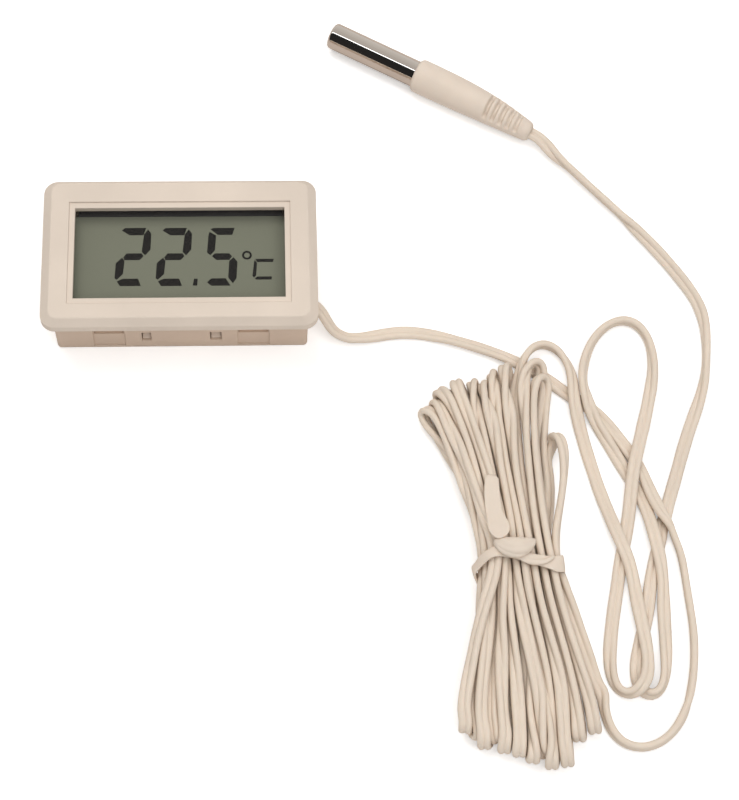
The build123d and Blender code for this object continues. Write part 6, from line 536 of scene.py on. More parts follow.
# Centre line from the case to the boot. Each row is x y z in 0.01 mm, then the unit vector
# across the lead's width in 0.001. Commas and line ends part the rows; within a row a space
# or a minus sign starts the next number.
LEAD_ROWS = """
2275-650 570 170 985-38,2345-663 554 273 958-86,2405-691 526 420 883-209
2457-731 489 478 819-317,2504-780 445 491 782-383,2547-833 397 480 772-417
2589-887 346 439 784-438,2633-938 295 363 815-453,2682-983 247 260 854-452
2737-1018 204 153 883-444,2799-1044 166 74 889-453,2866-1064 134 22 883-470
2936-1078 109 7 869-495,3010-1086 99 21 859-511,3086-1088 99-13 855-519
3164-1084 98-86 866-493,3243-1076 92-145 903-405,3322-1064 85-178 943-281
3401-1050 78-189 969-156,3481-1035 72-187 980-67,3560-1020 70-177 983-40
3640-1007 71-157 986-49,3719-995 71-128 990-55,3799-986 71-92 994-57
3878-980 71-51 997-56,3958-978 71-9 999-51,4037-979 71 34 998-45
4117-983 70 76 996-37,4196-991 70 115 993-28,4275-1002 70 152 988-20
4354-1015 70 185 983-13,4432-1031 70 214 976-40,4510-1050 75 244 962-120
4588-1069 82 269 935-230,4665-1091 88 280 898-339,4742-1113 93 276 864-420
4819-1137 95 269 851-452,4895-1161 95 271 850-452,4971-1185 95 277 847-453
5047-1210 95 284 845-453,5123-1236 95 290 843-454,5199-1262 95 297 840-454
5274-1289 95 305 837-455,5349-1317 95 312 833-456,5424-1346 95 321 830-456
5499-1375 95 331 826-457,5573-1405 96 342 820-459,5646-1436 96 355 814-460
5719-1469 96 366 808-462,5791-1503 94 379 818-433,5863-1539 89 408 842-352
5933-1576 82 451 860-240,6002-1616 75 493 862-121,6071-1657 70 520 854-27
6139-1699 70 533 846 15,6207-1742 70 539 842 22,6275-1786 70 543 839 28
6343-1830 70 550 834 33,6410-1876 70 566 824 36,6476-1922 70 592 805 36
6540-1971 70 623 782 33,6602-2022 70 645 764 27,6662-2074 69 650 760 20
6722-2125 69 639 769 12,6784-2175 69 620 784 5,6847-2224 68 601 800-1
6911-2271 68 585 811-3,6977-2317 68 578 816-3,7042-2363 68 581 814-1
7106-2410 68 594 804 2,7170-2458 68 616 788 6,7232-2508 69 647 762 12
7291-2561 69 685 728 19,7348-2617 70 724 690 27,7402-2677 70 758 652 34
7454-2740 70 784 619 40,7503-2806 71 803 594 45,7551-2872 71 816 576 46
7598-2940 71 825 563 45,7643-3008 71 833 552 42,7688-3076 70 840 542 36
7731-3144 70 846 532 27,7774-3212 69 853 522 16,7815-3281 68 859 511 1
7856-3350 69 866 499-20,7895-3419 71 875 482-51,7932-3488 74 884 457-94
7967-3558 77 895 421-149,8000-3630 82 906 369-209,8030-3703 91 914 305-267
8056-3777 104 919 242-313,8079-3852 120 921 193-339,8100-3929 137 924 167-344
8119-4007 154 930 167-329,8140-4084 171 936 189-296,8161-4161 187 941 226-254
8184-4237 201 940 271-208,8210-4312 213 930 312-193,8239-4386 221 909 343-236
8269-4460 226 870 359-338,8301-4532 228 805 339-486,8336-4604 235 705 296-645
8374-4677 242 541 303-785,8416-4749 234 335 389-858,8450-4820 206 193 451-871
8476-4890 174 138 408-903,8500-4961 150 139 318-938,8525-5034 133 168 213-962
8548-5108 127 194 95-977,8567-5184 127 192 38-981,8582-5261 127 177 28-984
8595-5339 127 163 20-986,8605-5417 127 152 15-988,8612-5497 127 144 12-990
8618-5577 127 137 9-990,8624-5657 127 134 8-991,8628-5737 127 132 8-991
8633-5817 127 132 8-991,8638-5897 127 133 8-991,8643-5977 127 135 9-991
8648-6057 127 136 9-991,8653-6137 127 136 9-991,8659-6217 127 135 8-991
8664-6297 127 132 7-991,8668-6377 128 128 6-992,8672-6457 128 123 4-992
8674-6536 128 116 2-993,8675-6616 128 109 0-994,8674-6696 128 100-2-995
8672-6776 128 92-4-996,8669-6856 128 83-5-997,8663-6936 128 73-6-997
8656-7016 128 64-7-998,8648-7096 128 54-7-998,8638-7176 128 45-6-999
8626-7256 128 35-6-999,8613-7336 128 24-4-1000,8598-7416 128 12-2-1000
8581-7495 128 0 0-1000,8563-7574 128-14 4-1000,8542-7653 128-29 8-1000
8520-7732 128-21 7-1000,8494-7810 128 25-7-1000,8466-7887 128 96-31-995
8436-7962 127 170-63-983,8401-8037 126 229-102-968,8364-8109 125 252-136-958
8322-8180 126 240-155-958,8276-8247 126 201-163-966,8226-8312 128 158-156-975
8170-8374 129 125-139-982,8110-8431 130 99-126-987,8045-8482 130 76-113-991
7974-8528 130 54-98-994,7899-8566 131 35-80-996,7820-8595 131 19-62-998
7738-8615 130 8-45-999,7655-8624 130 2-32-999,7572-8621 130-1-27-1000
7491-8606 130-4-32-999,7414-8580 130-12-44-999,7344-8542 129-28-62-998
7280-8494 128-56-78-995,7225-8436 128-95-86-992,7179-8372 127-136-89-987
7141-8301 127-177-87-980,7111-8225 126-219-63-974,7088-8147 129-254-25-967
7069-8066 133-277 10-961,7054-7985 140-330 61-942,7044-7903 153-458 129-880
7038-7820 173-668 95-738,7024-7737 193-859-145-491,6995-7657 201-922-354-155
6962-7579 198-930-356 88,6935-7501 198-937-303 175,6912-7424 201-948-281 148
6891-7347 207-960-273 63,6869-7271 214-964-265-23,6848-7194 224-962-253-102
6827-7118 236-955-242-170,6805-7043 249-946-234-226,6783-6967 263-936-227-269
6761-6892 277-927-221-303,6738-6817 291-919-215-330,6715-6742 306-912-208-353
6692-6666 320-905-200-376,6669-6591 335-896-191-402,6647-6516 350-883-180-433
6624-6441 365-865-167-473,6602-6365 379-840-152-521,6580-6290 392-804-136-578
6558-6214 404-757-119-642,6537-6138 415-697-99-710,6516-6062 424-625-78-777
6496-5986 433-541-55-840,6477-5909 440-447-31-894,6458-5831 446-346-14-938
6439-5754 451-243 7-970,6424-5675 456-144 28-989,6412-5597 460-49 38-998
6401-5518 463 37 42-998,6393-5439 466 112 42-993,6387-5360 468 174 37-984
6383-5281 470 223 27-975,6381-5202 471 257 13-966,6384-5124 473 277-4-961
6390-5045 473 282-21-959,6399-4966 474 276-34-961,6412-4888 474 259-42-965
6426-4810 474 235-43-971,6443-4732 475 206-38-978,6460-4654 475 175-28-984
6478-4576 476 146-14-989,6496-4498 478 122 3-992,6513-4419 481 106 20-994
6530-4341 485 101 35-994,6546-4261 490 108 49-993,6560-4182 496 129 60-990
6574-4101 504 164 69-984,6586-4020 512 213 75-974,6596-3939 521 274 79-958
6605-3857 531 345 81-935,6612-3775 541 423 80-903,6616-3693 551 504 77-860
6618-3612 559 583 72-809,6616-3533 565 658 66-750,6611-3455 567 725 61-686
6602-3382 563 783 58-620,6588-3313 551 829 60-556,6569-3252 528 863 69-500
6545-3201 493 886 86-455,6519-3167 448 913 99-396,6500-3154 396 961 151-232
6499-3164 344 925 359-127,6507-3195 291 853 410-321,6496-3240 236 756 294-585
6465-3299 190 607 184-773,6436-3368 162 456 104-884,6416-3441 149 307 63-949
6403-3517 142 151 68-986,6397-3596 136-17 83-996,6394-3677 129-190 77-979
6392-3758 124-358 66-931,6389-3839 119-514 73-855,6386-3920 114-652 79-754
6380-4001 110-766 84-637,6374-4082 106-853 96-512,6366-4163 103-913 109-393
6357-4245 101-950 121-289,6347-4326 99-969 132-211,6335-4409 98-976 145-163
6322-4491 99-976 160-147,6308-4573 103-972 175-159,6291-4655 110-964 185-191
6273-4736 121-954 184-235,6254-4818 133-950 144-277,6241-4899 145-935 143-323
6220-4981 164-908 187-376,6201-5057 174-905 152-398,6192-5128 183-914 42-403
6189-5198 187-910-2-414,6186-5274 189-908-7-418,6186-5354 190-907-25-420
6189-5432 190-905-45-422,6195-5509 191-902-65-427,6202-5586 192-895-73-439
6209-5657 193-883-85-462,6219-5723 189-858-130-497,6237-5795 179-814-181-552
6263-5876 169-749-214-627,6299-5960 159-664-218-715,6342-6044 147-558-194-807
6386-6124 139-426-155-892,6427-6201 134-275-99-956,6467-6279 131-117-26-993
6503-6357 129 44 46-998,6534-6435 127 199 111-974,6562-6514 124 345 160-925
6587-6593 120 476 189-859,6610-6672 116 592 203-780,6631-6751 113 688 210-695
6650-6830 110 766 210-607,6669-6908 107 828 207-521,6686-6987 104 876 201-439
6703-7066 101 911 193-364,6718-7145 99 937 184-297,6732-7224 97 956 174-237
6745-7302 95 969 164-186,6758-7381 94 978 153-142,6770-7459 93 984 142-105
6781-7538 92 988 132-75,6792-7616 92 991 122-49,6802-7694 92 993 112-26
6812-7772 93 994 108-7,6821-7850 94 993 116 12,6830-7928 96 992 124 33
6840-8007 98 991 123 56,6849-8085 101 989 119 84,6858-8162 108 987 114 117
6863-8234 125 982 106 153,6865-8295 156 978 98 186,6860-8341 200 974 93 207
6850-8366 254 974 85 212,6838-8367 311 975 67 212,6825-8344 365 974 43 223
6813-8301 409 969 27 247,6803-8242 440 959 25 283,6795-8172 458 944 42 327
6787-8096 465 924 73 374,6778-8018 466 898 110 426,6766-7939 467 865 139 483
6752-7861 467 827 152 541,6737-7783 469 787 151 598,6721-7706 470 745 143 651
6704-7630 473 701 134 700,6687-7553 475 656 123 745,6669-7476 478 610 111 785
6651-7400 481 564 99 820,6633-7323 485 519 87 850,6615-7247 488 476 75 876
6596-7170 492 436 63 898,6578-7093 496 399 51 916,6559-7017 500 365 39 930
6541-6940 504 336 28 942,6522-6864 509 309 17 951,6504-6787 514 286 7 958
6486-6710 519 266-3 964,6468-6634 524 248-11 969,6451-6557 529 232-19 972
6434-6480 535 218-26 976,6417-6403 540 205-32 978,6401-6326 546 193-36 981
6386-6249 552 181-40 983,6371-6172 557 169-43 985,6357-6095 563 157-44 987
6343-6018 568 144-45 989,6330-5940 573 130-45 991,6318-5863 578 114-43 993
6306-5786 582 96-41 995,6294-5708 586 76-39 996,6283-5630 589 54-35 998
6273-5553 592 30-32 999,6263-5475 594 3-27 1000,6253-5397 596-27-23 999
6244-5319 598-58-19 998,6236-5240 598-91-14 996,6229-5162 599-125-10 992
6222-5084 599-157-6 988,6215-5005 598-189-2 982,6209-4926 597-218 1 976
6203-4848 595-243 5 970,6197-4769 594-264 8 964,6192-4690 592-281 10 960
6186-4611 590-292 13 956,6182-4532 587-300 15 954,6177-4452 585-303 16 953
6173-4373 583-303 17 953,6169-4294 580-300 17 954,6165-4214 578-296 18 955
6162-4135 575-291 17 956,6158-4056 573-286 17 958,6155-3976 571-282 16 959
6152-3897 568-278 15 961,6149-3818 566-274 15 962,6146-3738 564-270 14 963
6144-3659 562-266 14 964,6142-3580 560-260 14 965,6140-3501 559-252 15 968
6138-3422 557-242 15 970,6137-3343 555-228 17 974,6137-3265 553-210 18 977
6136-3186 552-189 20 982,6136-3108 550-164 21 986,6137-3030 549-137 23 990
6138-2952 547-106 23 994,6140-2874 545-75 24 997,6142-2797 544-42 24 999
6145-2719 542-8 22 1000,6148-2642 540 25 19 999,6153-2565 538 59 15 998
6160-2488 537 96 12 995,6169-2411 534 141 10 990,6183-2335 531 203 13 979
6199-2260 526 288 28 957,6217-2191 517 395 49 917,6243-2132 500 511 50 858
6277-2084 475 612 20 791,6316-2053 441 679-25 734,6357-2043 403 714-41 699
6390-2059 367 768 13 640,6411-2099 340 878 20 477,6419-2157 317 953-63 297
6416-2221 294 980-140 142,6407-2287 275 982-185 29,6394-2354 263 980-194-32
6382-2422 255 983-177-51,6371-2490 250 987-155-33,6361-2560 247 990-139 17
6352-2630 245 987-128 95,6343-2700 244 974-117 192,6335-2771 244 948-105 301
6327-2843 245 906-91 414,6320-2915 246 849-74 523,6313-2987 247 781-56 622
6307-3061 249 706-42 707,6301-3134 251 633-30 773,6297-3209 252 570-16 822
6294-3284 253 522-6 853,6292-3360 253 495-2 869,6290-3436 254 490 0 872
6289-3512 254 509 5 861,6288-3589 255 550 9 835,6287-3666 256 609 12 793
6287-3743 258 682 12 731,6286-3821 259 764 10 646,6285-3898 262 845 6 534
6283-3976 264 919-2 395,6281-4054 267 973-12 229,6279-4132 270 999-26 40
6277-4210 274 985-41-165,6274-4289 278 925-57-375,6271-4367 283 815-71-575
6267-4445 288 657-82-749,6263-4523 293 460-89-884,6258-4602 299 237-90-967
6254-4680 306 6-86-996,6249-4759 312-216-76-973,6244-4837 319-414-62-908
6239-4916 326-580-48-813,6234-4995 332-708-27-706,6230-5074 337-802-2-597
6227-5153 341-868 6-497,6226-5233 342-909-1-416,6225-5312 343-933-4-359
6225-5392 343-945-3-326,6226-5471 342-949 0-316,6228-5550 341-945 6-328
6231-5628 338-933-1-361,6236-5707 334-910-34-412,6244-5785 327-872-64-485
6256-5863 317-824-68-562,6270-5941 306-768-54-638,6285-6018 294-701-35-713
6301-6095 283-621-14-784,6317-6172 272-530 7-848,6334-6248 261-431 28-902
6350-6324 251-327 47-944,6366-6400 242-221 64-973,6383-6476 233-118 79-990
6398-6552 225-21 92-996,6414-6628 218 68 102-992,6430-6705 212 148 110-983
6445-6781 205 216 114-970,6459-6857 200 274 116-955,6473-6934 195 322 115-940
6486-7010 191 360 112-926,6499-7087 187 389 107-915,6512-7163 183 413 102-905
6523-7240 180 431 96-897,6534-7317 177 447 89-890,6545-7394 175 462 83-883
6554-7471 173 478 77-875,6563-7548 171 497 72-865,6571-7624 169 521 67-851
6579-7701 167 551 64-832,6586-7778 166 589 61-806,6593-7855 164 636 60-770
6599-7932 162 691 61-720,6604-8009 160 755 63-652,6608-8086 158 825 63-562
6611-8163 155 892 50-449,6614-8240 153 948 14-318,6614-8315 156 983-45-176
6610-8383 169 994-106-29,6602-8441 195 985-129 111,6590-8483 235 972-104 209
6576-8502 285 965-70 253,6562-8497 338 960-62 272,6550-8467 385 950-75 302
6542-8417 420 929-81 362,6539-8352 439 896-56 440,6538-8278 446 854-9 520
6536-8201 445 802 31 597,6533-8124 444 741 48 669,6528-8047 443 680 50 731
6522-7970 443 624 46 780,6515-7893 444 574 42 818,6507-7817 446 531 38 847
6497-7740 448 494 35 869,6487-7664 450 463 33 886,6477-7587 453 437 31 899
6465-7511 456 415 29 910,6453-7434 458 395 27 918,6441-7358 462 377 25 926
6427-7281 465 361 23 932,6413-7205 469 345 20 938,6399-7129 473 329 16 944
6384-7052 477 313 12 950,6369-6976 481 297 7 955,6353-6900 486 281 1 960
6337-6824 491 265-6 964,6320-6747 496 249-13 968,6304-6671 501 234-20 972
6288-6595 507 219-28 975,6272-6519 513 205-35 978,6256-6443 519 191-42 981
6241-6367 525 178-48 983,6226-6291 531 167-53 985,6212-6215 538 156-57 986
6199-6139 544 145-60 988,6186-6062 550 135-61 989,6173-5986 556 125-62 990
6162-5909 562 114-62 992,6151-5832 567 102-60 993,6141-5755 573 87-57 995
6131-5678 577 70-54 996,6122-5601 582 49-50 998,6113-5523 585 23-46 999
6105-5445 589-7-41 999,6097-5368 591-44-36 998,6090-5290 594-86-30 996
6083-5211 595-132-25 991,6077-5133 596-182-20 983,6071-5055 596-234-15 972
6065-4976 596-285-10 958,6060-4898 595-334-6 943,6055-4819 594-377-2 926
6050-4740 592-413 2 911,6046-4661 590-440 5 898,6041-4582 588-457 9 889
6037-4503 585-465 12 885,6034-4423 582-463 15 886,6030-4344 579-453 17 891
6026-4265 576-436 20 900,6023-4185 573-415 21 910,6020-4106 570-391 23 920
6016-4026 567-367 24 930,6013-3947 564-344 24 939,6010-3867 561-323 24 946
6007-3787 558-305 24 952,6005-3707 555-289 23 957,6002-3628 552-273 23 962
6000-3548 550-257 23 966,5997-3468 547-238 23 971,5995-3388 544-212 24 977
5994-3308 542-179 25 984,5992-3228 540-135 26 990,5991-3148 537-78 27 997
5990-3068 535-7 28 1000,5990-2988 533 81 29 996,5990-2909 530 183 28 983
5990-2829 528 299 26 954,5991-2749 526 425 22 905,5992-2669 523 557 15 830
5993-2589 521 687 7 726,5995-2509 518 808-3 590,5997-2429 516 908-11 419
5999-2349 514 976-31 217,6004-2269 511 996-86-10,6013-2189 508 956-161-246
6028-2109 503 851-228-474,6048-2032 496 683-283-674,6073-1960 487 460-320-828
6104-1893 474 206-328-922,6140-1834 457-55-301-952,6181-1784 435-294-240-925
6227-1747 407-483-141-864,6275-1729 374-598-23-801,6319-1735 337-653 65-755
6353-1768 302-710 104-696,6369-1821 272-793 147-591,6370-1885 248-866 204-457
6364-1951 225-920 227-321,6356-2017 205-958 199-205,6348-2084 188-981 161-105
6339-2152 176-990 137-20,6330-2220 165-992 122 45,6321-2290 156-990 111 90
6313-2359 148-987 104 120,6304-2429 140-986 100 135,6296-2500 133-985 97 139
6288-2572 127-986 95 135,6281-2643 121-988 93 125,6274-2716 116-989 91 113
6266-2789 111-991 89 101,6259-2863 106-992 86 92,6253-2937 103-993 83 89
6246-3012 99-992 80 95,6240-3087 96-991 79 111,6233-3163 94-987 81 138
6226-3240 94-981 85 176,6220-3316 95-970 89 227,6213-3394 97-953 92 288
6206-3471 100-929 93 359,6199-3549 103-895 93 436,6192-3628 106-851 93 517
6186-3706 109-797 93 597,6178-3785 112-732 92 675,6171-3865 116-660 91 746
6164-3944 119-582 89 809,6156-4024 123-500 87 862,6149-4104 127-418 83 905
6141-4184 131-338 79 938,6133-4264 135-260 75 963,6124-4345 139-187 71 980
6115-4425 143-119 67 991,6106-4506 148-56 63 996,6096-4587 153 1 59 998
6087-4668 158 54 56 997,6077-4749 163 102 54 993,6067-4830 169 145 52 988
6057-4911 174 183 53 982,6047-4992 180 216 54 975,6039-5073 185 243 50 969
6033-5154 189 263 35 964,6031-5235 193 277 21 961,6031-5315 194 285 16 958
6032-5395 195 286 11 958,6035-5475 195 279 4 960,6040-5554 193 265 2 964
6047-5632 190 242 5 970,6056-5709 186 215-55 975,6068-5786 180 183-98 978
6082-5862 174 129-74 989,6096-5938 168 71-74 995,6112-6013 161 7-85 996
6128-6088 155-67-95 993,6144-6164 149-148-106 983,6161-6239 144-234-120 965
6178-6314 139-324-135 936,6195-6389 134-416-151 897,6212-6464 129-505-166 847
6229-6540 124-590-181 787,6246-6615 120-669-192 718,6263-6691 116-739-199 643
6279-6766 112-801-199 565,6294-6842 108-853-195 484,6308-6917 105-895-186 405
6321-6993 102-928-174 328,6333-7069 99-953-159 256,6344-7145 96-971-142 191
6353-7222 94-983-124 133,6362-7298 92-991-104 83,6369-7375 91-996-84 42
6375-7452 90-998-65 11,6380-7529 90-999-47-13,6383-7606 91-999-31-28
6385-7684 92-999-18-37,6387-7761 93-999-9-40,6387-7839 95-999-2-40
6387-7917 97-999 5-37,6387-7994 100-999 11-33,6386-8072 102-999 18-31
6384-8149 104-999 23-31,6383-8227 106-999 28-35,6381-8304 109-998 32-45
6379-8382 111-998 32-60,6377-8460 113-996 26-82,6375-8538 114-994 15-111
6374-8616 116-990-2-143,6374-8694 120-985-22-173,6374-8768 132-980-42-196
6372-8832 157-977-57-205,6367-8881 196-977-66-203,6359-8910 247-979-75-192
6349-8914 303-982-92-167,6339-8894 356-986-114-118,6330-8852 399-991-128-45
6323-8794 429-991-124 41,6317-8726 444-987-104 125,6311-8650 449-978-71 198
6307-8572 448-966-33 257,6305-8494 447-953-6 301,6305-8415 448-945 3 328
6305-8338 449-942 4 335,6306-8260 451-946 3 325,6306-8183 454-954 1 299
6307-8105 457-966 0 259,6307-8027 460-979 1 206,6307-7950 463-990 0 140
6306-7872 466-998-12 63,6305-7794 470-999-33-25,6302-7716 473-991-55-121
6296-7638 476-972-76-222,6288-7561 478-940-96-327,6278-7484 481-897-109-429
6267-7408 483-844-107-526,6255-7331 487-783-98-614,6242-7255 490-717-87-692
6229-7178 494-646-75-760,6215-7102 498-574-60-816,6201-7026 503-503-44-863
6186-6950 508-435-26-900,6171-6874 514-369-7-929,6156-6798 520-308 12-951
6141-6723 526-251 31-968,6125-6647 533-198 49-979,6110-6572 540-149 66-987
6095-6496 547-104 81-991,6080-6420 555-63 94-994,6066-6345 563-25 106-994
6053-6269 571 9 115-993,6040-6193 580 41 122-992,6028-6117 589 69 128-989
6016-6041 599 96 132-987,6006-5965 609 120 135-984,5996-5889 619 141 139-980
5987-5813 630 160 148-976,5979-5736 641 176 146-973,5970-5659 649 192 119-974
5960-5580 655 206 80-975,5949-5501 658 214 44-976,5938-5422 658 215 20-977
5928-5343 657 208 14-978,5917-5265 654 195 13-981,5907-5186 652 177 7-984
5896-5108 649 155-5-988,5886-5029 646 130-18-991,5877-4951 643 102-32-994
5867-4872 639 73-46-996,5857-4793 635 46-57-997,5847-4714 630 21-64-998
5837-4635 625-1-68-998,5828-4556 620-18-70-997,5819-4477 614-30-71-997
5810-4397 609-37-70-997,5801-4318 604-41-68-997,5793-4239 600-42-66-997
5785-4159 595-43-63-997,5778-4080 590-44-60-997,5771-4000 586-48-58-997
5766-3920 582-57-55-997,5761-3841 578-71-53-996,5756-3761 574-94-50-994
5752-3681 570-126-49-991,5748-3602 567-169-47-984,5744-3522 564-225-46-973
5741-3442 561-294-45-955,5738-3362 558-377-43-925,5735-3282 556-472-40-881
5733-3202 553-575-36-817,5731-3122 551-683-29-730,5730-3042 549-788-21-616
5729-2962 547-881-20-473,5727-2882 545-952-32-304,5725-2802 543-992-53-113
5720-2723 541-993-71 93,5713-2643 538-950-75 302,5706-2564 535-863-59 501
5698-2485 532-734-36 679,5692-2406 530-566-20 824,5685-2326 527-371-6 929
5679-2245 525-160 22 987,5674-2165 521 56 71 996,5670-2086 514 265 137 954
5670-2010 500 459 205 864,5673-1941 478 626 258 736,5680-1879 446 758 284 587
5689-1830 404 852 274 446,5703-1797 352 909 233 347,5720-1787 296 934 199 298
5739-1802 242 946 198 257,5757-1843 198 963 195 186,5772-1904 169 981 166 102
5783-1976 155 991 131 22,5792-2052 152 994 96-59,5799-2129 154 988 65-142
5804-2206 156 973 51-223,5809-2283 157 953 49-299,5813-2360 158 929 47-367
5817-2437 158 902 43-430,5821-2514 159 872 39-488,5824-2591 160 842 34-539
5828-2669 161 811 29-584,5832-2746 163 781 26-623,5835-2825 164 754 23-657
5839-2903 165 729 20-684,5843-2981 167 708 17-706,5846-3060 169 691 15-722
5850-3139 171 679 13-734,5853-3218 173 671 11-742,5857-3297 175 667 10-745
5861-3376 177 666 9-746,5864-3455 179 668 8-744,5868-3535 182 672 7-741
5872-3614 185 676 6-737,5875-3694 188 680 4-733,5879-3773 191 683 3-730
5882-3852 194 683 0-730,5886-3932 198 680-2-733,5889-4011 201 672-6-741
5893-4090 205 657-10-753,5896-4169 209 636-15-771,5899-4249 214 608-20-794
5902-4328 218 570-26-821,5905-4407 223 524-33-851,5908-4486 228 468-40-883
5910-4565 233 405-47-913,5913-4645 238 334-54-941,5915-4724 244 259-61-964
5917-4803 249 182-68-981,5919-4882 255 105-75-992,5922-4962 260 31-83-996
5924-5042 266-39-81-996,5927-5121 270-102-59-993,5930-5201 274-158-34-987
5933-5281 275-205-20-979,5936-5361 276-241-16-970,5940-5441 276-268-16-963
5945-5521 276-284-19-959,5951-5601 275-289-13-957,5957-5681 273-283 11-959
5964-5761 269-266 42-963,5972-5841 264-237 58-970,5980-5920 259-196 62-979
5988-5999 254-145 65-987,5997-6078 248-86 73-994,6006-6157 242-22 81-996
6015-6235 236 46 86-995,6023-6314 230 114 89-989,6032-6392 224 181 90-979
6041-6470 219 244 91-965,6050-6549 214 303 91-949,6059-6627 210 358 91-929
6068-6705 206 409 91-908,6077-6783 203 458 91-885,6087-6861 200 505 92-858
6097-6939 198 553 92-828,6107-7017 197 603 93-792,6117-7095 195 655 95-750
6127-7173 194 709 97-698,6137-7251 193 764 100-637,6146-7330 193 819 104-564
6156-7408 193 871 108-478,6165-7486 192 918 112-381,6175-7564 192 955 116-272
6184-7641 191 981 118-153,6193-7719 190 993 111-29,6202-7796 189 991 90 98
6208-7874 187 973 56 222,6212-7952 184 940 19 339,6214-8031 181 895-14 446
6213-8109 178 841-39 540,6211-8188 174 783-55 620,6207-8266 171 727-64 684
6203-8345 167 677-70 732,6198-8423 163 641-83 763,6193-8502 158 624-108 774
6187-8581 152 634-134 762,6177-8659 147 672-142 727,6162-8735 148 738-127 663
6142-8806 158 818-95 567,6123-8869 180 896-60 441,6106-8919 216 950-47 309
6092-8949 264 975-51 214,6081-8956 320 989-19 147,6076-8939 373 998 58 29
6075-8900 418 977 106-182,6080-8843 449 904 68-422,6088-8774 465 790-21-613
6098-8698 466 673-112-731,6105-8620 456 591-162-790,6108-8541 444 558-152-816
6110-8462 434 569-114-815,6111-8384 426 614-83-785,6111-8306 419 681-60-730
6110-8228 414 757-30-653,6108-8151 410 832 10-555,6103-8073 408 897 53-438
6097-7995 408 948 89-304,6088-7918 410 981 108-161,6080-7840 413 994 107-15
6071-7763 417 988 91 127,6064-7685 422 963 67 260,6057-7607 428 924 42 381
6052-7529 434 872 25 490,6046-7451 440 811 18 585,6039-7373 447 746 13 666
6031-7295 455 680 6 733,6023-7217 462 615-5 789,6014-7140 471 552-17 834
6004-7063 479 490-31 871,5994-6985 489 429-48 902,5983-6908 499 368-67 927
5971-6831 510 306-87 948,5960-6754 521 241-108 964,5949-6677 533 173-132 976
5938-6601 546 101-154 983,5926-6524 559 26-172 985,5915-6447 573-50-187 981
5904-6370 587-126-197 972,5893-6293 600-199-196 960,5882-6215 613-268-183 946
5872-6136 624-326-170 930,5862-6056 636-372-167 913,5852-5977 648-405-172 898
5844-5898 661-426-179 887,5836-5818 675-436-184 881,5828-5738 687-435-180 882
5820-5656 697-424-153 893,5811-5574 703-406-86 910,5802-5493 703-384 0 923
5793-5414 697-355 61 933,5785-5335 687-317 89 944,5777-5257 676-277 102 955
5770-5178 665-235 112 966,5763-5099 654-193 115 974,5756-5021 643-152 115 982
5749-4942 633-111 114 987,5741-4863 623-72 114 991,5732-4784 613-39 113 993
5722-4705 604-11 113 994,5712-4627 595 11 113 994,5702-4548 587 27 111 993
5692-4469 579 38 109 993,5682-4390 571 45 105 993,5672-4312 563 49 100 994
5662-4233 556 50 95 994,5652-4154 549 52 90 995,5643-4076 543 56 85 995
5633-3997 537 63 81 995,5624-3919 531 75 78 994,5614-3840 526 93 75 993
5605-3762 521 117 74 990,5595-3683 516 148 74 986,5586-3605 511 185 75 980
5577-3526 507 228 77 971,5568-3448 503 276 80 958,5559-3370 499 327 83 941
5550-3291 495 380 87 921,5541-3213 491 435 92 896,5532-3135 487 491 98 866
5523-3057 483 548 103 830,5514-2978 480 607 103 788,5505-2900 477 668 94 738
5498-2821 474 732 74 677,5494-2743 472 797 43 602,5493-2663 470 861 13 509
5493-2584 470 920 2 392,5492-2504 472 969 11 248,5489-2424 477 997 21 69
5487-2345 481 989 23-144,5486-2265 485 925 15-381,5485-2188 483 785-45-618
5483-2115 470 560-199-804,5480-2049 446 267-430-863,5477-1994 408-54-660-750
5476-1952 360-373-777-508,5481-1928 305-654-710-262,5492-1925 247-839-528-133
5510-1947 193-921-373-114,5530-1991 152-950-288-119,5549-2053 126-967-231-108
5564-2125 114-979-182-91,5576-2200 108-987-144-75,5586-2275 105-991-120-62
5596-2351 103-993-108-56,5604-2427 101-993-102-56,5612-2503 99-993-97-59
5620-2579 97-994-94-64,5627-2656 96-993-91-69,5635-2733 94-993-89-74
5642-2809 93-993-87-76,5649-2887 92-993-85-78,5655-2964 91-993-84-77
5662-3042 90-994-84-75,5669-3120 89-994-83-71,5676-3198 89-994-84-66
5682-3277 89-995-84-61,5689-3356 89-995-85-56,5696-3434 90-995-86-50
5703-3513 91-995-87-42,5710-3592 92-996-88-32,5717-3671 93-996-89-19
5724-3750 94-996-89 1,5731-3829 96-996-89 27,5738-3908 98-994-88 62
5745-3987 99-990-87 107,5752-4066 102-983-84 161,5759-4144 104-972-80 223
5767-4223 106-954-75 291,5774-4301 109-929-69 363,5781-4380 112-898-66 434
5788-4458 115-863-55 503,5794-4537 119-825-28 564,5799-4615 123-786-2 618
5803-4694 127-749 10 663,5806-4773 133-715 11 699,5809-4853 138-688 24 725
5812-4932 144-668 34 743,5814-5011 150-655 17 756,5817-5091 153-651 17 759
5819-5171 155-654 6 756,5821-5249 155-665-18 747,5824-5328 154-682-25 731
5826-5407 152-706-35 707,5828-5486 151-736-38 676,5830-5565 148-770-36 638
5833-5645 145-805-52 591,5836-5724 140-840-90 536,5840-5804 134-874-94 478
5844-5883 128-905-80 418,5848-5963 122-931-80 356,5853-6043 117-952-81 295
5858-6122 112-968-84 237,5865-6201 108-979-89 183,5871-6280 105-986-94 134
5879-6359 102-991-98 91,5886-6438 99-993-100 54,5894-6517 97-995-102 23
5902-6595 95-995-104-3,5909-6673 93-994-104-25,5917-6752 92-994-104-42
5925-6830 91-993-103-55,5933-6907 90-993-101-65,5940-6985 89-993-98-73
5947-7063 89-992-93-79,5954-7140 89-992-88-86,5960-7217 89-992-81-95
5966-7294 89-992-73-106,5971-7371 89-990-65-122,5975-7447 90-988-56-145
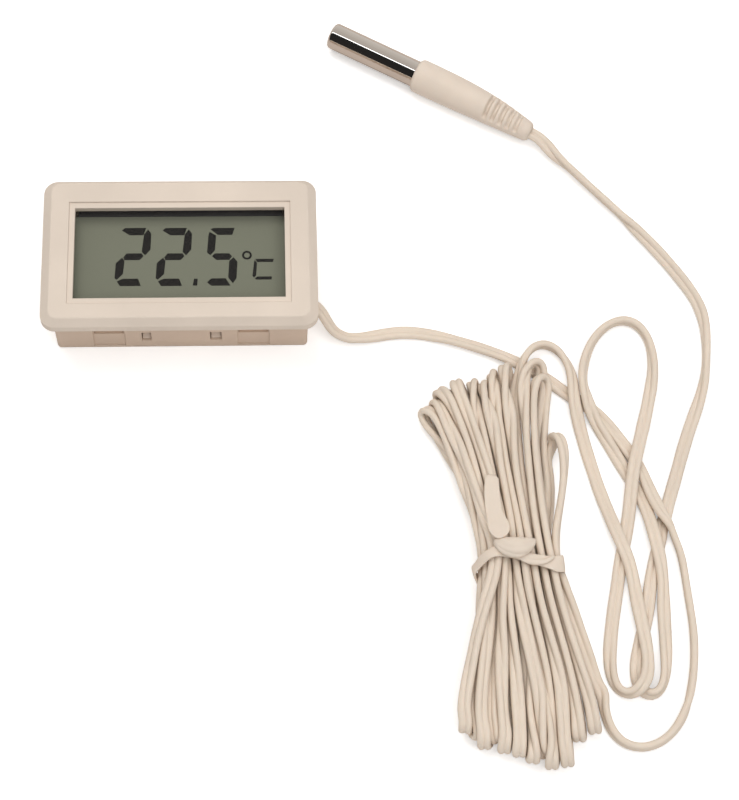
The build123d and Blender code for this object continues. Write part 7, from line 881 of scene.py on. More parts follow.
5979-7523 90-984-44-174,5982-7599 91-977-27-211,5983-7675 92-967-9-256
5983-7750 94-952 1-308,5982-7825 97-931-7-364,5981-7899 101-906-29-423
5983-7972 105-874-56-483,5985-8045 111-835-81-544,5990-8117 117-793-100-602
5996-8189 122-748-109-655,6002-8261 128-705-107-701,6008-8332 133-669-97-737
6014-8404 138-645-94-758,6019-8475 143-639-110-762,6025-8546 150-654-142-743
6030-8616 161-690-188-699,6031-8679 179-744-247-620,6026-8728 209-825-255-505
6010-8754 251-889-132-439,5987-8756 296-865 25-502,5962-8734 335-783 114-611
5940-8691 367-695 176-697,5928-8635 392-595 217-774,5925-8569 412-492 202-847
5927-8498 425-412 161-897,5930-8425 436-364 137-921,5931-8352 446-358 128-925
5931-8278 457-393 123-911,5932-8203 467-461 115-880,5932-8129 476-548 101-830
5932-8054 485-643 79-762,5931-7979 493-735 49-676,5929-7904 500-816 14-578
5925-7828 505-881-24-472,5919-7751 510-929-62-365,5911-7674 514-960-94-262
5902-7598 516-978-118-170,5892-7521 517-987-134-93,5881-7445 518-989-142-34
5870-7369 518-989-146 8,5859-7292 519-988-150 34,5848-7216 520-987-154 46
5836-7139 522-986-158 45,5824-7063 525-986-161 35,5812-6986 527-987-162 15
5799-6909 530-987-162-11,5787-6832 534-986-160-45,5775-6755 538-984-155-87
5763-6678 543-979-148-137,5751-6601 548-971-138-197,5740-6524 554-955-124-268
5729-6446 560-931-106-349,5718-6369 566-894-85-440,5709-6291 573-841-60-537
5700-6213 580-771-32-636,5692-6136 586-683-4-730,5685-6058 593-580 20-815
5680-5979 600-466 43-884,5675-5901 607-347 64-936,5670-5822 616-231 83-969
5666-5743 624-125 101-987,5663-5664 634-33 109-994,5660-5584 642 43 88-995
5656-5505 648 102 39-994,5652-5426 649 142 1-990,5647-5348 648 163 0-987
5643-5270 647 168 11-986,5638-5191 647 160 13-987,5633-5113 646 143 8-990
5628-5034 645 119 1-993,5623-4955 643 90-12-996,5616-4876 640 61-29-998
5608-4797 636 32-40-999,5599-4717 632 6-45-999,5590-4637 628-15-46-999
5581-4558 625-30-46-998,5572-4478 621-40-46-998,5563-4398 618-44-45-998
5554-4319 615-46-43-998,5545-4239 612-45-40-998,5536-4159 609-46-37-998
5527-4079 607-49-34-998,5518-3999 605-56-31-998,5510-3920 603-71-28-997
5501-3840 602-95-26-995,5492-3760 601-129-26-991,5484-3680 600-176-27-984
5475-3600 599-236-30-971,5467-3521 599-309-34-950,5458-3441 599-397-40-917
5450-3362 599-496-47-867,5441-3282 600-603-55-796,5433-3203 600-713-63-698
5424-3124 601-817-80-571,5415-3046 602-903-119-412,5403-2967 602-961-168-222
5389-2889 600-981-193-3,5373-2811 598-956-184 230,5356-2733 595-870-170 463
5339-2656 593-720-150 677,5322-2579 590-523-62 850,5306-2502 582-297 87 951
5293-2427 567-59 230 971,5281-2355 546 163 360 919,5273-2289 518 354 468 809
5272-2231 479 517 524 677,5280-2185 433 648 517 560,5296-2154 381 741 461 487
5322-2140 328 793 387 471,5355-2146 278 817 321 480,5389-2173 236 832 252 494
5419-2221 206 826 196 529,5441-2283 193 805 175 566,5458-2353 190 795 162 585
5471-2426 190 798 144 586,5483-2499 192 809 133 573,5494-2573 193 826 131 548
5504-2647 195 848 131 513,5514-2721 197 872 132 471,5525-2795 199 897 133 421
5534-2870 201 922 133 364,5544-2945 203 944 132 302,5554-3021 206 963 130 235
5563-3097 209 979 126 163,5572-3173 212 989 120 87,5581-3250 215 994 113 10
5589-3327 219 992 105-68,5598-3404 223 985 95-145,5606-3481 228 972 85-220
5613-3559 232 954 74-289,5621-3637 237 934 63-352,5628-3715 242 912 53-407
5635-3793 247 891 44-452,5641-3871 253 873 35-487,5647-3949 259 859 28-511
5653-4027 265 851 22-524,5659-4105 270 850 19-527,5664-4183 276 855 17-519
5669-4261 282 865 16-502,5674-4339 287 879 17-476,5678-4417 292 896 19-445
5683-4495 298 913 21-408,5687-4573 303 929 24-369,5692-4650 308 944 26-330
5696-4728 314 956 28-293,5700-4806 319 964 36-262,5705-4885 325 971 43-236
5709-4966 328 976 20-216,5710-5048 330 978-22-205,5706-5131 331 978-50-204
5701-5211 332 976-52-213,5695-5291 330 972-48-231,5690-5371 328 965-49-258
5683-5451 325 955-47-294,5676-5531 322 941-37-337,5671-5613 318 922-21-387
5667-5695 314 897-6-442,5665-5777 307 865 9-501,5663-5859 297 828 32-560
5660-5940 285 785 56-617,5658-6020 274 738 70-672,5657-6101 264 688 76-722
5656-6181 255 639 79-765,5655-6260 246 593 79-801,5655-6340 238 554 77-829
5654-6420 230 521 74-850,5653-6500 223 498 70-864,5652-6579 216 486 66-872
5651-6659 210 484 61-873,5650-6738 204 493 55-868,5649-6817 199 513 49-857
5648-6896 194 543 41-839,5647-6975 189 582 34-813,5646-7054 186 628 26-778
5644-7133 182 680 18-733,5643-7212 179 735 10-678,5641-7290 177 791 3-612
5640-7369 175 845-3-535,5639-7447 174 894-8-447,5637-7525 173 936-10-351
5636-7602 173 969-7-249,5636-7680 172 990-2-142,5636-7757 172 999 3-34
5636-7834 172 997 1 73,5636-7911 172 985-5 174,5636-7987 172 963-11 268
5635-8063 172 936-16 352,5634-8139 172 905-20 424,5632-8215 172 876-26 481
5629-8291 172 853-39 521,5626-8366 171 839-60 541,5620-8441 171 840-80 537
5613-8516 172 856-81 510,5603-8587 179 887-61 458,5591-8652 196 924-37 380
5578-8703 228 958-33 284,5565-8735 273 978-57 200,5555-8743 326 987-83 140
5551-8726 378 991-96 92,5552-8687 420 994-96 48,5557-8631 449 996-88 5
5563-8563 461 996-79-34,5568-8490 463 996-64-66,5572-8414 460 995-45-86
5574-8337 457 995-24-93,5574-8260 455 996-9-86,5575-8184 455 998 0-69
5575-8107 456 999 4-41,5574-8030 457 1000 7-6,5573-7952 458 999 9 37
5572-7875 460 996 11 87,5571-7797 462 990 12 142,5569-7720 464 979 14 202
5568-7642 467 964 15 267,5566-7564 469 942 15 336,5563-7486 472 913 15 407
5561-7408 475 878 14 479,5558-7329 478 834 12 551,5554-7251 481 784 9 621
5551-7172 484 726 5 688,5547-7093 487 662 0 749,5543-7015 491 594-6 804
5540-6936 495 524-12 851,5536-6857 498 455-18 890,5532-6779 502 390-24 920
5528-6700 506 332-29 943,5524-6621 509 284-33 958,5520-6542 513 247-35 968
5517-6464 517 225-37 974,5514-6385 520 216-37 976,5511-6306 524 221-36 975
5509-6227 527 239-34 970,5507-6148 530 269-31 963,5505-6069 533 307-29 951
5504-5990 536 352-26 936,5503-5911 539 400-24 916,5502-5832 542 449-21 894
5501-5753 545 495-22 869,5500-5674 548 537-27 843,5498-5595 552 572-33 819
5496-5516 557 600-39 799,5493-5436 564 618-40 785,5489-5356 572 627-37 778
5484-5276 582 627-36 779,5478-5195 593 617-45 786,5472-5114 605 597-57 800
5467-5033 614 563-49 825,5464-4952 618 517-2 856,5462-4873 615 465 55 884
5459-4793 609 408 88 909,5453-4714 601 349 111 931,5445-4634 593 290 128 948
5437-4555 584 236 123 964,5428-4475 576 188 106 976,5419-4396 569 146 93 985
5410-4317 563 110 82 991,5400-4238 557 83 71 994,5390-4159 552 62 61 996
5379-4080 548 50 54 997,5367-4001 544 46 49 998,5356-3922 541 50 45 998
5343-3843 538 65 44 997,5330-3764 535 89 45 995,5317-3686 532 125 49 991
5303-3607 530 173 56 983,5288-3528 527 232 67 970,5273-3449 525 304 82 949
5258-3371 523 385 102 917,5242-3292 520 476 125 871,5225-3214 518 573 153 805
5208-3135 515 673 176 718,5192-3056 513 777 174 605,5179-2977 511 875 136 464
5169-2899 510 952 90 292,5162-2820 511 993 78 89,5156-2741 512 986 97-138
5147-2661 513 920 112-376,5138-2581 514 787 100-609,5129-2499 514 589 44-807
5119-2418 509 340-66-938,5112-2340 497 65-212-975,5107-2266 476-209-357-910
5105-2200 445-457-461-761,5107-2145 403-658-496-566,5113-2104 351-803-463-375
5123-2084 292-893-387-231,5136-2089 233-939-311-148,5152-2121 182-958-266-105
5169-2177 147-964-255-73,5189-2245 131-965-259-28,5208-2319 126-967-253 35
5227-2393 125-965-235 113,5245-2468 124-954-221 203,5262-2543 124-930-212 299
5279-2618 124-896-201 396,5295-2694 123-851-188 490,5311-2769 123-799-173 577
5327-2845 123-740-156 655,5343-2921 123-677-139 722,5358-2998 123-615-122 779
5373-3075 123-554-106 826,5388-3152 123-497-90 863,5403-3229 124-444-77 893
5417-3307 124-395-65 916,5431-3385 125-349-54 935,5445-3463 125-306-44 951
5459-3542 126-264-36 964,5472-3620 126-221-30 975,5486-3699 127-177-23 984
5499-3778 127-131-17 991,5512-3857 128-86-11 996,5525-3937 128-42-4 999
5538-4016 128-1 4 1000,5552-4096 129 34 13 999,5566-4175 129 60 21 998
5580-4256 130 76 27 997,5595-4336 132 80 31 996,5609-4417 133 70 34 997
5623-4499 136 48 34 998,5634-4583 139 14 36 999,5641-4667 142-28 40 999
5647-4752 147-76 49 996,5651-4837 151-125 66 990,5655-4922 157-171 63 983
5658-5007 163-211 34 977,5661-5089 166-243 7 970,5663-5169 167-270 2 963
5664-5249 167-291 13 957,5663-5328 167-305 12 952,5661-5408 167-314 8 949
5657-5489 167-321 11 947,5650-5571 167-327 21 945,5640-5653 166-334 32 942
5629-5732 164-347 34 937,5617-5810 160-370 16 929,5606-5887 155-403-10 915
5594-5964 149-438-10 899,5583-6041 144-478 11 878,5571-6118 138-527 24 850
5560-6196 134-581 32 813,5550-6273 129-639 44 768,5539-6350 125-698 56 714
5529-6428 121-755 66 652,5519-6505 117-809 76 583,5509-6583 113-857 83 509
5500-6661 110-898 89 431,5491-6739 107-931 92 352,5483-6816 105-957 94 275
5475-6894 102-975 93 201,5467-6972 100-987 91 133,5460-7050 99-993 88 72
5453-7128 97-996 84 19,5446-7207 96-997 79-26,5440-7285 96-995 74-64
5435-7363 95-993 69-96,5429-7441 95-991 64-121,5424-7519 96-988 60-143
5419-7597 96-985 55-161,5414-7675 97-983 51-177,5410-7753 98-980 47-192
5406-7831 100-977 44-207,5402-7909 102-974 40-221,5398-7987 104-971 37-235
5395-8065 106-968 33-248,5392-8143 108-965 29-260,5388-8221 110-963 30-269
5385-8299 112-961 38-273,5380-8377 115-961 55-269,5374-8454 121-964 75-257
5364-8526 135-967 92-238,5351-8589 161-971 103-216,5338-8637 201-975 105-195
5325-8666 252-981 88-173,5315-8673 309-990 47-130,5310-8657 365-999-2-40
5311-8622 416-995-30 94,5317-8569 456-970-29 240,5325-8501 482-928-11 373
5330-8424 491-875 4 483,5328-8342 488-820 5 572,5324-8261 483-768-1 640
5319-8182 479-728-7 685,5317-8104 477-705-13 709,5315-8026 477-699-15 715
5315-7947 478-709-16 705,5315-7869 480-732-15 681,5316-7791 483-767-12 642
5318-7713 486-810-8 586,5320-7635 490-858-2 513,5322-7556 494-907 7 422
5325-7478 499-950 17 311,5328-7399 504-983 28 182,5331-7321 509-998 41 37
5334-7242 515-991 55-118,5338-7163 521-959 68-277,5341-7085 527-899 80-430
5345-7006 534-816 90-571,5349-6928 541-715 98-692,5353-6849 548-605 104-790
5357-6770 555-495 108-862,5361-6692 563-394 111-912,5365-6613 571-310 113-944
5369-6535 578-249 114-962,5374-6456 586-213 114-970,5378-6378 594-203 115-972
5383-6299 602-220 116-969,5388-6220 610-259 117-959,5393-6142 618-316 117-941
5398-6063 626-386 118-915,5403-5984 634-462 117-879,5408-5905 641-537 116-835
5412-5825 648-606 113-787,5417-5746 656-665 107-739,5420-5666 663-712 96-696
5423-5585 670-746 82-660,5425-5505 678-769 68-636,5425-5424 686-781 58-622
5423-5343 695-785 51-618,5420-5261 704-782 36-623,5414-5179 715-773 7-634
5407-5096 726-762-17-647,5400-5014 736-753-24-658,5394-4934 741-745-28-666
5389-4855 746-741-34-671,5383-4777 750-744-26-668,5376-4699 756-751-23-660
5368-4621 759-755-63-652,5359-4541 757-758-127-640,5348-4460 750-762-170-625
5337-4380 741-767-189-614,5325-4300 730-767-203-609,5312-4222 717-763-212-611
5299-4144 705-753-214-622,5286-4067 693-738-213-640,5271-3989 683-718-212-663
5256-3911 673-693-211-689,5240-3834 665-665-209-717,5224-3756 657-637-207-742
5207-3679 650-611-205-765,5189-3601 643-589-203-782,5170-3524 636-574-202-794
5151-3446 630-566-202-799,5132-3369 624-568-204-797,5112-3291 619-579-207-789
5092-3214 613-598-212-773,5071-3136 608-625-219-749,5050-3059 603-658-227-718
5029-2981 599-695-235-679,5007-2904 594-735-245-632,4984-2826 590-776-256-576
4961-2748 587-817-266-512,4938-2669 583-855-274-440,4914-2590 581-889-281-363
4890-2509 578-915-286-284,4866-2428 572-935-283-213,4845-2348 559-950-266-163
4829-2274 537-961-237-145,4819-2208 504-965-204-163,4816-2154 460-962-181-204
4822-2114 407-955-163-250,4835-2092 349-946-127-298,4856-2091 290-922-51-384
4883-2113 237-835 27-549,4917-2157 197-669 36-743,4953-2218 172-469-3-883
4985-2291 163-281-49-958,5009-2370 162-124-65-990,5031-2449 164 1-33-999
5053-2526 165 96 10-995,5075-2604 166 171 39-984,5096-2680 168 230 55-972
5117-2757 169 273 65-960,5138-2834 170 302 70-951,5158-2910 171 320 70-945
5177-2987 173 327 67-943,5196-3064 174 324 61-944,5215-3141 176 312 52-949
5232-3218 178 293 42-955,5248-3295 180 269 30-963,5265-3373 183 242 18-970
5280-3450 185 215 6-977,5296-3528 188 191-5-982,5311-3606 192 172-14-985
5325-3684 195 163-22-986,5339-3762 199 164-26-986,5352-3840 204 180-28-983
5365-3918 208 210-27-977,5378-3997 212 255-23-967,5390-4075 217 316-14-949
5402-4153 221 391-2-921,5414-4232 225 475 14-880,5426-4310 229 565 35-824
5438-4389 232 653 68-754,5450-4468 236 737 89-669,5460-4547 242 817 53-574
5468-4628 253 883-21-469,5472-4708 270 928-62-366,5471-4788 288 956-46-289
5469-4866 301 973-33-227,5468-4944 311 983-61-172,5466-5022 323 987-82-136
5463-5103 337 989-77-127,5459-5186 349 989-63-131,5454-5270 358 988-54-142
5448-5354 365 987-50-155,5443-5438 369 985-45-169,5437-5521 372 983-32-181
5433-5603 372 982-20-188,5431-5686 369 982-19-190,5430-5767 365 982-23-187
5430-5848 358 983-26-179,5428-5929 351 985-27-168,5425-6009 343 988-31-154
5422-6089 335 990-36-137,5419-6168 327 992-40-118,5414-6248 320 994-45-99
5410-6327 313 996-51-78,5405-6406 307 997-59-56,5400-6485 300 997-71-34
5393-6564 294 996-86-10,5386-6643 287 995-102 14,5377-6722 280 992-117 37
5368-6800 272 990-130 59,5359-6878 264 987-142 77,5348-6956 256 984-151 91
5337-7034 249 983-157 98,5326-7111 242 983-157 98,5315-7189 236 984-154 90
5304-7266 230 986-147 75,5293-7343 225 989-138 53,5283-7420 221 991-129 26
5274-7496 218 993-120-3,5265-7573 215 993-111-33,5257-7649 212 993-102-60
5249-7725 211 992-93-82,5243-7801 210 992-82-95,5237-7876 209 993-68-96
5233-7952 210 996-47-81,5230-8027 211 999-8-48,5231-8102 214 999 47 5
5235-8177 219 992 101 76,5242-8249 223 979 123 164,5251-8318 223 962 107 250
5256-8385 226 945 66 319,5253-8444 241 923 6 385,5240-8485 267 878-45 477
5217-8504 301 806-21 592,5191-8501 333 784 80 616,5166-8478 362 854 74 515
5153-8438 385 889-21 457,5150-8380 400 882-9 472,5146-8309 404 880 61 470
5141-8232 401 888 89 451,5136-8155 396 900 66 431,5135-8078 391 912 24 409
5137-8001 387 923-9 385,5139-7924 384 932-26 361,5142-7847 381 941-36 336
5146-7770 379 949-43 312,5150-7693 378 957-49 286,5154-7616 376 964-54 260
5159-7539 376 971-59 231,5164-7461 376 978-62 200,5168-7383 376 984-65 167
5173-7305 376 989-67 132,5178-7226 377 993-68 93,5183-7148 379 996-67 53
5188-7069 380 998-65 12,5193-6990 383 998-62-28,5197-6911 386 996-58-67
5202-6832 390 993-52-102,5206-6754 395 990-46-132,5211-6675 402 987-40-156
5215-6597 409 984-37-172,5219-6518 416 983-38-180,5224-6439 423 983-40-178
5229-6360 430 985-43-167,5233-6281 437 988-45-147,5238-6202 444 992-47-118
5243-6123 451 995-51-83,5248-6044 459 998-54-44,5253-5965 466 998-58-4
5257-5886 473 997-75 33,5262-5806 478 993-94 67,5265-5726 484 992-85 98
5269-5645 488 991-51 122,5271-5565 491 990-23 139,5272-5484 493 988-9 151
5273-5403 495 987 2 161,5272-5323 497 985 15 172,5270-5242 499 982 28 186
5266-5160 502 977 41 208,5263-5079 506 970 41 239,5260-4998 512 960 20 279
5259-4918 520 946-13 325,5259-4839 531 925-46 377,5261-4761 544 899-73 432
5263-4682 557 865-72 496,5264-4602 563 825-30 564,5265-4522 559 788 40 615
5263-4444 549 753 119 647,5257-4366 536 719 191 668,5246-4290 522 693 230 683
5233-4214 509 684 234 691,5219-4138 497 688 225 690,5204-4062 487 702 218 678
5189-3986 477 723 216 656,5173-3909 469 750 216 626,5157-3833 462 779 218 589
5140-3757 455 807 221 547,5123-3681 449 834 226 503,5105-3605 444 858 232 458
5087-3530 439 878 238 415,5069-3454 434 894 243 376,5050-3379 431 907 249 341
5030-3303 427 916 254 311,5010-3228 424 922 259 287,4990-3153 422 927 263 268
4970-3079 420 930 267 253,4948-3004 418 931 272 243,4927-2930 418 932 276 236
4905-2856 417 932 281 231,4882-2782 418 931 287 227,4859-2709 420 930 294 223
4836-2637 423 929 300 216,4812-2565 428 931 300 206,4789-2495 430 938 290 192
4769-2427 426 947 268 179,4755-2363 411 956 236 174,4748-2307 383 963 200 179
4748-2265 341 967 166 192,4755-2243 290 969 137 204,4767-2245 236 970 111 215
4781-2274 187 963 114 246,4798-2324 148 950 167 263,4818-2386 124 945 228 235
4838-2453 114 946 270 177,4860-2521 111 946 305 105,4884-2588 111 944 328 25
4907-2656 110 940 334-64,4931-2723 110 929 333-159,4956-2791 110 908 330-260
4980-2860 109 875 324-361,5006-2929 109 831 312-461,5031-2998 109 780 285-558
5055-3068 109 725 237-647,5078-3139 112 666 174-725,5099-3211 116 596 124-794
5119-3285 119 516 93-851,5137-3360 122 436 74-897,5155-3435 124 360 62-931
5172-3511 125 292 53-955,5190-3587 126 236 44-971,5207-3663 127 194 38-980
5224-3740 127 167 35-985,5241-3817 127 157 34-987,5258-3894 127 164 37-986
5274-3972 127 187 44-981,5290-4049 126 225 54-973,5305-4127 126 274 64-960
5320-4205 124 330 73-941,5335-4283 123 388 84-918,5349-4361 122 442 99-891
5363-4439 121 491 99-865,5377-4517 120 531 89-843,5392-4596 121 556 94-826
5410-4676 125 564 102-820,5431-4757 132 558 103-824,5452-4838 141 542 91-835
5472-4919 149 522 66-851,5488-5001 156 501 14-866,5502-5083 160 474-43-879
5513-5165 166 433-49-900,5521-5247 173 398-48-916,5525-5330 177 369-45-928
5525-5413 180 347-23-938,5521-5496 181 331-15-943,5514-5579 180 322-13-947
5504-5662 178 320-4-947,5492-5744 174 326 4-946,5477-5827 170 333-3-943
5460-5909 166 345-9-939,5442-5990 161 359-16-933,5423-6071 156 375-22-927
5403-6152 150 391-29-920,5383-6232 144 405-37-914,5362-6312 139 416-50-908
5342-6392 134 422-68-904,5322-6472 131 427-82-900,5303-6551 129 432-89-897
5284-6630 127 437-89-895,5266-6710 126 440-88-894,5248-6789 125 444-86-892
5231-6868 124 448-83-890,5215-6947 123 453-80-888,5200-7026 122 461-76-884
5186-7105 121 472-73-879,5173-7185 120 487-71-871,5161-7264 120 507-68-859
5149-7344 119 532-66-844,5139-7424 118 563-65-824,5129-7504 117 601-64-797
5120-7584 116 644-62-762,5112-7665 116 693-59-719,5105-7747 114 746-53-664
5099-7828 113 801-44-597,5095-7911 111 856-28-516,5092-7995 109 909 1-417
5091-8080 105 953 39-299,5092-8167 99 985 59-164,5094-8257 92 999 25-29
5094-8349 86 993-73 94,5082-8437 93 959-179 222,5057-8511 124 924-183 335
5026-8562 178 936-111 335,5003-8588 244 965-78 250,4988-8588 315 979-92 184
4980-8563 382 986-88 139,4978-8514 437 996-49 74,4979-8447 477 999 33-18
4974-8363 497 984 100-147,4965-8269 502 958 96-271,4957-8173 499 933 53-357
4954-8081 496 912 1-411,4957-7993 495 893-42-448,4963-7908 497 877-69-475
4971-7825 499 865-82-495,4980-7743 501 856-89-510,4990-7661 504 849-94-520
5001-7580 507 844-98-527,5012-7500 510 841-101-531,5023-7419 514 840-104-532
5035-7340 517 842-107-529,5047-7260 520 846-110-522,5059-7181 524 854-112-509
5071-7102 528 865-114-489,5083-7023 531 879-116-462,5095-6944 534 897-117-427
5106-6865 537 916-115-384,5117-6787 540 937-109-332,5126-6708 543 956-102-275
5136-6630 546 972-97-213,5144-6552 548 984-97-151,5152-6474 550 991-95-92
5160-6396 552 995-88-40,5166-6317 554 997-76 3,5172-6239 557 997-63 35
5176-6160 561 997-53 57,5180-6081 566 996-50 68,5184-6002 572 996-53 69
5187-5923 578 996-59 61,5190-5843 583 997-56 49,5193-5764 587 998-44 32
5195-5684 592 999-29 15,5197-5605 595 1000-14-1,5197-5525 597 1000-6-14
5197-5445 599 1000 0-21,5196-5366 601 1000 9-18,5193-5286 602 1000 18-2
5190-5207 604 999 31 28,5185-5127 606 994 80 75,5179-5048 608 986 92 139
5173-4968 610 974 65 218,5167-4888 613 948 65 312,5160-4807 615 908 66 414
5153-4725 616 851 65 521,5146-4643 616 779 58 624,5142-4562 613 694 51 718
5138-4483 611 600 45 798,5134-4404 610 504 37 863,5128-4325 610 411 33 911
5119-4246 609 325 48 945,5109-4166 608 250 67 966,5097-4087 605 194 69 979
5085-4009 602 155 60 986,5071-3930 599 133 54 990,5056-3852 596 124 52 991
5041-3774 594 126 53 991,5025-3696 591 134 55 989,5008-3618 589 147 58 987
4990-3540 587 160 62 985,4971-3463 585 170 67 983,4952-3385 583 176 71 982
4932-3308 581 179 75 981,4911-3231 579 178 78 981,4889-3153 577 176 79 981
4867-3076 575 176 79 981,4844-2999 573 181 79 980,4820-2922 571 196 79 977
4794-2846 571 227 80 971,4767-2769 570 281 88 956,4738-2691 571 356 120 927
4708-2613 571 439 206 874,4674-2536 566 514 345 785,4638-2464 552 579 492 650
4603-2398 527 639 603 478,4571-2342 490 692 659 294,4544-2298 443 739 662 127
4523-2269 388 785 619 3,4511-2256 327 839 542-57,4512-2263 267 898 439-27
4525-2291 214 928 351 128,4552-2337 177 866 349 359,4591-2393 158 742 397 541
4634-2457 155 638 421 645,4673-2527 162 585 411 700,4707-2599 173 575 382 723
4739-2672 183 601 347 720,4767-2745 192 651 311 692,4791-2820 200 714 276 644
4813-2895 206 781 242 575,4831-2972 210 846 212 489,4848-3049 212 902 196 386
4864-3126 212 942 196 273,4881-3203 211 965 212 156,4899-3280 208 970 238 42
4918-3356 204 963 261-65,4939-3431 200 950 267-161,4959-3507 197 934 260-243
4979-3583 193 918 249-309,4998-3658 190 903 241-356,5017-3734 186 893 234-385
5036-3811 183 888 230-397,5054-3887 179 890 233-393,5071-3963 175 898 227-376
5088-4040 172 917 187-353,5102-4118 172 940 124-319,5115-4198 178 958 80-275
5125-4280 189 971 73-227,5135-4362 202 981 81-174,5144-4444 216 990 88-113
5152-4522 230 994 104-41,5160-4599 244 991 128 42,5168-4675 257 979 149 140
5177-4751 268 953 168 252,5186-4827 279 908 188 375,5196-4902 288 842 197 502
5205-4977 296 745 242 621,5214-5052 302 632 259 730,5223-5127 306 543 117 832
5231-5201 309 433-13 901,5237-5275 310 327-29 945,5242-5349 309 238-34 971
5245-5423 308 173-27 985,5245-5497 306 139-14 990,5242-5572 303 137 0 991
5235-5647 300 169 0 986,5226-5723 297 224-88 970,5215-5800 293 279-206 938
5200-5878 288 384-218 897,5183-5956 282 505-197 840,5165-6035 276 614-212 760
5146-6115 270 715-220 664,5127-6195 264 797-229 558,5108-6275 257 860-241 450
5088-6355 250 904-249 347,5068-6435 243 933-253 256,5048-6515 236 950-254 183
5028-6594 230 960-251 128,5008-6674 225 964-249 91,4988-6754 220 965-250 73
4968-6833 216 965-251 72,4948-6913 211 964-252 86,4928-6991 208 961-253 112
4908-7070 204 956-252 149,4888-7148 201 949-250 193,4869-7226 198 938-247 243
4849-7304 195 924-242 295,4830-7381 192 907-237 349,4811-7459 190 887-229 401
4793-7536 187 866-220 450,4775-7613 185 844-212 493,4758-7690 183 825-199 529
4743-7767 181 815-164 556,4732-7845 180 815-92 572,4726-7927 178 821 1 571
4729-8012 179 836 76 543,4736-8099 182 873 117 474,4742-8179 193 930 104 351
4738-8245 219 970-29 243,4722-8293 255 951-199 237,4699-8327 298 935-260 243
4683-8340 352 953-247 175,4681-8321 410 960-238 144,4686-8268 455 973-132 188
4686-8192 481 979 9 203,4678-8106 493 978 62 199,4675-8019 496 976 20 216
4680-7935 496 963-68 260,4690-7854 497 938-149 314,4703-7776 499 909-196 367
4719-7699 502 883-213 418,4735-7622 507 856-220 467,4752-7546 512 827-227 514
4769-7470 518 797-232 558,4787-7393 525 765-236 599,4805-7317 532 733-240 636
4823-7241 541 702-244 669,4842-7165 550 673-249 697,4860-7088 560 648-255 718
4879-7012 570 628-262 733,4898-6936 582 616-271 740,4917-6859 594 612-280 739
4937-6782 607 619-288 731,4959-6705 619 636-294 714,4981-6627 631 660-300 689
5003-6549 643 689-307 656,5026-6472 656 720-315 618,5049-6394 669 751-326 574
5074-6316 682 779-337 529,5100-6238 694 802-347 486,5126-6161 704 822-351 448
5154-6084 712 837-352 419,5181-6006 719 847-353 398,5207-5929 725 852-354 386
5231-5852 731 834-403 378,5253-5775 736 835-396 382,5271-5699 740 889-235 392
5285-5622 744 910-78 406,5295-5545 748 911-25 412,5300-5468 751 908-3 420
5300-5392 755 903 8 429,5296-5315 759 898 7 440,5288-5239 763 890 6 456
5274-5162 768 879 73 471,5257-5085 770 830 251 499,5236-5006 770 770 353 532
5213-4925 767 759 329 562,5187-4845 764 740 290 607,5161-4764 760 700 275 659
5135-4683 754 650 256 715,5112-4602 746 591 233 773,5093-4522 737 520 216 826
5076-4443 727 445 206 872,5058-4365 716 370 197 908,5041-4286 705 301 187 935
5023-4208 695 244 179 953,5005-4131 685 202 172 964,4986-4053 675 180 168 969
4966-3976 665 179 168 969,4945-3899 655 202 173 964,4923-3822 646 246 184 952
4901-3746 637 310 201 929,4877-3670 628 391 225 892,4853-3595 620 485 252 837
4829-3520 612 585 280 761,4804-3445 604 686 302 662,4779-3371 596 780 319 539
4753-3296 588 856 336 393,4727-3222 581 906 356 228,4700-3149 575 929 365 54
4672-3076 568 931 344-119,4646-3003 561 911 303-280,4620-2928 552 871 261-417
4594-2854 543 826 213-522,4569-2781 531 796 154-586,4545-2711 514 791 91-605
4523-2642 492 813 37-580,4503-2579 464 858 1-514,4484-2525 427 912-11-409
4467-2485 381 960 17-281,4454-2465 327 980 95-177,4447-2471 271 973 171-153
4445-2507 224 969 206-134,4454-2564 189 957 279-76,4476-2628 163 932 360-35
4503-2694 145 919 395-22,4531-2762 131 919 393-19,4559-2831 120 923 384-20
4587-2900 110 926 377-24,4615-2970 101 927 375-30,4643-3040 95 927 373-37
4670-3111 90 928 370-46,4699-3182 87 929 367-56,4727-3255 86 930 361-67
4754-3328 85 932 353-78,4782-3402 84 935 343-90,4809-3476 84 937 334-102
4835-3552 83 939 325-112,4861-3629 83 941 316-122,4887-3706 83 942 308-131
4912-3785 82 944 299-139,4936-3864 82 945 291-146,4960-3944 81 947 282-154
4983-4025 80 949 272-162,5006-4106 79 950 259-173,5028-4188 79 946 266-186
5052-4268 80 930 305-205,5079-4346 82 911 342-229,5109-4424 84 900 350-260
5141-4502 87 896 330-298,5173-4581 96 890 302-341,5204-4661 106 877 280-389
5234-4742 117 861 249-443,5263-4822 129 840 208-501,5289-4902 141 805 184-563
5313-4981 153 769 143-624,5334-5058 164 729 77-680,5351-5132 174 670 34-741
5365-5204 183 602 36-798,5376-5275 191 541 32-840,5383-5344 196 486 11-874
5387-5412 200 439-3-899,5388-5481 201 402-3-916,5386-5551 201 377-6-926
5380-5621 199 367-25-930,5370-5693 195 371-19-928,5358-5765 189 401 13-916
5342-5839 181 446 21-895,5324-5913 172 492-6-870,5304-5987 163 549-39-835
5282-6062 153 613-70-787,5259-6138 142 678-106-727,5237-6213 132 740-142-657
5214-6290 123 796-174-580,5191-6367 115 843-200-500,5168-6444 108 881-219-420
5146-6522 102 910-229-345,5125-6600 97 932-233-278,5104-6680 93 947-233-219
5085-6759 90 958-230-170,5065-6839 88 966-224-130,5047-6919 86 971-218-98
5030-7000 85 975-211-73,5012-7080 84 977-205-54,4996-7161 84 979-199-39
4980-7242 83 981-193-28,4964-7323 83 982-187-19,4949-7405 83 984-180-13
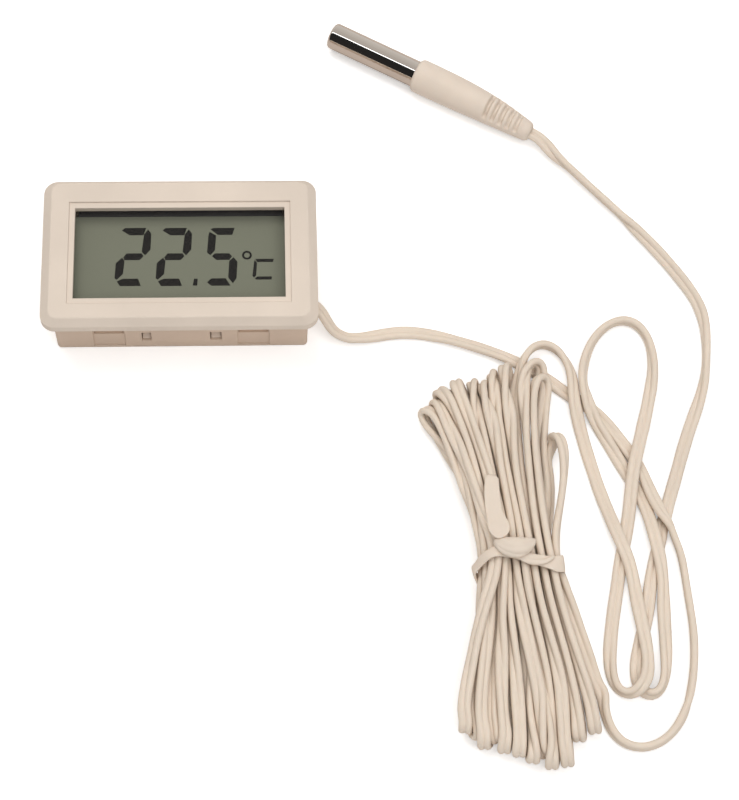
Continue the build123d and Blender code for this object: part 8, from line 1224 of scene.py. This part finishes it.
4934-7486 83 985-173-9,4920-7567 83 986-166-6,4907-7649 84 987-158-5
4894-7731 84 989-148-6,4883-7814 84 991-136-8,4872-7897 85 993-117-12
4863-7981 85 996-86-20,4856-8067 85 998-45-32,4852-8154 85 998-10-55
4852-8238 89 994 3-112,4855-8313 111 980 14-198,4866-8373 151 947 53-317
4888-8414 199 905 50-423,4913-8435 245 912-21-409,4928-8435 285 976-13-218
4929-8409 320 972 179-153,4923-8356 348 936 264-232,4909-8284 369 916 268-300
4891-8201 381 911 226-345,4874-8114 384 915 168-366,4861-8026 383 926 106-362
4856-7943 381 942 27-335,4858-7862 379 955-52-292,4863-7783 379 967-99-236
4871-7705 379 979-116-166,4879-7628 379 989-123-83,4888-7550 380 992-129 11
4898-7473 380 985-132 114,4908-7396 381 966-133 224,4918-7318 382 932-130 338
4928-7241 383 882-125 454,4938-7164 384 815-117 568,4948-7086 385 729-106 676
4958-7009 386 627-93 774,4967-6931 388 510-77 857,4976-6854 390 382-63 922
4985-6776 392 247-57 967,4994-6698 395 113-55 992,5002-6620 398-14-45 999
5011-6542 402-129-30 991,5018-6464 404-227-20 974,5026-6385 407-307-12 952
5033-6307 410-367-2 930,5041-6228 412-408 11 913,5049-6149 414-431 24 902
5058-6070 415-438 38 898,5066-5991 416-433 48 900,5075-5913 417-420 51 906
5084-5834 418-394 72 916,5093-5755 418-368 82 926,5100-5677 418-364 31 931
5105-5598 419-351-11 936,5108-5520 419-337-12 941,5110-5442 420-329-11 944
5109-5364 421-327-10 945,5105-5286 422-329-7 944,5100-5208 424-333-12 943
5092-5130 426-330-84 940,5081-5052 428-312-139 940,5069-4975 430-319-120 940
5056-4897 433-309-104 945,5041-4819 436-281-98 955,5026-4742 439-236-85 968
5011-4664 442-172-67 983,4995-4587 444-85-45 995,4979-4509 447 23-20 1000
4962-4432 449 148 10 989,4944-4354 451 286 44 957,4926-4277 453 427 81 900
4907-4200 455 564 122 817,4888-4123 456 685 164 710,4868-4046 457 789 195 583
4850-3970 456 869 217 445,4832-3894 454 923 237 302,4812-3818 453 953 255 164
4792-3743 451 963 267 36,4772-3667 450 958 274-78,4750-3592 448 944 279-177
4728-3517 447 924 282-260,4705-3442 446 901 284-328,4681-3368 445 878 285-384
4657-3293 445 856 288-430,4632-3219 445 834 292-468,4605-3145 445 811 301-502
4578-3072 446 784 317-534,4549-2998 448 753 340-563,4518-2926 451 722 365-588
4485-2858 455 699 384-603,4448-2793 455 693 396-603,4409-2734 448 704 403-585
4367-2683 433 725 416-549,4324-2642 407 747 436-502,4283-2615 369 764 463-450
4251-2605 322 771 497-398,4233-2618 269 755 538-375,4235-2652 223 723 555-411
4254-2704 192 702 515-491,4283-2765 178 692 429-581,4313-2828 176 660 336-672
4346-2892 178 588 264-765,4381-2956 181 482 204-852,4417-3020 186 362 139-922
4454-3083 191 236 65-970,4491-3147 196 110-14-994,4529-3212 202-12-93-996
4567-3276 208-128-168-977,4604-3342 215-234-235-943,4641-3407 223-328-291-898
4678-3473 232-408-337-849,4714-3539 242-470-373-800,4751-3606 252-516-399-758
4786-3673 264-542-416-730,4822-3741 277-549-425-720,4857-3809 291-533-428-730
4893-3877 305-492-424-760,4928-3945 321-421-413-808,4962-4013 338-315-394-864
4997-4081 355-180-340-923,5032-4149 370-45-203-978,5066-4217 378 79 3-997
5100-4283 378 234 175-956,5133-4349 375 410 275-870,5169-4415 372 561 357-747
5208-4481 372 687 405-604,5251-4547 378 792 416-447,5294-4612 394 838 450-307
5338-4679 414 840 499-214,5384-4747 428 836 530-144,5432-4817 435 831 548-96
5478-4888 440 836 544-71,5520-4959 447 867 493-65,5556-5031 458 910 409-68
5586-5107 468 942 324-88,5611-5185 471 958 259-128,5633-5266 467 959 224-174
5653-5347 461 951 221-215,5673-5426 456 935 248-253,5693-5505 449 910 297-288
5713-5584 440 891 318-323,5733-5664 427 889 284-360,5748-5747 409 888 231-398
5759-5830 388 881 201-428,5768-5912 367 875 188-447,5776-5993 347 873 176-456
5783-6074 329 876 158-455,5790-6155 313 886 138-442,5796-6237 300 901 124-415
5802-6318 289 920 117-375,5808-6399 278 940 111-323,5814-6480 268 960 102-260
5820-6560 259 978 92-188,5825-6640 250 991 82-109,5831-6720 242 997 73-26
5836-6800 234 996 63 59,5842-6880 227 988 55 142,5847-6959 221 974 46 222
5851-7038 215 955 37 295,5856-7118 209 932 27 362,5859-7197 204 907 17 421
5863-7276 200 882 8 471,5865-7355 196 858-2 514,5866-7434 192 836-12 548
5867-7513 188 817-21 576,5867-7592 185 802-28 596,5866-7671 182 792-34 610
5865-7750 179 785-39 618,5863-7829 176 783-43 620,5860-7908 173 785-46 617
5858-7986 170 792-49 609,5854-8065 167 802-53 595,5851-8143 165 817-59 574
5846-8222 162 835-67 547,5841-8300 159 856-80 511,5835-8378 155 879-107 464
5828-8457 150 904-137 404,5819-8536 144 932-147 332,5809-8614 138 960-133 248
5800-8688 140 981-115 154,5790-8754 156 993-103 60,5784-8805 191 994-105-20
5783-8836 240 989-134-63,5786-8841 295 981-192-39,5791-8821 347 964-248 94
5794-8778 387 920-225 322,5793-8718 410 828-118 548,5791-8646 418 691 3 722
5789-8570 414 531 92 843,5787-8491 404 372 138 918,5786-8413 393 236 144 961
5784-8335 383 132 123 984,5782-8257 375 64 101 993,5778-8179 367 30 90 995
5774-8101 360 25 87 996,5771-8024 353 47 83 995,5769-7946 348 93 72 993
5768-7868 343 159 53 986,5769-7791 340 241 25 970,5770-7713 339 334-6 942
5772-7635 340 435-31 900,5773-7557 342 537-45 842,5775-7479 346 634-49 772
5776-7400 350 722-43 691,5777-7321 354 796-33 605,5777-7243 359 856-23 517
5777-7164 363 902-15 432,5776-7085 368 935-9 353,5776-7007 374 959-6 284
5776-6928 379 975-4 223,5776-6850 384 985-5 172,5776-6771 390 992-8 128
5777-6693 396 996-12 91,5778-6615 403 998-20 57,5781-6537 409 999-33 23
5784-6459 417 999-48-13,5789-6382 425 997-61-50,5794-6304 434 993-70-90
5801-6227 444 988-77-133,5809-6150 455 981-81-177,5818-6072 465 971-82-223
5827-5995 476 960-84-267,5836-5917 484 948-82-308,5845-5840 491 937-74-342
5854-5764 497 928-72-367,5864-5687 503 921-87-381,5874-5610 505 918-101-383
5881-5530 503 925-90-369,5885-5448 498 938-63-341,5887-5367 492 954-48-295
5888-5287 486 972-45-231,5889-5206 481 988-43-151,5891-5126 477 998-39-57
5893-5045 473 998-32 50,5895-4965 469 986-24 165,5897-4885 467 958-14 287
5898-4805 464 913-5 409,5899-4724 462 850 4 527,5899-4645 460 770 11 637
5899-4565 458 678 18 735,5899-4485 456 576 24 817,5899-4406 454 469 29 883
5898-4326 452 364 33 931,5897-4247 449 266 36 963,5895-4168 446 181 39 983
5892-4089 444 112 40 993,5889-4010 440 63 42 997,5884-3931 437 35 44 998
5880-3852 434 30 49 998,5874-3773 430 47 55 997,5869-3694 425 85 63 994
5864-3616 421 142 72 987,5859-3537 416 215 81 973,5853-3458 410 301 90 949
5848-3380 404 397 99 913,5842-3302 398 497 107 861,5837-3223 392 597 114 794
5831-3145 385 692 119 712,5826-3066 377 778 123 616,5820-2988 369 851 120 511
5816-2910 360 909 96 405,5813-2831 351 950 46 308,5813-2753 341 973-14 229
5818-2674 333 982-67 176,5826-2595 328 982-109 153,5837-2516 324 977-139 163
5850-2438 320 967-149 205,5863-2359 314 951-139 275,5876-2281 307 918-142 371
5891-2203 304 857-180 483,5909-2125 308 776-207 596,5930-2047 311 690-171 703
5949-1970 308 601-107 792,5969-1892 301 503-80 861,5991-1814 296 405-80 911
6018-1737 292 325-69 943,6049-1662 287 271-41 962,6086-1590 279 239-10 971
6127-1521 269 225 18 974,6174-1458 256 224 39 974,6226-1402 241 231 51 972
6284-1356 225 240 51 969,6346-1321 208 246 37 968,6412-1299 190 242 9 970
6480-1293 174 220-32 975,6548-1303 159 173-79 982,6614-1327 147 98-124 987
6675-1366 139 0-157 988,6731-1416 133-114-173 978,6779-1476 131-233-170 957
6821-1542 133-348-151 925,6855-1614 137-451-117 885,6883-1689 145-541-75 837
6903-1766 155-617-28 786,6917-1845 167-680 17 733,6926-1924 180-735 54 676
6930-2004 193-784 75 617,6930-2083 205-830 75 553,6930-2162 214-875 52 482
6929-2241 219-915 8 404,6930-2319 218-946-48 320,6934-2397 210-966-103 235
6941-2474 196-977-147 157,6952-2551 178-980-174 93,6965-2628 157-982-185 46
6979-2704 137-982-188 15,6993-2781 118-982-188-3,7008-2858 103-982-188-14
7023-2935 92-982-189-18,7039-3013 84-981-192-18,7054-3091 79-980-196-16
7070-3169 76-979-202-13,7086-3248 73-978-208-9,7103-3326 72-977-213-6
7120-3404 71-976-217-4,7138-3482 70-975-220-2,7156-3560 69-975-222-1
7174-3638 68-975-224 0,7192-3716 68-974-226 0,7210-3794 68-973-229 0
7228-3872 68-972-233 1,7247-3950 70-971-238 1,7266-4027 73-970-242 1
7286-4105 78-969-246 1,7306-4182 86-968-249 0,7325-4258 95-968-250-2
7345-4335 107-968-251-4,7365-4411 122-968-251-8,7384-4487 138-968-251-12
7404-4563 154-967-254-16,7424-4639 171-965-260-20,7444-4715 186-963-269-22
7465-4791 199-960-280-21,7488-4866 209-956-295-14,7512-4942 215-951-310 1
7537-5017 217-946-323 27,7563-5092 215-941-333 64,7590-5167 211-935-336 113
7616-5243 203-929-329 171,7640-5318 194-921-312 231,7662-5394 183-915-285 284
7681-5471 171-914-249 320,7696-5548 160-920-208 333,7709-5626 152-933-164 321
7719-5704 146-950-125 286,7727-5783 144-967-94 235,7734-5862 146-982-75 173
7740-5942 150-992-66 110,7746-6021 158-997-66 51,7752-6101 167-997-73 3
7758-6180 177-996-82-29,7764-6259 187-995-92-41,7771-6339 196-994-101-31
7780-6418 204-994-108-3,7789-6497 209-993-114 40,7798-6576 213-988-120 95
7808-6655 215-980-124 156,7818-6735 214-968-125 219,7828-6815 210-952-119 281
7836-6895 206-936-102 336,7842-6975 202-923-70 379,7846-7056 200-914-21 405
7846-7136 201-912 47 407,7841-7216 207-914 128 385,7831-7295 218-915 215 340
7814-7372 233-907 310 285,7790-7446 253-879 416 234,7758-7515 277-829 515 217
7718-7579 293-774 572 270,7671-7637 287-728 573 376,7620-7684 263-648 558 519
7564-7714 236-512 515 688,7503-7726 208-379 420 825,7441-7718 182-274 323 906
7383-7690 159-166 263 950,7332-7646 142-33 235 971,7290-7588 131 128 217 968
7259-7521 124 303 189 934,7237-7448 120 469 165 868,7223-7371 115 615 139 776
7217-7291 108 737 93 669,7215-7209 101 830 39 557,7218-7128 95 895-13 446
7224-7046 89 938-59 343,7232-6965 83 963-96 252,7243-6885 79 977-124 175
7254-6805 75 983-145 114,7267-6725 72 985-160 67,7280-6646 70 985-170 34
7294-6567 69 984-179 11,7309-6489 69 983-186-2,7324-6410 69 981-192-9
7340-6332 69 980-199-12,7356-6253 70 979-204-12,7372-6175 70 978-209-11
7389-6097 70 977-211-10,7406-6019 70 977-212-9,7423-5941 70 978-211-10
7440-5862 70 978-208-13,7456-5784 70 979-205-17,7473-5706 70 979-203-22
7489-5628 70 979-203-27,7505-5549 70 978-208-31,7522-5471 70 976-216-34
7540-5393 70 973-227-35,7558-5315 70 971-238-34,7578-5237 70 969-247-31
7598-5160 70 967-253-27,7619-5082 69 967-254-21,7639-5004 69 968-251-15
7659-4927 68 970-243-8,7678-4849 70 972-233 2,7696-4772 73 975-222 16
7713-4694 78 977-211 36,7729-4617 85 978-201 62,7744-4539 95 977-193 95
7757-4462 108 973-188 133,7770-4385 123 967-187 172,7782-4307 139 960-187 208
7793-4230 157 953-188 236,7804-4152 173 949-189 252,7815-4074 189 948-190 257
7828-3995 202 949-192 251,7841-3916 212 951-197 239,7856-3837 219 954-205 221
7872-3759 223 956-217 196,7891-3681 223 959-233 164,7911-3603 220 960-252 123
7932-3526 214 960-271 76,7955-3450 206 957-288 28,7979-3374 197 954-300-12
8003-3298 186 951-308-38,8027-3223 175 950-310-48,8051-3147 163 951-308-40
8074-3072 151 953-302-17,8098-2997 140 956-294 16,8121-2921 129 957-285 57
8144-2845 119 956-276 100,8167-2769 111 953-268 144,8190-2693 104 947-260 186
8212-2616 98 940-254 226,8234-2539 93 932-250 264,8255-2462 91 922-246 300
8276-2385 89 909-243 337,8296-2308 91 894-241 378,8316-2230 94 874-233 426
8335-2152 97 848-219 482,8352-2073 101 812-202 548,8368-1995 105 764-181 620
8383-1915 110 702-154 695,8395-1835 114 628-122 768,8404-1754 118 544-90 834
8410-1672 122 455-63 888,8412-1588 125 366-38 930,8411-1504 128 284-14 959
8405-1420 130 212 4 977,8394-1335 131 152 17 988,8377-1251 131 105 24 994
8354-1169 131 70 26 997,8323-1091 131 46 25 999,8285-1019 131 30 23 999
8239-954 130 20 21 1000,8185-899 130 14 20 1000,8123-855 130 10 20 1000
8056-825 130 7 21 1000,7983-810 130 3 24 1000,7908-809 130-2 29 1000
7831-822 130-9 35 999,7755-848 130-19 45 999,7682-886 130-33 56 998
7612-932 130-53 70 996,7547-986 130-79 86 993,7487-1045 130-113 102 988
7432-1109 130-154 118 981,7383-1176 129-202 132 971,7338-1245 129-253 143 957
7299-1317 128-306 151 940,7264-1390 128-357 158 921,7233-1465 128-401 164 902
7206-1541 129-436 171 884,7182-1617 132-460 180 869,7162-1694 138-475 190 859
7145-1772 146-482 199 853,7132-1849 157-487 203 849,7124-1927 171-497 196 845
7120-2005 186-520 170 837,7122-2082 201-562 120 819,7127-2160 214-625 45 780
7137-2238 223-706-49 707,7150-2315 226-795-146 589,7166-2393 223-878-224 422
7184-2469 215-939-266 216,7205-2545 202-961-276-10,7228-2620 187-936-264-233
7254-2692 170-872-240-426,7283-2763 154-791-215-573,7315-2832 138-715-205-668
7349-2901 126-662-219-717,7383-2969 117-642-249-726,7418-3038 111-652-283-703
7454-3108 108-685-312-658,7489-3178 104-728-336-598,7525-3249 100-770-358-529
7562-3321 95-805-380-455,7598-3393 91-834-401-379,7635-3465 86-856-417-305
7672-3537 82-872-431-234,7709-3610 78-882-440-170,7746-3683 75-887-447-115
7783-3755 72-889-452-72,7820-3827 70-889-455-41,7856-3898 69-891-454-22
7892-3969 69-895-446-12,7927-4039 69-904-426-9,7959-4110 69-919-395-9
7988-4182 73-935-355-9,8014-4255 80-950-312-7,8036-4330 90-963-271-5
8056-4406 102-972-235-3,8073-4482 116-979-204-2,8088-4559 132-984-180-4
8101-4636 150-987-163-10,8113-4714 167-988-152-19,8124-4791 182-989-146-28
8135-4869 196-989-143-35,8146-4948 206-989-142-35,8157-5026 213-989-143-24
8169-5105 215-989-146 4,8180-5183 213-987-151 53,8192-5262 208-980-156 126
8204-5341 200-962-160 221,8214-5420 188-931-163 328,8222-5499 175-887-163 432
8229-5578 159-841-157 517,8233-5656 144-808-142 572,8235-5735 129-797-114 593
8235-5814 116-811-77 581,8233-5893 105-841-38 539,8230-5972 97-879 1 477
8226-6051 92-914 25 405,8221-6130 88-941 34 337,8217-6210 85-959 37 281
8214-6290 83-970 37 242,8210-6370 81-975 36 220,8207-6449 81-976 34 214
8205-6529 81-974 34 222,8202-6609 83-970 36 242,8200-6689 84-961 41 273
8197-6769 87-948 48 313,8193-6850 90-930 59 364,8189-6930 93-903 73 424
8184-7011 98-866 89 493,8177-7093 102-816 107 568,8169-7174 107-753 126 646
8158-7256 111-677 142 722,8144-7338 115-592 159 790,8126-7417 120-501 178 847
8103-7494 124-412 193 890,8074-7565 128-334 204 920,8038-7628 130-269 215 939
7993-7680 131-223 235 946,7940-7716 129-195 285 938,7881-7730 123-93 397 913
7823-7722 120 114 493 863,7769-7691 115 342 519 784,7722-7640 110 555 462 692
7687-7576 104 718 347 603,7665-7504 100 827 196 526,7653-7428 102 883 77 463
7651-7349 100 911-3 412,7656-7270 96 929-77 363,7667-7190 92 940-138 313
7683-7111 86 947-190 259,7702-7032 81 951-234 203,7724-6954 77 952-269 148
7747-6877 74 951-293 99,7772-6800 72 950-308 59,7797-6723 70 949-314 31
7822-6647 69 950-311 15,7847-6570 69 953-302 9,7871-6494 69 958-287 10
7893-6417 69 963-268 13,7914-6339 69 969-247 16,7933-6261 69 974-225 16
7950-6184 69 979-205 12,7966-6105 69 982-190 5,7980-6027 69 983-183-5
7995-5949 69 983-185-15,8010-5870 69 981-195-25,8026-5792 70 977-209-33
8043-5714 70 973-226-38,8062-5637 70 969-245-42,8082-5559 71 964-263-43
8104-5482 71 959-280-43,8127-5405 71 955-293-42,8151-5329 70 953-302-41
8176-5252 70 952-304-38,8200-5175 70 953-302-35,8224-5099 70 955-295-33
8248-5022 70 959-283-31,8270-4945 70 968-249-29,8287-4868 70 977-212-28
8303-4790 70 971-237-26,8326-4711 69 948-318-23,8356-4634 69 933-360-20
8384-4559 69 941-338-16,8409-4485 69 950-313-12,8434-4409 70 950-313-7
8459-4333 70 947-321-3,8485-4258 70 945-327 2,8511-4182 70 943-332 7
8538-4107 70 942-335 13,8565-4031 70 942-336 18,8592-3956 70 941-336 24
8619-3881 70 942-335 30,8646-3805 70 942-333 36,8672-3730 70 943-331 41
8699-3654 71 943-330 45,8725-3579 71 943-328 49,8751-3503 71 943-329 52
8778-3427 71 942-330 56,8804-3352 72 941-334 61,8831-3277 72 938-339 67
8859-3202 73 935-346 77,8887-3127 74 931-353 92,8915-3052 75 926-361 112
8944-2978 76 920-368 138,8974-2904 78 911-374 172,9004-2830 81 901-378 214
9035-2756 84 886-379 265,9065-2683 87 867-377 325,9096-2609 92 842-370 392
9126-2535 96 810-358 465,9156-2461 101 769-339 542,9185-2387 105 719-313 621
9212-2313 110 659-280 698,9239-2237 114 591-242 769,9264-2162 118 517-200 832
9286-2086 121 438-157 885,9307-2009 124 359-117 926,9326-1931 125 282-84 956
9342-1854 127 213-61 975,9357-1776 128 155-45 987,9370-1697 130 111-32 993
9381-1618 131 84-22 996,9391-1539 131 73-15 997,9400-1460 132 80-8 997
9407-1380 131 104-2 995,9414-1301 130 144 3 990,9419-1221 129 200 10 980
9423-1141 127 267 17 964,9425-1061 125 343 23 939,9425-981 122 422 33 906
9422-901 120 500 54 864,9417-822 117 571 82 817,9408-743 114 631 115 767
9395-664 111 679 153 718,9379-587 108 713 195 674,9358-510 106 733 239 637
9333-435 104 743 282 608,9304-361 103 743 322 586,9271-289 102 739 355 573
9235-217 102 732 380 565,9197-147 104 724 400 562,9156-78 105 715 415 563
9114-10 107 707 425 566,9071 58 110 699 431 571,9027 125 112 692 434 577
8983 192 115 684 436 584,8938 258 117 676 437 593,8892 324 120 667 438 602
8846 389 123 657 439 613,8800 454 126 645 440 625,8752 519 129 631 441 638
8704 582 132 616 440 654,8655 645 135 599 437 671,8605 708 138 580 432 691
8555 770 141 560 423 713,8504 832 144 537 410 737,8453 893 147 511 393 764
8402 955 149 483 373 792,8351 1016 152 430 331 840,8299 1078 153 338 257 906
8248 1139 155 217 158 963,8196 1200 157 89 53 995,8145 1261 158-24-41 999
8092 1322 159-107-112 988,8040 1382 160-156-156 975,7987 1442 162-171-173 970
7933 1502 163-170-177 969,7879 1561 164-168-180 969,7825 1620 166-166-183 969
7771 1678 168-164-186 969,7717 1737 170-162-188 969,7663 1796 173-160-190 969
7608 1855 175-158-191 969,7555 1914 178-156-191 969,7501 1973 181-155-192 969
7447 2032 185-155-192 969,7393 2092 188-155-192 969,7340 2151 191-155-193 969
7286 2210 194-155-195 969,7231 2268 197-155-198 968,7176 2326 200-133-182 974
7120 2383 204-70-126 990,7064 2440 207 35-24 999,7006 2496 210 184 116 976
6952 2554 214 341 232 911,6900 2616 219 501 330 800,6851 2680 225 631 418 653
6803 2745 231 711 493 502,6753 2809 237 744 566 355,6702 2871 242 736 643 210
6647 2928 246 687 721 95,6588 2979 249 602 798 24,6522 3022 250 550 835-1
"""
LEAD = np.array(LEAD_ROWS.replace(",", " ").replace("-", " -").split(), float).reshape(-1, 6)
LEAD_END = LEAD[-1, :3] / 100.0
# straight rows that carry the lead into the case and into the boot (mm)
LEAD_IN = [(21.2, -6.5, 5.7), (22.0, -6.5, 5.7)]
LEAD_OUT = [LEAD_END - PROBE_AXIS * 0.7 + UP * 0.02, LEAD_END - PROBE_AXIS * 1.5 + UP * 0.05]


def lead_ring():
    """Outline of the moulded twin lead."""
    angle = np.radians(np.linspace(-138, 138, 11))
    core = np.stack([CORE_OFFSET + CORE_RADIUS * np.cos(angle), CORE_RADIUS * np.sin(angle)], 1)
    return np.vstack([core, [(0.0, WEB_HALF_THICKNESS)], -core, [(0.0, -WEB_HALF_THICKNESS)]])


RING = lead_ring()


def lead_skin():
    """Rings along the whole lead, the length at each, and the ring where each row lands."""
    centre, across = LEAD[:, :3] / 100.0, LEAD[:, 3:] / 1000.0
    centre = np.vstack([LEAD_IN, centre, LEAD_OUT])
    across = np.vstack([np.repeat(across[:1], len(LEAD_IN), 0), across,
                        np.repeat(across[-1:], len(LEAD_OUT), 0)])
    line, starts = spline(np.hstack([centre, across]), 0.5)
    centre = line[:, :3]
    along = tangents(centre)
    across = square_to(line[:, 3:], along)
    normal = np.cross(along, across)
    length = run_length(centre)
    # the moulded jacket is never quite even
    swell = (1 + 0.012 * np.sin(length * 0.9 + 1.3) + 0.009 * np.sin(length * 0.37 + 0.4))
    swell = swell[:, None, None]
    rings = (centre[:, None, :] + across[:, None, :] * RING[None, :, 0:1] * swell
             + normal[:, None, :] * RING[None, :, 1:2] * swell)
    # nothing goes below the table
    rings[..., 2] = np.maximum(rings[..., 2], 0.02)
    return rings, length, starts


def lead_piece(name, first, last):
    """The rings first..last as one piece, closed by flat ends."""
    sides = len(RING)
    count = last - first + 1
    # the end faces have their own points, so the skin's shading runs on past a join
    picked = np.r_[np.arange(first, last + 1), first, last]
    attributes = {"along": np.repeat(LENGTHS[picked], sides),
                  "across": np.tile(RING[:, 0], count + 2),
                  "side": np.tile(RING[:, 1], count + 2)}
    faces = tube_faces(count, sides, caps=False)
    faces.append(tuple(count * sides + j for j in range(sides - 1, -1, -1)))
    faces.append(tuple((count + 1) * sides + j for j in range(sides)))
    piece = new_mesh(name, RINGS[picked].reshape(-1, 3), faces, LEAD_PVC, attributes)
    for face in list(piece.data.polygons)[-2:]:
        face.use_smooth = False
    return piece


# ------------------------------------------------------------ building the pieces
RINGS, LENGTHS, ROW_STARTS = lead_skin()
join_rows = [0] + [row + len(LEAD_IN) for row in LEAD_JOINS] + [len(ROW_STARTS) - 1]
lead_end = LEAD_END * MM
# name, part it replaces, the bodies and points it would blend between (not read here beyond telling it
# from None; such a piece stays where it is), or None: it rides with the hank
LEAD_PIECES = [
    ("lead_jacket_case_side", "lead_case_side",
     ("case", "hank", (0.0224, -0.0065, 0.0057), (0.0330, -0.0070, 0.0050))),
    ("lead_jacket_hank", "lead_hank_turns", None),
    ("lead_jacket_loops", "lead_loose_loops", None),
    ("lead_jacket_probe_side", "lead_probe_side",
     ("hank", "probe", tuple(lead_end + np.array([0.0065, -0.0085, 0])), tuple(lead_end))),
]
for i, (name, replaced, blend) in enumerate(LEAD_PIECES):
    jacket = lead_piece(name, ROW_STARTS[join_rows[i]], ROW_STARTS[join_rows[i + 1]])
    if blend:
        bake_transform(jacket)
    else:
        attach(jacket, "hank")
    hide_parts(replaced)

for name, replaced, rows, form in TAPES:
    tape = tape_piece(name, rows, **form)
    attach(tape, "hank")
    if replaced:
        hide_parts(replaced)

boot = boot_piece("probe_boot_skin")
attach(boot, "probe")
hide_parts("probe_boot")

# ------------------------------------------------------------ floor
FLOOR_HALF = 3.0
FLOOR_GLOW = 0.36  # emission seen by the camera only


def floor_material():
    mat, net, shader = material("floor_paper", (0.93, 0.925, 0.92), rough=0.9, specular=0.1)
    fibres = net.noise(net.coords(), scale=400.0, detail=4.0)
    rays = net.node("LightPath").outputs
    pale = net.mix(net.remap(fibres, span=(0.3, 0.7)), (0.925, 0.92, 0.915), (0.94, 0.936, 0.93))
    # reflections see a warmer, darker floor
    net.setup(shader, Base_Color=net.mix(rays["Is Glossy Ray"], pale, (0.62, 0.52, 0.45)),
              Emission_Color=(1.0, 0.995, 0.99),
              Emission_Strength=net.math("MULTIPLY", rays["Is Camera Ray"], FLOOR_GLOW))
    return mat


floor_paper = floor_material()
floor_mesh = bpy.data.meshes.new("floor")
floor_mesh.from_pydata([(x * FLOOR_HALF, y * FLOOR_HALF, 0)
                        for x, y in ((-1, -1), (1, -1), (1, 1), (-1, 1))], [], [(0, 1, 2, 3)])
floor_mesh.materials.append(floor_paper)
floor = bpy.data.objects.new("floor", floor_mesh)
bpy.context.scene.collection.objects.link(floor)

# ------------------------------------------------------------ world
SOFT_STRENGTH = 0.40
# Reflected surroundings in bands about the probe's axis: place (0 to 1 is half a turn), colour.
REFLECTED_BANDS = [
    (0.0, (0.72, 0.67, 0.62)), (0.25, (0.60, 0.55, 0.50)), (0.50, (0.50, 0.45, 0.41)),
    (0.520, (0.26, 0.23, 0.21)), (0.528, (3.2, 3.2, 3.2)), (0.548, (3.2, 3.2, 3.2)),
    (0.556, (0.02, 0.02, 0.02)), (0.93, (0.025, 0.022, 0.02)), (0.985, (0.05, 0.042, 0.036)),
    (1.0, (0.32, 0.27, 0.23)),
]


def build_world():
    """Even soft light, but bands of light and dark for reflections."""
    world = bpy.data.worlds.new("studio")
    bpy.context.scene.world = world
    world.use_nodes = True
    world.node_tree.nodes.clear()
    net = Net(world.node_tree)
    direction = net.node("TexCoord").outputs["Generated"]
    across = net.dot(direction, tuple(PROBE_ACROSS))
    height = net.node("SeparateXYZ", Vector=direction).outputs[2]
    angle = net.math("ARCTAN2", height, across)
    bands = net.indexed(net.node("ValToRGB"), {0: net.remap(angle, span=(0.0, pi))})
    elements = bands.color_ramp.elements
    while len(elements) < len(REFLECTED_BANDS):
        elements.new(0.5)
    for element, (position, colour) in zip(elements, REFLECTED_BANDS):
        element.position = position
        element.color = (*colour, 1)
    soft = net.node("Background", Color=(1.0, 0.985, 0.965), Strength=SOFT_STRENGTH)
    reflected = net.node("Background", Color=bands.outputs[0], Strength=1.0)
    surface = net.mix_shaders(net.node("LightPath").outputs["Is Glossy Ray"],
                              soft.outputs[0], reflected.outputs[0])
    net.node("OutputWorld", Surface=surface)


build_world()

# ------------------------------------------------------------ lights
LIGHT_TARGET = (0.03, -0.01, 0.0)


def area(name, place, size, power, colour):
    """A disk light aimed at the target and unseen in reflections."""
    light = bpy.data.lights.new(name, "AREA")
    light.shape = "DISK"
    light.size = size
    light.energy = power
    light.color = colour
    lamp = bpy.data.objects.new(name, light)
    lamp.location = place
    aim = Vector(LIGHT_TARGET) - Vector(place)
    lamp.rotation_euler = aim.to_track_quat("-Z", "Y").to_euler()
    lamp.visible_glossy = False
    bpy.context.scene.collection.objects.link(lamp)


area("key_soft", place=(-0.12, 0.22, 0.68), size=0.42, power=1.9, colour=(1.0, 0.985, 0.965))
area("fill_soft", place=(0.20, -0.26, 0.66), size=0.60, power=2.1, colour=(0.98, 0.985, 1.0))

# ------------------------------------------------------------ camera
CAMERA_MATRIX = [
    [0.998634919, 0.010961361, -0.051070025, 0.014775947],
    [-0.030257017, 0.918381895, -0.3945367, -0.164054201],
    [0.042577127, 0.395543352, 0.917459887, 0.329020035],
    [0.0, 0.0, 0.0, 1.0],
]
LENS_MM, SENSOR_MM = 90.8829, 36.0

camera_data = bpy.data.cameras.new("camera")
camera_data.sensor_fit = "AUTO"
camera_data.sensor_width = SENSOR_MM
camera_data.lens = LENS_MM
camera_data.clip_start = 0.01
camera = bpy.data.objects.new("camera", camera_data)
camera.matrix_world = Matrix(CAMERA_MATRIX)
bpy.context.scene.collection.objects.link(camera)
bpy.context.scene.camera = camera
bpy.context.scene.view_settings.view_transform = "Standard"
bpy.context.scene.view_settings.look = "None"
